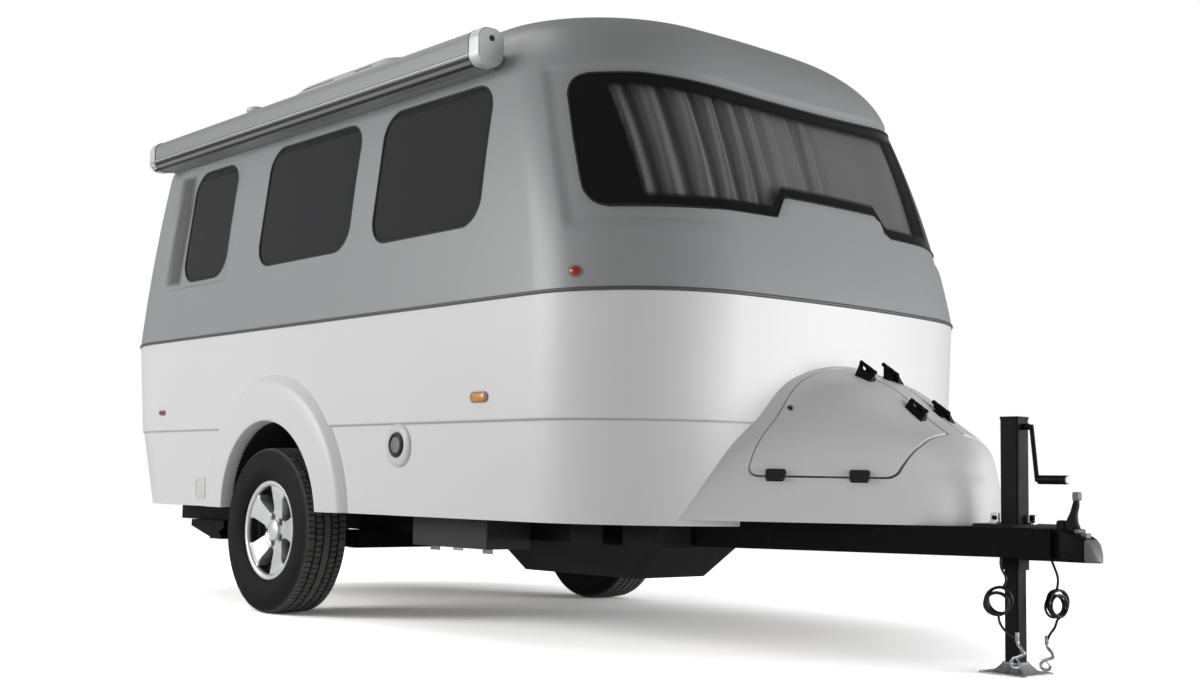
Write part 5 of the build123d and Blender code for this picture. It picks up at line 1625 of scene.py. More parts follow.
@dataclass
class Curtain:
    """The pleated blind behind the front window, hung from its rail."""

    right: float = -0.775
    left: float = 0.615
    foot: float = 1.478
    head: float = 1.976
    inset: float = 0.05
    ridges: tuple[float, ...] = (0.905, 0.8, 0.695, 0.564, 0.459, 0.36, 0.278, 0.19, 0.095, 0.0, -0.1, -0.65)

    def build(self) -> None:
        """Pleats are a cosine of the arc's place among the ridges, whose depth falls off towards the middle.

        Each pleat leans with the window's rake, because the arc is taken at the same share of each height's own width.
        """
        share = np.linspace(0, 1, 700)[None, :]
        z = np.linspace(self.foot, self.head, 40)[:, None]
        y = self.right + (self.left - self.right) * share + 0 * z
        arc = HULL.arc_at(self._place(y, z), z)
        run = np.abs(arc[0]) * np.sign(y[0])
        swell = 0.1 + 0.9 * (1 - smooth(-0.4, -0.12, y)) + 0.5 * np.exp(-(((y + 0.02) / 0.06) ** 2))
        ridges = np.array(self.ridges[::-1])
        turn = np.interp(-run, ridges, np.arange(len(ridges)))
        wave = np.cos(2 * np.pi * turn)[None, :] + 0.22 * np.cos(6 * np.pi * turn + 5.0 * z)
        drift = 0.002 * np.sin(z * 9.0 + run[None, :] * 31.0)
        offset = self.inset - 0.013 * swell * wave + drift
        # Mask of painted shade in the pleats' valleys, stronger where the pleats swell.
        fold = np.minimum(swell, 1.0) * (1 - smooth(-1.0, -0.25, np.cos(2 * np.pi * turn)[None, :] + 0 * z))
        c = self._place(y, z)
        sign = np.where(y < 0, -1.0, 1.0)
        point = HULL.place(c, z) - HULL.normal(c, z) * offset[..., None]
        point[..., 1] *= sign
        form = Form()
        form.grid(point, along=z + 0 * y, across=run[None, :] + 0 * z, fold=fold)
        piece = form.piece("front_blind", (CLOTH,), "curtain_cloth", ("front_curtain",), sharp=180.0)
        rail = Form()
        path = point[-1, ::14].copy()
        path[:, 2] = self.head + 0.004
        rail.tube(carried(rounded_outline(0.016, 0.02, 0.004), path, (0.0, 0.0, 1.0)))
        rail.piece("blind_rail", (GREY_PLASTIC,), "curtain_cloth")

    @staticmethod
    def _place(y: np.ndarray, z: np.ndarray) -> np.ndarray:
        """The place c whose y is a given one, by lookup on the nose and its corner.

        Args:
            y: Rows of y.
            z: Each row's height.

        Returns:
            The places c, in the shape of y.
        """
        c = np.linspace(0, 1.6, 500)
        table = HULL.place(c[None, :], z.reshape(-1, 1))[..., 1]
        return np.stack([np.interp(np.abs(line), row, c) for line, row in zip(y, table)])


@dataclass
class FenderFlares:
    """The swollen bands round the wheel arches."""

    centre: Triple = (-0.715, 0.99, 0.405)
    lean: float = 3.0
    foot: float = 0.43

    section: tuple[tuple[float, float], ...] = (
        (0.588, 0.05), (0.5865, 0.036), (0.578, 0.028), (0.562, 0.012), (0.552, 0.006), (0.54, 0.0025),
        (0.5, 0.0), (0.45, -0.002), (0.42, -0.0045), (0.405, -0.006), (0.396, -0.003), (0.392, 0.004), (0.392, 0.05),
    )

    def build(self) -> None:
        """The section of (radius, depth) turned about a leaning axis, each circle ending level at the sill."""
        profile = np.array(self.section)
        lean = np.radians(self.lean)
        start = np.arcsin((self.foot - self.centre[2]) / profile[:, 0])
        share = np.linspace(0, 1, 91)[:, None]
        angle = start[None, :] + share * (np.pi - 2 * start[None, :])
        along, up = profile[:, 0] * np.cos(angle), profile[:, 0] * np.sin(angle)
        depth = profile[:, 1] * np.ones_like(angle)
        for side in Side:
            z = self.centre[2] + up * np.cos(lean) + depth * np.sin(lean)
            y = self.centre[1] - depth * np.cos(lean) + up * np.sin(lean)
            points = np.stack((self.centre[0] + along, side.value * y, z), -1)
            form = Form()
            form.tube(points)
            form.piece(f"flare_{side.word}", (WHITE_SKIN,), "shell_white", (f"fender_flare_{side.word}",))


@dataclass
class Wheel:
    """A road wheel: tyre, alloy with five spokes, hub cap and lug nuts."""

    side: Side
    axle_x: float = -0.735
    radius: float = 0.344
    middle_y: float = 0.885
    spokes: int = 5
    first_spoke: float = 2.0
    spoke_halves: tuple[float, float] = (0.027, 0.05)
    lug_circle: float = 0.05715
    pocket_depth: float = -0.016
    cap_profile: ClassVar = (
        (0.0435, 0.04), (0.0435, 0.056), (0.042, 0.059), (0.038, 0.06), (0.036, 0.0588), (0.03, 0.0605),
        (0.02, 0.0622), (0.01, 0.063), (0.001, 0.0632),
    )
    nut_profile: ClassVar = ((0.0075, 0.026), (0.0075, 0.038), (0.006, 0.0405), (0.002, 0.041))

    @property
    def centre(self) -> Triple:
        """The point on the axle in the tyre's middle plane."""
        return (self.axle_x, self.side.value * self.middle_y, self.radius)

    @property
    def body(self) -> str:
        """The body the wheel rides on."""
        return f"wheel_{self.side.word}"

    def tyre(self) -> None:
        """Sidewall and tread as one section turned round the axle.

        Over the tread the radius drops in four grooves, by a smooth step of the distance to each groove's middle that
        wanders as a zigzag of the angle, and in short sipes where a sawtooth of the angle is near its ends.
        """
        turn = np.linspace(0, 1, 15)
        bulge = np.sin(turn * np.pi) ** 0.9
        radius = 0.197 + turn * (0.318 - 0.197)
        out = 0.071 + 0.022 * turn + 0.0245 * bulge * (1 - 0.35 * turn)
        rib = 0.0016 * np.exp(-(((radius - 0.213) / 0.004) ** 2)) + 0.0012 * np.exp(-(((radius - 0.3) / 0.003) ** 2))
        side = np.stack((radius, out + rib), -1)
        shoulder = np.array(((0.327, 0.0935), (0.334, 0.0905), (0.3395, 0.0865)))
        half = np.concatenate((((0.188, 0.069), (0.192, 0.073)), side, shoulder))
        y = np.linspace(0.083, -0.083, 67)
        tread = np.stack((0.344 - 0.0032 * (y / 0.084) ** 2, y), -1)
        profile = np.concatenate((half, tread, half[::-1] * (1, -1)))
        steps = 360
        angle = np.arange(steps) * 2 * np.pi / steps
        place, level = profile[:, 1:], profile[:, :1] + 0 * angle
        on_tread = (profile[:, :1] > 0.338) & (np.abs(place) < 0.0835)
        zig = 0.0022 * (np.abs(((angle * 36 / np.pi) % 2) - 1) - 0.5)[None, :]
        drop = np.zeros_like(level)
        for middle in (-0.053, -0.018, 0.018, 0.053):
            drop = np.maximum(drop, 1 - smooth(0.0028, 0.0048, np.abs(place - middle - zig)))
        beat = ((angle * 90 / (2 * np.pi)) % 1)[None, :]
        off = np.abs(place)
        sipe = (beat < 0.24) & (off > 0.058) | (beat > 0.6) & (beat < 0.8) & (off < 0.048) & (off > 0.024)
        drop = np.where(on_tread, np.maximum(drop, 0.6 * sipe), 0)
        level = level - 0.0075 * drop
        points = np.stack((level * np.cos(angle), place * self.side.value + 0 * level, level * np.sin(angle)), -1)
        tread_tag = smooth(0.332, 0.337, profile[:, :1])
        form = Form()
        # The last tag marks the grooves and sipes for painted shade.
        form.loop(points + self.centre, tread=tread_tag, radius=level, groove=np.minimum(drop * 1.4, 1.0))
        nodes = (f"tyre_{self.side.word}",)
        form.piece(f"tyre_body_{self.side.word}", (RUBBER,), "tyre", nodes, self.body, sharp=50.0)

    def rim(self) -> None:
        """The barrel with its lip, and the face whose height is a function of radius and angle.

        Across each fifth of the turn the columns follow the spoke's edge, so that the wall between spoke and pocket
        stays crisp: the angle is the spoke's half width over the radius times a table of shares, then the pocket.
        """
        form = Form()
        barrel = np.array((
            (0.183, 0.06), (0.186, 0.074), (0.19, 0.0775), (0.199, 0.0785), (0.2065, 0.0775), (0.2075, 0.074),
            (0.205, 0.071), (0.196, 0.07), (0.191, 0.066), (0.189, 0.04), (0.168, 0.02), (0.168, -0.02),
            (0.189, -0.04), (0.191, -0.066), (0.205, -0.071), (0.2075, -0.075), (0.203, -0.078), (0.19, -0.0775),
            (0.184, -0.07), (0.182, -0.044), (0.161, -0.024), (0.161, 0.0), (0.166, 0.01), (0.181, 0.02),
            (0.182, 0.044),
        ))
        # Only the barrel's outer lip is bright; the rest of the barrel takes painted shade.
        bright = (barrel[:, :1] > 0.185) & (barrel[:, 1:] > 0.06)
        form.loop(lathed(barrel, self.centre, 96, "y", self.side.value), bright=bright, radius=barrel[:, :1])
        reach = np.concatenate((np.linspace(0.044, 0.072, 15), np.linspace(0.075, 0.176, 28), (0.18, 0.1835)))[:, None]
        half = np.interp(reach, (0.044, 0.183), self.spoke_halves)
        half = half + 0.01 * smooth(0.15, 0.183, reach) + 0.016 * (1 - smooth(0.06, 0.088, reach))
        edge = np.arcsin(np.minimum(half / reach, 0.99))
        fifth = 2 * np.pi / self.spokes
        edge = np.minimum(edge, fifth / 2 - 0.02)
        shares = np.array((-1, -0.94, -0.7, -0.45, -0.2, 0, 0.2, 0.45, 0.7, 0.94, 1))
        gap = np.array((0.03, 0.14, 0.26, 0.38, 0.5, 0.62, 0.74, 0.86, 0.97))
        turns = np.concatenate((edge * shares, edge + (fifth - 2 * edge) * gap), 1)
        on_spoke = np.array([1.0] * 11 + [0.0] * 9)
        rim_edge = np.array([0.6] + [1.0] * 9 + [0.6] + [0.0] * 9)
        crest = 0.038 + 0.02 * smooth(0.07, 0.175, reach)
        rounding = 0.002 * (1 - np.abs(np.concatenate((shares, np.ones(9)))) ** 4)
        hub = 1 - smooth(0.064, 0.074, reach)
        pocket = hub * (crest - 0.004) + (1 - hub) * self.pocket_depth
        height = on_spoke * (crest + rounding * (1 - hub) - 0.0035 * (1 - rim_edge) * 2) + (1 - on_spoke) * pocket
        closing = smooth(0.1765, 0.1835, reach)
        height = height * (1 - closing) + closing * 0.06 * on_spoke
        angle = (turns[None] + (np.arange(self.spokes) * fifth)[:, None, None]).transpose(1, 0, 2)
        angle = angle.reshape(len(reach), -1) + np.radians(self.first_spoke)
        height = np.tile(height, (1, self.spokes))
        lug = np.radians(self.first_spoke) + fifth / 2 + np.arange(self.spokes) * fifth
        x, z = reach * np.cos(angle), reach * np.sin(angle)
        lug_x, lug_z = self.lug_circle * np.cos(lug), self.lug_circle * np.sin(lug)
        well = np.hypot(x[..., None] - lug_x, z[..., None] - lug_z).min(-1)
        height = height - 0.018 * (1 - smooth(0.0115, 0.0135, well))
        # The bright tag is 1 on the spokes' faces and the hub, a little less at the spokes' edges, and 0 in the pockets
        # and lug wells, which take painted shade.
        lit = np.tile(on_spoke * smooth(0.0, 1.0, rim_edge), self.spokes)
        lit = np.maximum(lit, hub) * smooth(0.0125, 0.0145, well)
        points = np.stack((x, (0.01 + height) * self.side.value, z), -1) + np.array(self.centre)
        face = form.grid(points, 0, True, bright=lit, radius=reach)
        rear = points.copy()
        rear[..., 1] -= self.side.value * 0.018
        back = form.grid(rear, 0, True, bright=0.0, radius=reach)
        for end in (0, -1):
            form.weave(np.stack((face[end], back[end])), 0, True)
        nodes = (f"wheel_rim_{self.side.word}",)
        form.piece(f"alloy_{self.side.word}", (ALLOY,), "alloy", nodes, self.body, sharp=38.0)

    def hub(self) -> None:
        """A domed cap with a turned rim in the hub's bore, and a hexagonal nut in each lug's recess."""
        way = self.side.value
        form = Form()
        form.turned(self.cap_profile, self.centre, 48, "y", way, bright=1.0, radius=np.array(self.cap_profile)[:, :1])
        form.piece(f"hub_cap_{self.side.word}", (ALLOY,), "alloy", body=self.body)
        nuts = Form()
        first = np.radians(self.first_spoke + 180 / self.spokes)
        for number in range(self.spokes):
            angle = first + number * 2 * np.pi / self.spokes
            spot = np.array(self.centre) + self.lug_circle * np.array((np.cos(angle), 0.0, np.sin(angle)))
            nuts.turned(self.nut_profile, spot, 6, "y", way)
        nuts.piece(f"lug_nuts_{self.side.word}", (WORN_STEEL_AND_PAINTED_HIGHLIGHT,), "alloy", body=self.body)

    def build(self) -> None:
        """Make the tyre, the alloy and the hub."""
        self.tyre()
        self.rim()
        self.hub()


@dataclass
class Shroud:
    """The moulded cover over the gas bottles, with two lids that lift like wings."""

    back_x: float = 1.4
    wall: float = 0.01
    ridge_half: float = 0.04
    gap: float = 0.006
    lid_rear: float = 1.585
    latch_x: tuple[float, float] = (1.666, 1.883)
    levels: tuple[float, float, float] = (0.45, 0.6, 0.985)
    sections: ClassVar = (
        (0.45, 0.728, 1.77, 0.345), (0.6, 0.671, 1.757, 0.343), (0.71, 0.6, 1.718, 0.335),
        (0.79, 0.515, 1.615, 0.325), (0.91, 0.423, 1.465, 0.3), (0.985, 0.33, 1.28, 0.28),
    )
    hinge_point: Triple = (1.8, 0.06, 0.905)
    hinge_slope: float = 33.0
    hinge_places: tuple[float, float] = (-0.12, 0.13)
    barrel: float = 0.007
    strap_steps: tuple[float, ...] = (0.0, 0.0, 0.12, 0.3, 0.6, 1.0)
    wedge: tuple[float, ...] = (1.0, 1.0, 0.85, 0.62, 0.3, 0.0)
    web: tuple[float, ...] = (0.59, 0.59, 0.505, 0.376, 0.2, 0.0)
    strap: tuple[float, ...] = (1.0, 0.6, 0.25, 0.05, 0.0, 0.0)

    def rings(self, levels: np.ndarray, inset: float) -> np.ndarray:
        """Sections at some levels: a straight cheek tangent to a round nose, and its mirror.

        Args:
            levels: Heights.
            inset: How far the skin is drawn in.

        Returns:
            Points of shape (levels, columns, 3).
        """
        half, centre, radius = through(np.array(self.sections), levels).T
        half, radius = half - 1.3 * inset, radius - inset
        back_x = self.back_x - inset
        length = np.hypot(centre - back_x, half)
        aim = np.arctan2(-half, centre - back_x) + np.arcsin(np.clip(radius / length, -1, 1))
        touch = aim + np.pi / 2
        nose = touch[:, None] * np.linspace(1, -1, 61)[None, :]
        nose_x = centre[:, None] + radius[:, None] * np.cos(nose)
        nose_y = radius[:, None] * np.sin(nose)
        share = np.linspace(0, 1, 26)[:-1][None, :]
        cheek_x = back_x + (nose_x[:, :1] - back_x) * share
        cheek_y = half[:, None] + (nose_y[:, :1] - half[:, None]) * share
        x = np.concatenate((cheek_x, nose_x, cheek_x[:, ::-1]), 1)
        y = np.concatenate((cheek_y, nose_y, -cheek_y[:, ::-1]), 1)
        drop = 0.7 * inset * smooth(0.45, 0.47, levels)
        return np.stack((x, y, (levels - drop)[:, None] + 0 * x), -1)

    def shell(self) -> Form:
        """Outer and inner skins, joined at the foot, the back and the top.

        Returns:
            The wall.
        """
        foot, waist, top = self.levels
        levels = spaced((foot, waist, 12), (waist, top, 46))
        form = Form()
        form.slab(self.rings(levels, 0.0), self.rings(levels, self.wall), 0, 0, 1)
        return form

    def lid_cut(self, side: Side, shrink: float) -> Form:
        """A lid's prism, taken out from beside the ridge, made smaller by a shrink.

        Args:
            side: The side.
            shrink: How much smaller it is at each edge.

        Returns:
            The prism.
        """
        corner, swept = 0.032, 1.5 * shrink
        foot = np.array((1.975 - swept, 0.592 + shrink))
        angle = np.linspace(np.pi, 1.5 * np.pi, 9)
        rear = self.lid_rear + shrink
        back = np.stack((rear + corner + corner * np.cos(angle), foot[1] + corner + corner * np.sin(angle)), -1)
        turn = np.linspace(1.5 * np.pi, 1.5 * np.pi + 1.24, 9)
        fore = np.stack((foot[0] - corner * 0.71 + corner * np.cos(turn), foot[1] + corner + corner * np.sin(turn)), -1)
        rest = np.array(((2.012 - swept, 0.7), (2.04 - swept, 1.1), (rear, 1.1)))
        near = self.ridge_half + swept
        return Form().prism(np.concatenate((back, fore, rest)), *sorted((side.value * near, side.value * 0.9)))

    def build(self) -> None:
        """Make the cover with two holes, the two lids, their latches, hinge leaves and locks."""
        whole = self.shell().mesh("shroud_cover", (WHITE_SKIN, LINING))
        cover = carve(whole.copy(), [self.lid_cut(side, 0.0) for side in Side])
        settle(cover, "shroud_cover", ("front_shroud",), bevel=0.0012)
        for side in Side:
            lid = carve(whole.copy(), [self.lid_cut(side, self.gap)], keep_inside=True)
            name = f"shroud_wing_{side.word}"
            settle(lid, name, (f"shroud_lid_{side.word}",), body=f"lid_{side.word}", bevel=0.0012)
            self.fittings(side)

    def cheek(self, x: float, z: float) -> tuple[float, float]:
        """The cheek's y at a place and its slope along x.

        Args:
            x: The place along x.
            z: The height.

        Returns:
            The y and the slope.
        """
        ring = self.rings(np.array((z,)), 0.0)[0]
        half = ring[:len(ring) // 2]
        y = float(np.interp(x, half[:, 0], half[:, 1]))
        ahead = float(np.interp(x + 0.01, half[:, 0], half[:, 1]))
        return y, (ahead - y) / 0.01

    def block(
        self, form: Form, side: Side, x: float, size: tuple[float, float, float, int], z: float, aim: float,
        lifts: Sequence[tuple[float, float]],
    ) -> None:
        """Add a rounded block that stands on a cheek, as outlines that shrink as they leave it.

        Args:
            form: The form it joins.
            side: The side.
            x: Its middle.
            size: Width, height, corner radius and steps in each corner.
            z: Its middle's height.
            aim: The height at which the cheek's place and slope are taken.
            lifts: Scale and height over the cheek of each outline.
        """
        y, slope = self.cheek(x, aim)
        along = np.array((1.0, slope, 0.0)) / np.hypot(1.0, slope)
        out = unit(np.array((-slope, 1.0, 0.45)))
        outline = rounded_outline(*size)
        flat = outline[:, :1] * along - outline[:, 1:] * np.cross(out, along)
        middle = np.array((x, y + (aim - z) * 0.45, z))
        form.tube(np.stack([middle + scale * flat + out * lift for scale, lift in lifts]) * (1, side.value, 1))

    def fittings(self, side: Side) -> None:
        """Latches and a lock on the lid, with their keepers below, and the hinges along the slanted line.

        Args:
            side: The side.
        """
        lid, latches, knuckles, fixed = f"lid_{side.word}", Form(), Form(), Form()
        for x in self.latch_x:
            self.block(latches, side, x, (0.062, 0.019, 0.007, 5), 0.606, 0.604, ((1.0, -0.004), (1.0, 0.01)))
            cover = ((1.0, 0.0092), (1.0, 0.0125), (0.94, 0.0142), (0.7, 0.0148))
            self.block(latches, side, x, (0.064, 0.036, 0.007, 5), 0.598, 0.604, cover)
        place = np.array((1.612, side.value * self.cheek(1.612, 0.82)[0], 0.82))
        latches.turned(((0.01, -0.004), (0.01, 0.0025), (0.0085, 0.004), (0.003, 0.0042)), place, 24, "y", side.value)
        latches.piece(f"latches_{side.word}", (BLACK_PLASTIC_AND_PAINTED_SHADE,), "chassis_black", body=lid)
        for place in self.hinge_places:
            for form, start, length, near, far, drop in (
                (knuckles, -0.039, 0.016, 0.063, 0.092, self.wedge), (knuckles, 0.023, 0.016, 0.063, 0.092, self.wedge),
                (knuckles, -0.024, 0.048, 0.0725, 0.092, self.web), (fixed, -0.017, 0.034, 0.057, 0.034, self.strap),
            ):
                self.hinge_part(form, side, (place + start, length), (near, far), drop, form is knuckles)
        knuckles.piece(f"lid_knuckles_{side.word}", (BLACK_STEEL,), "chassis_black", body=lid, bevel=0.0008)
        for x in self.latch_x:
            keeper = ((1.0, -0.004), (1.0, 0.006), (0.9, 0.0075))
            self.block(fixed, side, x, (0.056, 0.01, 0.004, 4), 0.584, 0.584, keeper)
        nodes = ("lid_hardware",) if side is Side.LEFT else ()
        fixed.piece(f"lid_keepers_{side.word}", (BLACK_STEEL,), "chassis_black", nodes)

    def hinge_part(
        self, form: Form, side: Side, run: tuple[float, float], reach: tuple[float, float], drop: Sequence[float],
        solid: bool,
    ) -> None:
        """Add one part of a hinge: a barrel, if it has one, and a leaf that drops from it to the cover.

        Args:
            form: The form it joins.
            side: The side.
            run: Its start along the hinge line from the line's point, and its length.
            reach: The leaf's y beside the barrel and at its far end.
            drop: The share of the leaf's height over the cover at each of its steps.
            solid: Whether the leaf is filled down to the cover.
        """
        slope = np.radians(self.hinge_slope)
        line = np.array((np.cos(slope), 0.0, -np.sin(slope)))
        first = np.array(self.hinge_point) + line * run[0]
        turn = circle(self.barrel, 18)
        ring = turn[:, :1] * (0.0, 1.0, 0.0) + turn[:, 1:] * np.cross(line, (0, 1.0, 0))
        if drop is not self.web:
            form.tube(np.stack([first + line * step + ring for step in (0.0, run[1])]) * (1, side.value, 1))
        leaf = np.stack([first + np.outer((0.0, run[1]), line)] * len(drop))
        leaf[..., 1] = (reach[0] + (reach[1] - reach[0]) * np.array(self.strap_steps))[:, None]
        seat = self.roof(leaf[..., 0], leaf[..., 1])
        leaf[..., 2] = seat + np.maximum(leaf[..., 2] - seat, 0.0) * np.array(drop)[:, None]
        under = leaf - (0.0, 0.0, 0.003)
        if solid:
            under[..., 2] = seat - 0.003
        mirror = np.array((1, side.value, 1))
        form.slab((leaf + (0.0, 0.0, 0.004)) * mirror, under * mirror)

    def roof(self, x: np.ndarray, y: np.ndarray) -> np.ndarray:
        """The cover's height over places on its left side, by lookup among its sections.

        Args:
            x: Places along x.
            y: Places across.

        Returns:
            The heights.
        """
        levels = np.linspace(*self.levels[1:], 120)
        rings = self.rings(levels, 0.0)[:, :56]
        reach = np.array([[np.interp(place, ring[:, 0], ring[:, 1]) for ring in rings] for place in np.ravel(x)])
        height = [np.interp(-side, -row, levels) for side, row in zip(np.ravel(y), reach)]
        return np.reshape(height, np.shape(x))


@dataclass
class Awning:
    """The roll-out awning's case along the right eave, with its end caps, two ridges and painted lines of shade and
    highlight.
    """

    rear: float = -1.96
    front: float = 0.7
    y: float = -0.948
    z: float = 2.108
    width: float = 0.112
    height: float = 0.136
    corner: float = 0.044
    # Each strip is an arc in degrees round the lower corner, its height proud and its finish: black strips are painted
    # shadow lines, the silver strip a painted highlight, and the metal strips real ridges.
    strips: tuple[tuple[float, float, float, int], ...] = (
        (-3.0, 2.0, 0.0012, 0), (2.0, 6.0, 0.003, 1), (10.0, 15.0, 0.003, 2), (15.0, 34.0, 0.0015, 0),
        (34.0, 38.0, 0.0035, 2), (52.0, 70.0, 0.002, 0),
    )
    dome: ClassVar = ((1.0, -0.046), (1.0, 0.004), (0.985, 0.01), (0.93, 0.0135), (0.6, 0.014), (0.05, 0.014))

    def build(self) -> None:
        """A rounded section drawn along x, with strips as arcs round its lower corner, and domed caps."""
        middle = np.array((self.y, self.z))
        outline = rounded_outline(self.width, self.height, self.corner, 12) + middle
        case = Form()
        case.layers(((outline, x) for x in np.linspace(self.rear, self.front, 41)), "x")
        case.piece("awning_roll_case", (AWNING_METAL,), "awning_metal", ("awning_case",))
        shade_highlight_ridges = Form()
        for start, end, proud, finish in self.strips:
            turn = np.radians(np.linspace(start, end, 5))
            arc = np.stack((-np.cos(turn), -np.sin(turn)), -1)
            ring = np.concatenate(((self.corner + proud) * arc, (self.corner - 0.003) * arc[::-1]))
            ring = ring + (self.corner - self.width / 2, self.corner - self.height / 2) + middle
            shade_highlight_ridges.prism(ring, self.rear + 0.004, self.front - 0.046, "x", finish)
        shade_highlight_ridges.piece("awning_rails", (BLACK_PLASTIC_AND_PAINTED_SHADE, SILVER_AND_PAINTED_HIGHLIGHT, AWNING_METAL), "awning_metal")
        ring = rounded_outline(self.width + 0.003, self.height + 0.003, self.corner + 0.001, 12)
        for name, end, way in (("front", self.front, 1), ("rear", self.rear, -1)):
            cap = Form()
            cap.layers(((ring * scale + middle, end + way * step) for scale, step in self.dome), "x")
            cap.prism(ring * 1.012 + middle, end - way * 0.05, end - way * 0.046, "x", 1)
            screw = (end + way * 0.012, self.y, self.z + 0.03)
            cap.turned(((0.011, -0.004), (0.011, 0.004), (0.008, 0.0055)), screw, 20, "x", way, 1)
            cap.piece(f"awning_cap_{name}", (SILVER_AND_PAINTED_HIGHLIGHT, BLACK_PLASTIC_AND_PAINTED_SHADE), "awning_metal", sharp=24.0)


@dataclass
class RoofFittings:
    """The roof cooler's shroud with its louvres, and the vent beside it."""

    cooler_x: float = -1.415
    sections: ClassVar = (
        (2.35, 1.026, 0.7, 0.09, 0.0), (2.372, 1.03, 0.702, 0.09, 0.0), (2.384, 1.022, 0.694, 0.09, 0.0),
        (2.392, 1.004, 0.676, 0.088, 0.0), (2.44, 0.996, 0.66, 0.09, 0.0), (2.5, 0.974, 0.626, 0.096, 0.0),
        (2.545, 0.93, 0.57, 0.105, 0.003), (2.575, 0.85, 0.49, 0.115, 0.006), (2.592, 0.74, 0.39, 0.12, 0.008),
        (2.599, 0.6, 0.27, 0.11, 0.01),
    )
    louvres: ClassVar = ((-1.6, 0.29), (-1.25, 0.25))
    slots: ClassVar = ((-1.62, 2.512, 0.36), (-1.62, 2.54, 0.3), (-1.2, 2.54, 0.16))
    seat: ClassVar = ((0.95, 0.62, 2.3), (0.95, 0.62, 2.352), (0.93, 0.6, 2.36))
    vent_profile: ClassVar = (
        (0.028, 2.25), (0.028, 2.36), (0.04, 2.372), (0.047, 2.374), (0.0482, 2.38), (0.047, 2.388), (0.04, 2.395),
        (0.024, 2.4), (0.001, 2.401),
    )

    def cooler(self) -> None:
        """Rounded rectangles that shrink with height, drawn together by a smooth curve, over a black seat."""
        levels = np.concatenate((np.linspace(2.35, 2.5, 22), np.linspace(2.505, 2.599, 14)))
        form = Form()
        form.layers((
            (rounded_outline(width, depth, corner, 9) + (self.cooler_x + shift, 0.0), z)
            for z, (width, depth, corner, shift) in zip(levels, through(np.array(self.sections), levels))
        ), "z")
        cuts, slats = [], Form()
        section = np.array(((-0.012, -0.002), (0.01, 0.0045), (0.0115, 0.002), (-0.0105, -0.0045)))
        for way in (1, -1):
            for x, length in self.louvres:
                outline = rounded_outline(length, 0.062, 0.012) + (x, 2.432)
                cuts.append(Form().prism(outline, *sorted((way * 0.3, way * 0.4))))
                for z in np.linspace(2.408, 2.456, 6):
                    slat = np.column_stack((way * (0.316 + section[:, 0]), z - section[:, 1]))
                    slats.prism(slat, x - length / 2, x + length / 2, "x")
            for x, z, length in self.slots:
                outline = rounded_outline(length, 0.009, 0.0044) + (x, z)
                cuts.append(Form().prism(outline, *sorted((way * 0.255, way * 0.4))))
        cover = carve(form.mesh("cooler_cover", (COOLER_SKIN,)), cuts)
        settle(cover, "cooler_cover", ("air_conditioner",), bevel=0.002)
        slats.piece("cooler_louvres", (BLACK_PLASTIC_AND_PAINTED_SHADE,), "plastic_white")
        seat = Form()
        seat.layers(((rounded_outline(w, d, 0.07) + (self.cooler_x, 0.0), z) for w, d, z in self.seat), "z")
        seat.piece("cooler_seat", (SEAL,), "plastic_white")

    def vent(self) -> None:
        """A short pipe under a flat domed cap."""
        form = Form()
        form.turned(self.vent_profile, (-1.75, -0.56, 0.0), 40, "z")
        form.piece("vent_cap", (WHITE_PLASTIC,), "plastic_white", ("roof_vent",))

    def build(self) -> None:
        """Make the cooler and the vent."""
        self.cooler()
        self.vent()


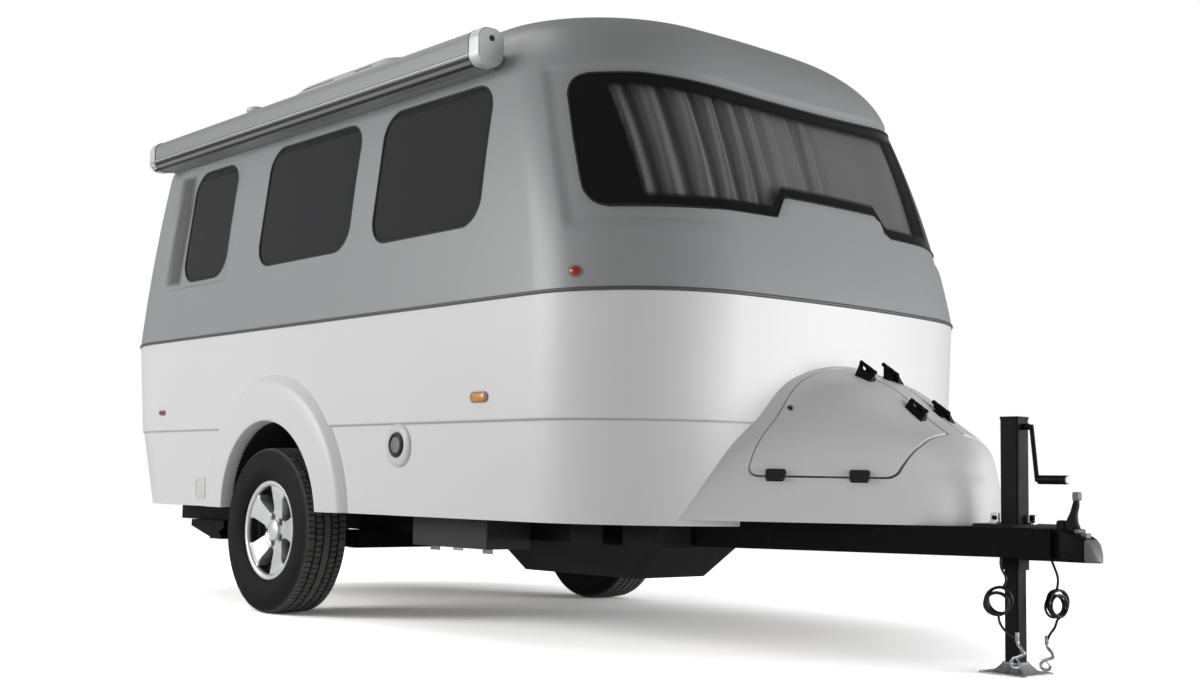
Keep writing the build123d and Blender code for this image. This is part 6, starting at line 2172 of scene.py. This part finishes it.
@dataclass
class SideFittings:
    """Lamps, the power inlet and the small covers on the body's sides and tail."""

    inlet_place: tuple[float, float] = (0.225, 0.691)
    bezel: ClassVar = (
        (0.082, -0.004), (0.082, 0.003), (0.079, 0.007), (0.07, 0.0105), (0.058, 0.0125), (0.051, 0.0125),
        (0.047, 0.01), (0.047, -0.004),
    )
    ring: ClassVar = (
        (0.046, -0.01), (0.046, 0.012), (0.044, 0.017), (0.039, 0.0195), (0.0345, 0.018), (0.0335, 0.012),
        (0.0335, 0.004), (0.001, 0.004),
    )
    cap: ClassVar = (
        (0.0315, 0.003), (0.0315, 0.014), (0.0295, 0.0165), (0.022, 0.0172), (0.019, 0.015), (0.01, 0.0148),
        (0.001, 0.0148),
    )
    lens: ClassVar = (
        (0.86, 0.78, 0.0, 1.0), (0.86, 0.78, 0.006, 1.0), (0.78, 0.64, 0.0095, 0.85), (0.5, 0.3, 0.0115, 0.4),
    )
    lens_seat: ClassVar = (
        (1.0, 1.0, -0.002, 1.0), (1.0, 1.0, 0.004, 1.0), (0.9, 0.84, 0.0055, 0.9), (0.4, 0.3, 0.005, 0.4),
    )
    clearance: tuple[float, float] = (1.093, 1.254)
    tail_y: float = 0.7
    tail_size: Triple = (0.09, 0.25, 0.0449)

    def wall_rings(
        self, form: Form, side: Side, place: tuple[float, float], size: tuple[float, float, float],
        rings: Sequence[tuple[float, float, float, float]], finish: int = 0,
    ) -> None:
        """Add rounded rectangles about a place on the side wall, each lifted off it.

        Args:
            form: The form they join.
            side: The side.
            place: The middle's x and z.
            size: Width, height and corner radius.
            rings: Each ring's share of the width, of the height, its lift and its share of the corner.
            finish: The finish's number.
        """
        made = []
        for wide, high, lift, share in rings:
            width, height = size[0] * wide, size[1] * high
            corner = min(size[2] * share, width / 2.001, height / 2.001)
            outline = rounded_outline(width, height, corner, 8) + place
            made.append(at_place(outline, "y", side.value * (HULL.row(outline[:, 1])[0] + lift)))
        form.tube(np.stack(made), finish)

    def lamps(self) -> None:
        """Side markers as lenses on dark seats, clearance lights at the nose, and round-ended tail lamps."""
        markers, seats, tails, rims = Form(), Form(), Form(), Form()
        round_red = ((0.02, 0.0), (0.02, 0.006), (0.015, 0.0095), (0.004, 0.011))
        round_seat = ((0.026, -0.002), (0.026, 0.003), (0.023, 0.0045), (0.004, 0.004))
        for side in Side:
            for finish, x, z, width, height in ((0, 0.735, 0.853, 0.1, 0.038), (1, -1.753, 0.856, 0.06, 0.024)):
                self.wall_rings(markers, side, (x, z), (width, height, height * 0.38), self.lens, finish)
                self.wall_rings(seats, side, (x, z), (width, height, height * 0.49), self.lens_seat)
            self.nose_rings(markers, side, round_red, 1)
            self.nose_rings(seats, side, round_seat, 0)
            self.tail_rings(tails, side, -0.006, (0.0, 0.006, 0.01, 0.0115))
            self.tail_rings(rims, side, 0.0, (-0.004, 0.006, 0.0075, 0.006))
        markers.piece("marker_lenses", (AMBER, RED), "lamp_amber", ("side_markers",))
        seats.piece("marker_seats", (GREY_PLASTIC,), "lamp_amber")
        tails.piece("tail_lenses", (RED,), "lamp_red", ("tail_lamps",))
        rims.piece("tail_lamp_rims", (GREY_PLASTIC,), "lamp_red")

    def nose_rings(self, form: Form, side: Side, rings: Sequence[tuple[float, float]], finish: int) -> None:
        """Add a round lamp on the nose's corner, as rings of a radius and a lift round a place of arc and height.

        Args:
            form: The form they join.
            side: The side.
            rings: Each ring's radius and lift.
            finish: The finish's number.
        """
        turn = circle(1.0, 24)
        made = []
        for radius, lift in rings:
            h = self.clearance[1] + radius * 0.8 * turn[:, 1]
            c = HULL.at_arc(self.clearance[0] + radius * turn[:, 0], h)
            made.append(HULL.place(c, h, side.value) + HULL.normal(c, h, side.value) * lift)
        form.tube(np.stack(made), finish)

    def tail_rings(self, form: Form, side: Side, grow: float, lifts: Sequence[float]) -> None:
        """Add a tall round-ended lamp on the tail, as rings made larger by a growth and lifted off it.

        Args:
            form: The form they join.
            side: The side.
            grow: How much larger the outline is at each edge.
            lifts: Each ring's height off the tail.
        """
        width, height, corner = self.tail_size
        made = []
        for scale, lift in zip((1.0, 1.0, 0.93, 0.2), lifts):
            size = ((width + 2 * grow) * scale, (height + 2 * grow) * (0.5 + 0.5 * scale), (corner + grow) * scale)
            y, z = (rounded_outline(*size, 8) + (self.tail_y, 0.96)).T
            c = HULL.at_arc(np.abs(y) * 1.02, z, -1)
            made.append(HULL.place(c, z, side.value) + HULL.normal(c, z, side.value) * lift)
        form.tube(np.stack(made))

    def inlet(self) -> None:
        """The power inlet: a white domed bezel round a dark turned cap, lathed about its own axis."""
        x, z = self.inlet_place
        middle = (x, -float(HULL.row(np.array(z))[0]), z)
        dome = Form()
        dome.loop(lathed(np.array(self.bezel), middle, 56, "y", -1))
        dome.piece("inlet_bezel", (WHITE_PLASTIC,), "plastic_white")
        form = Form()
        form.turned(self.ring, middle, 48, "y", -1)
        form.turned(self.cap, middle, 40, "y", -1, 1)
        form.piece("inlet_ring", (BLACK_PLASTIC_AND_PAINTED_SHADE, GREY_PLASTIC), "plastic_white", ("power_inlet",))

    def hatch(self) -> None:
        """A small square cover with a pressed panel, low at the rear of the right side."""
        steps = (
            (0.096, -0.002, 1.0), (0.096, 0.0035, 1.0), (0.09, 0.005, 0.8), (0.07, 0.005, 0.7),
            (0.066, 0.0025, 0.7), (0.01, 0.0025, 0.2),
        )
        form = Form()
        rings = [(width, width, lift, share) for width, lift, share in steps]
        self.wall_rings(form, Side.RIGHT, (-1.377, 0.51), (1.0, 1.0, 0.012), rings)
        form.piece("small_hatch", (WHITE_PLASTIC,), "plastic_white", sharp=24.0)

    def build(self) -> None:
        """Make every fitting."""
        self.lamps()
        self.inlet()
        self.hatch()


@dataclass
class Tongue:
    """The ball coupler with its lever, the jack's leg and foot, and small plated fittings."""

    ball_x: float = 2.48
    jack_x: float = 2.229
    coupler_rows: tuple[tuple[float, float, float], ...] = (
        (2.3, 0.074, 0.45), (2.34, 0.058, 0.45), (2.36, 0.05, 0.45), (2.41, 0.0475, 0.45), (2.425, 0.047, 0.446),
        (2.45, 0.0455, 0.438), (2.475, 0.043, 0.43), (2.492, 0.0395, 0.421), (2.505, 0.034, 0.408),
        (2.515, 0.025, 0.39), (2.522, 0.015, 0.372), (2.525, 0.006, 0.362),
    )
    foot: float = 0.352
    lever_outline: ClassVar = (
        (2.4, 0.444), (2.412, 0.474), (2.426, 0.5), (2.436, 0.53), (2.44, 0.552), (2.45, 0.552), (2.45, 0.52),
        (2.444, 0.494), (2.446, 0.47), (2.462, 0.434),
    )
    lever_blocks: ClassVar = (
        (0.02, 0.026, 0.005, 2.446, 0.549, 0.011, 1), (0.026, 0.034, 0.01, 2.394, 0.459, 0.012, 0),
        (0.02, 0.018, 0.004, 2.474, 0.43, 0.014, 1),
    )

    def coupler(self) -> None:
        """Rounded sections along x that narrow and slope to the lip, with the ball's bore cut up into them."""
        form = Form()
        # The rows from x 2.475 to the lip take the lighter steel, a painted highlight on the sloped nose.
        for part, finish in ((slice(0, 8), 0), (slice(7, None), 1)):
            rings = []
            for x, half, top in self.coupler_rows[part]:
                tall = top - self.foot
                outline = rounded_outline(2 * half, tall, min(0.01, half * 0.8, tall * 0.45), 5)
                rings.append(at_place(outline + (0.0, self.foot + tall / 2), "x", x))
            places = form.grid(np.stack(rings), finish, True)
            form.cap(places[0 if finish == 0 else -1], finish)
        bore = Form()
        bore.turned(((0.0256, 0.3), (0.0256, 0.398)), (self.ball_x, 0.0, 0.0), 48, "z")
        body = carve(form.mesh("coupler_body", (BLACK_STEEL, WORN_STEEL_AND_PAINTED_HIGHLIGHT)), [bore])
        settle(body, "coupler_body", ("coupler",), bevel=0.0012)
        lever = Form()
        lever.prism(np.array(self.lever_outline), -0.008, 0.008)
        for width, height, corner, x, z, half, finish in self.lever_blocks:
            lever.prism(rounded_outline(width, height, corner) + (x, z), -half, half, finish=finish)
        lever.turned(((0.007, -0.022), (0.007, 0.022)), (2.455, 0.0, 0.444), 16, finish=1)
        lever.piece("coupler_lever", (BLACK_STEEL, WORN_STEEL_AND_PAINTED_HIGHLIGHT), "chassis_black", bevel=0.0015)

    def jack(self) -> None:
        """The leg is a square tube; the foot is a plate under a cone of shrinking rounded squares."""
        form = Form()
        for rows, finish in (
            (((0.05, 0.006, 0.026), (0.05, 0.006, 0.46)), 0),
            (((0.118, 0.016, 0.004), (0.108, 0.016, 0.008), (0.07, 0.012, 0.028), (0.062, 0.01, 0.036)), 1),
            (((0.17, 0.018, 0.0), (0.17, 0.018, 0.005)), 1),
        ):
            form.layers(((rounded_outline(w, w, corner) + (self.jack_x, 0.0), z) for w, corner, z in rows), "z", finish)
        form.piece("jack_stand", (BLACK_STEEL, ZINC), "chassis_black", ("jack_leg",), bevel=0.0008)
        plated = Form()
        for step, y, width, height in ((-0.052, -0.03, 0.03, 0.034), (0.05, 0.022, 0.022, 0.03)):
            x = self.jack_x + step
            plated.prism(rounded_outline(width, height, 0.004) + (x, 0.459 + height / 2), y - 0.004, y + 0.004)
            plated.prism(rounded_outline(width, 0.03, 0.004) + (x, y), 0.459, 0.464, "z")
            plated.turned(((0.007, -0.01), (0.007, 0.01)), (x, y, 0.478), 16, finish=1)
        for x, y, z in ((0.09, -0.585, 0.306), (-0.1, -0.56, 0.3), (0.27, -0.575, 0.3)):
            plated.prism(rounded_outline(0.06, 0.03, 0.004) + (x, z), y - 0.003, y + 0.003)
            plated.prism(rounded_outline(0.06, 0.04, 0.004) + (x, y + 0.018), z + 0.012, z + 0.016, "z")
        plated.piece("plated_brackets", (ZINC, BLACK_STEEL), "zinc", bevel=0.001)
        grip = Form()
        grip.turned(((0.0115, 2.408), (0.0115, 2.4145), (0.01, 2.416), (0.004, 2.4165)), (0.0, 0.0, 0.598), 24, "x")
        grip.piece("grip_end", (WHITE_PLASTIC,), "chassis_black")

    def build(self) -> None:
        """Make the coupler and the jack's parts."""
        self.coupler()
        self.jack()


class Cable(Enum):
    """Which safety cable: the right one or the left one."""

    RIGHT = "right"
    LEFT = "left"


@dataclass
class SafetyCables:
    """Two breakaway cables: each a jacketed wire rope that hangs, coils and ends in a hook."""

    diameter: float = 0.008
    turns: float = 5.0
    per_turn: int = 14
    coil_radius: float = 0.0385
    coil_width: float = 0.028
    hook_bends: ClassVar = (
        (0, 0.0), (0.003, -0.016), (0.016, -0.03), (0.023, -0.042), (0.006, -0.052), (-0.014, -0.06),
        (-0.022, -0.071), (-0.018, -0.083), (-0.004, -0.0865), (0.009, -0.082), (0.012, -0.073),
    )
    bend_allowance: float = 1.01
    routes: ClassVar[dict[Cable, tuple]] = {
        Cable.RIGHT: (
            ((2.251, -0.11, 0.36), (2.246, -0.111, 0.33), (2.274, -0.112, 0.3), (2.262, -0.111, 0.268)),
            ((2.24, -0.11, 0.178), (2.248, -0.11, 0.152), (2.278, -0.11, 0.128), (2.306, -0.11, 0.118)),
            (2.24, -0.11, 0.223), 30.0,
        ),
        Cable.LEFT: (
            ((2.276, 0.12, 0.36), (2.29, 0.121, 0.328), (2.306, 0.121, 0.292), (2.3, 0.12, 0.255)),
            ((2.299, 0.12, 0.165), (2.292, 0.121, 0.138), (2.27, 0.121, 0.116), (2.262, 0.12, 0.092)),
            (2.3, 0.12, 0.21), 75.0,
        ),
    }

    def points(self, which: Cable) -> np.ndarray:
        """Control points: down from the tongue, round the coil as a helix that wanders a little, and down to the hook.

        The helix is the coil's centre plus a circle about its level axis; slow sines vary its radius, pitch and
        middle.

        Args:
            which: Which cable.

        Returns:
            Points, shape (n, 3).
        """
        above, below, centre, heading = self.routes[which]
        turn = np.radians(heading)
        axis = np.array((np.sin(turn), -np.cos(turn), 0.0))
        flat = np.array((np.cos(turn), np.sin(turn), 0.0))
        count = int(self.turns * self.per_turn) + self.per_turn // 2 + 1
        share = np.linspace(0, 1, count)
        angle = np.pi / 2 + share * 2 * np.pi * (self.turns + 0.5)
        grow = self.coil_radius / (0.5 + 0.5 * np.cos(2 * np.pi / self.per_turn))
        radius = grow * (0.93 - 0.09 * np.sin(share * 14.0))
        along = self.coil_width * (share - 0.5) + 0.0012 * np.sin(share * 37.0)
        level = radius * np.cos(angle) + 0.0055 * np.sin(share * 20.0)
        rise = radius * np.sin(angle) + 0.006 * np.cos(share * 17.0)
        helix = np.array(centre) + level[:, None] * flat + rise[:, None] * (0, 0, 1.0) + along[:, None] * axis
        return np.concatenate((np.array(above), helix, np.array(below)))

    def hook(self, which: Cable, end: np.ndarray) -> bpy.types.Object:
        """A bent-wire safety hook with a ferrule and a spring latch, carried along its bends.

        Args:
            which: Which cable.
            end: The cable's lower end.

        Returns:
            The hook's piece.
        """
        bends = at_place(np.array(self.hook_bends), "y", 0.0)
        length = np.concatenate(((0,), np.cumsum(np.linalg.norm(np.diff(bends, axis=0), axis=1))))
        fine = through(np.column_stack((length, bends)), np.linspace(0, length[-1], 64))
        form = Form()
        form.tube(carried(circle(0.005, 12), end + fine, (0.0, 1.0, 0.0)))
        form.turned(((0.0048, 0.02), (0.0064, 0.018), (0.0064, -0.006), (0.005, -0.009)), end, 18, "z")
        latch = np.array(((-0.014, 0, -0.054), (0.0, 0, -0.062), (0.009, 0, -0.072)))
        strip = np.array(((-0.0008, -0.003), (0.0008, -0.003), (0.0008, 0.003), (-0.0008, 0.003)))
        form.tube(carried(strip, end + latch, (0.0, 1.0, 0.0)))
        return form.piece(f"safety_hook_{which.value}", (ZINC,), "zinc", (f"cable_hook_{which.value}",))

    def build(self) -> None:
        for which in Cable:
            points = self.points(which)
            curve = bpy.data.curves.new(f"safety_line_{which.value}", "CURVE")
            curve.dimensions, curve.resolution_u, curve.use_fill_caps = "3D", 3, True
            curve.bevel_depth, curve.bevel_resolution = self.diameter / 2, 2
            spline = curve.splines.new("NURBS")
            spline.points.add(len(points) - 1)
            spline.points.foreach_set("co", np.column_stack((points, np.ones(len(points)))).ravel())
            spline.order_u, spline.use_endpoint_u = 3, True
            curve.materials.append(CABLE_JACKET.material())
            piece = linked(f"safety_line_{which.value}", curve)
            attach(piece, "trailer")
            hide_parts(f"safety_cable_{which.value}", f"cable_coil_{which.value}")
            hook = self.hook(which, points[-1])


@dataclass
class Stage:
    """The camera, the pale floor, the lamps and the world."""

    eye: Triple = (4.911968, -4.082614, 0.562277)
    yaw: float = 0.852002715
    pitch: float = 0.0925101169
    roll: float = 0.0178693219
    focal_pixels: float = 1497.57568
    frame_width: float = 1200.0
    sky: float = 0.25
    floor_tone: float = 3.2
    lamps: ClassVar = (
        ("side_lamp", (-5.2, -9.0, 3.4), (-0.9, -0.9, 1.3), (5.0, 4.5), 500.0),
        ("nose_lamp", (8.6, 5.9, 1.5), (1.8, 0.0, 0.9), (6.0, 2.8), 440.0),
        ("shroud_lamp", (5.6, 0.4, 0.6), (2.1, 0.0, 0.6), (1.8, 1.3), 34.0),
        ("roof_lamp", (-4.0, -1.5, 7.0), (-1.0, -0.3, 2.2), (4.0, 4.0), 80.0),
    )

    def camera(self) -> None:
        """Aim the camera by yaw, pitch and roll: its axes are the look direction's cross products, rolled."""
        yaw, pitch, roll = self.yaw, self.pitch, self.roll
        look = np.array((-np.sin(yaw) * np.cos(pitch), np.cos(yaw) * np.cos(pitch), np.sin(pitch)))
        right = np.array((np.cos(yaw), np.sin(yaw), 0.0))
        up = np.cross(right, look)
        tilted_right = np.cos(roll) * right + np.sin(roll) * up
        tilted_up = -np.sin(roll) * right + np.cos(roll) * up
        data = bpy.data.cameras.new("camera")
        data.sensor_fit, data.sensor_width = "HORIZONTAL", 36.0
        data.lens = 36.0 * self.focal_pixels / self.frame_width
        data.clip_end = 200.0
        bpy.context.scene.camera = self.aimed("camera", data, (tilted_right, tilted_up, -look), self.eye)

    @staticmethod
    def aimed(name: str, data: bpy.types.ID, axes: Sequence[np.ndarray], place: Triple) -> bpy.types.Object:
        """A camera or a lamp put at a place with its right, up and back axes.

        Args:
            name: The object's name.
            data: The camera or the lamp.
            axes: Its right, up and back unit vectors.
            place: Its place.

        Returns:
            The object.
        """
        pose = np.eye(4)
        pose[:3, :3], pose[:3, 3] = np.stack(axes, 1), place
        made = linked(name, data)
        made.matrix_world = Matrix(pose.tolist())
        return made

    def floor(self) -> None:
        """A large pale floor that keeps the shadow near the caravan and fades to the white of the backdrop far off.

        The camera sees a paler ground than the caravan does, and far from the middle it sees plain white.
        """
        form = Form()
        place = np.linspace(-60, 60, 9)
        x, y = np.meshgrid(place, place)
        form.grid(np.stack((x, y, np.zeros_like(x)), -1))
        shader = Shader("studio_floor")
        shader.set(Base_Color=(0.86, 0.86, 0.86), Roughness=0.95, Specular_IOR_Level=0.0)
        far = shader.node("ShaderNodeVectorMath", {"operation": "LENGTH"}, {0: shader.place()}, 1)
        glow = shader.node("ShaderNodeEmission", {}, {"Color": (1.0, 1.0, 1.0), "Strength": 1.0})
        pale = shader.node("ShaderNodeBsdfDiffuse", {}, {"Color": (self.floor_tone,) * 3})
        seen = shader.node("ShaderNodeLightPath", {}, {}, "Is Camera Ray")
        ground = shader.node("ShaderNodeMixShader", {}, {0: far.ramp(3.6, 8.5), 1: pale, 2: glow})
        real = Value(shader, shader.surface.outputs[0])
        blend = shader.node("ShaderNodeMixShader", {}, {0: seen, 1: real, 2: ground})
        shader.connect(shader.output.inputs[0], blend)
        mesh = form.mesh("studio_floor", ())
        mesh.materials.append(shader.material)
        linked("studio_floor", mesh)

    def lamp(self, name: str, place: Triple, target: Triple, size: tuple[float, float], power: float) -> None:
        """A rectangular lamp at a place, turned to a target.

        Args:
            name: The lamp's name.
            place: Its place.
            target: The point it faces.
            size: Its width and height.
            power: Its power in watts.
        """
        data = bpy.data.lights.new(name, "AREA")
        data.shape, data.size, data.size_y, data.energy = "RECTANGLE", size[0], size[1], power
        back = unit(np.array(place) - np.array(target))
        right = unit(np.cross((0.0, 0.0, 1.0), back))
        self.aimed(name, data, (right, np.cross(back, right), back), place)

    def world(self) -> None:
        """An even grey sky for the light, and white where the camera looks at it, directly or through a pane."""
        world = bpy.data.worlds.new("studio_world")
        bpy.context.scene.world = world
        sky = Nodes(world, "ShaderNodeOutputWorld")
        camera, through_pane = (
            sky.node("ShaderNodeLightPath", {}, {}, f"Is {kind} Ray") for kind in ("Camera", "Transmission")
        )
        light, white = (
            sky.node("ShaderNodeBackground", {}, {"Color": (1.0, 1.0, 1.0), "Strength": strength})
            for strength in (self.sky, 1.0)
        )
        blend = sky.node("ShaderNodeMixShader", {}, {0: camera | through_pane, 1: light, 2: white})
        sky.connect(sky.output.inputs[0], blend)

    def build(self) -> None:
        """Set the studio up."""
        self.camera()
        self.floor()
        self.world()
        for lamp in self.lamps:
            self.lamp(*lamp)
        bpy.context.scene.view_settings.view_transform = "Standard"


class CarriedParts:
    """The frame's own nodes that keep their shape and get a finish."""

    def build(self) -> None:
        """Put each shown node's finish in every one of its material slots."""
        slots = {part["node"]: part["material_slot"] for part in frame["record"]["subparts"]}
        for name, node in NODES.items():
            finish = SLOT_FINISH[slots[name]]
            if not node.data.materials:
                node.data.materials.append(finish.material())
            for slot in node.material_slots:
                slot.link, slot.material = "OBJECT", finish.material()
            LOG.info("%s: node in %s", name, finish.name)


def main() -> None:
    """Build the studio, the cables and every sub-assembly in order, and say what was made."""
    logging.basicConfig(level=logging.INFO, format="%(message)s")
    for assembly in (
        Stage(), SafetyCables(), CarriedParts(), BodyShells(), Glazing(), Curtain(), EntryDoor(), FenderFlares(),
        *(Wheel(side) for side in Side), Shroud(), Awning(), RoofFittings(), SideFittings(), Tongue(),
    ):
        LOG.info("building %s", type(assembly).__name__)
        assembly.build()


if __name__ == "__main__":
    main()
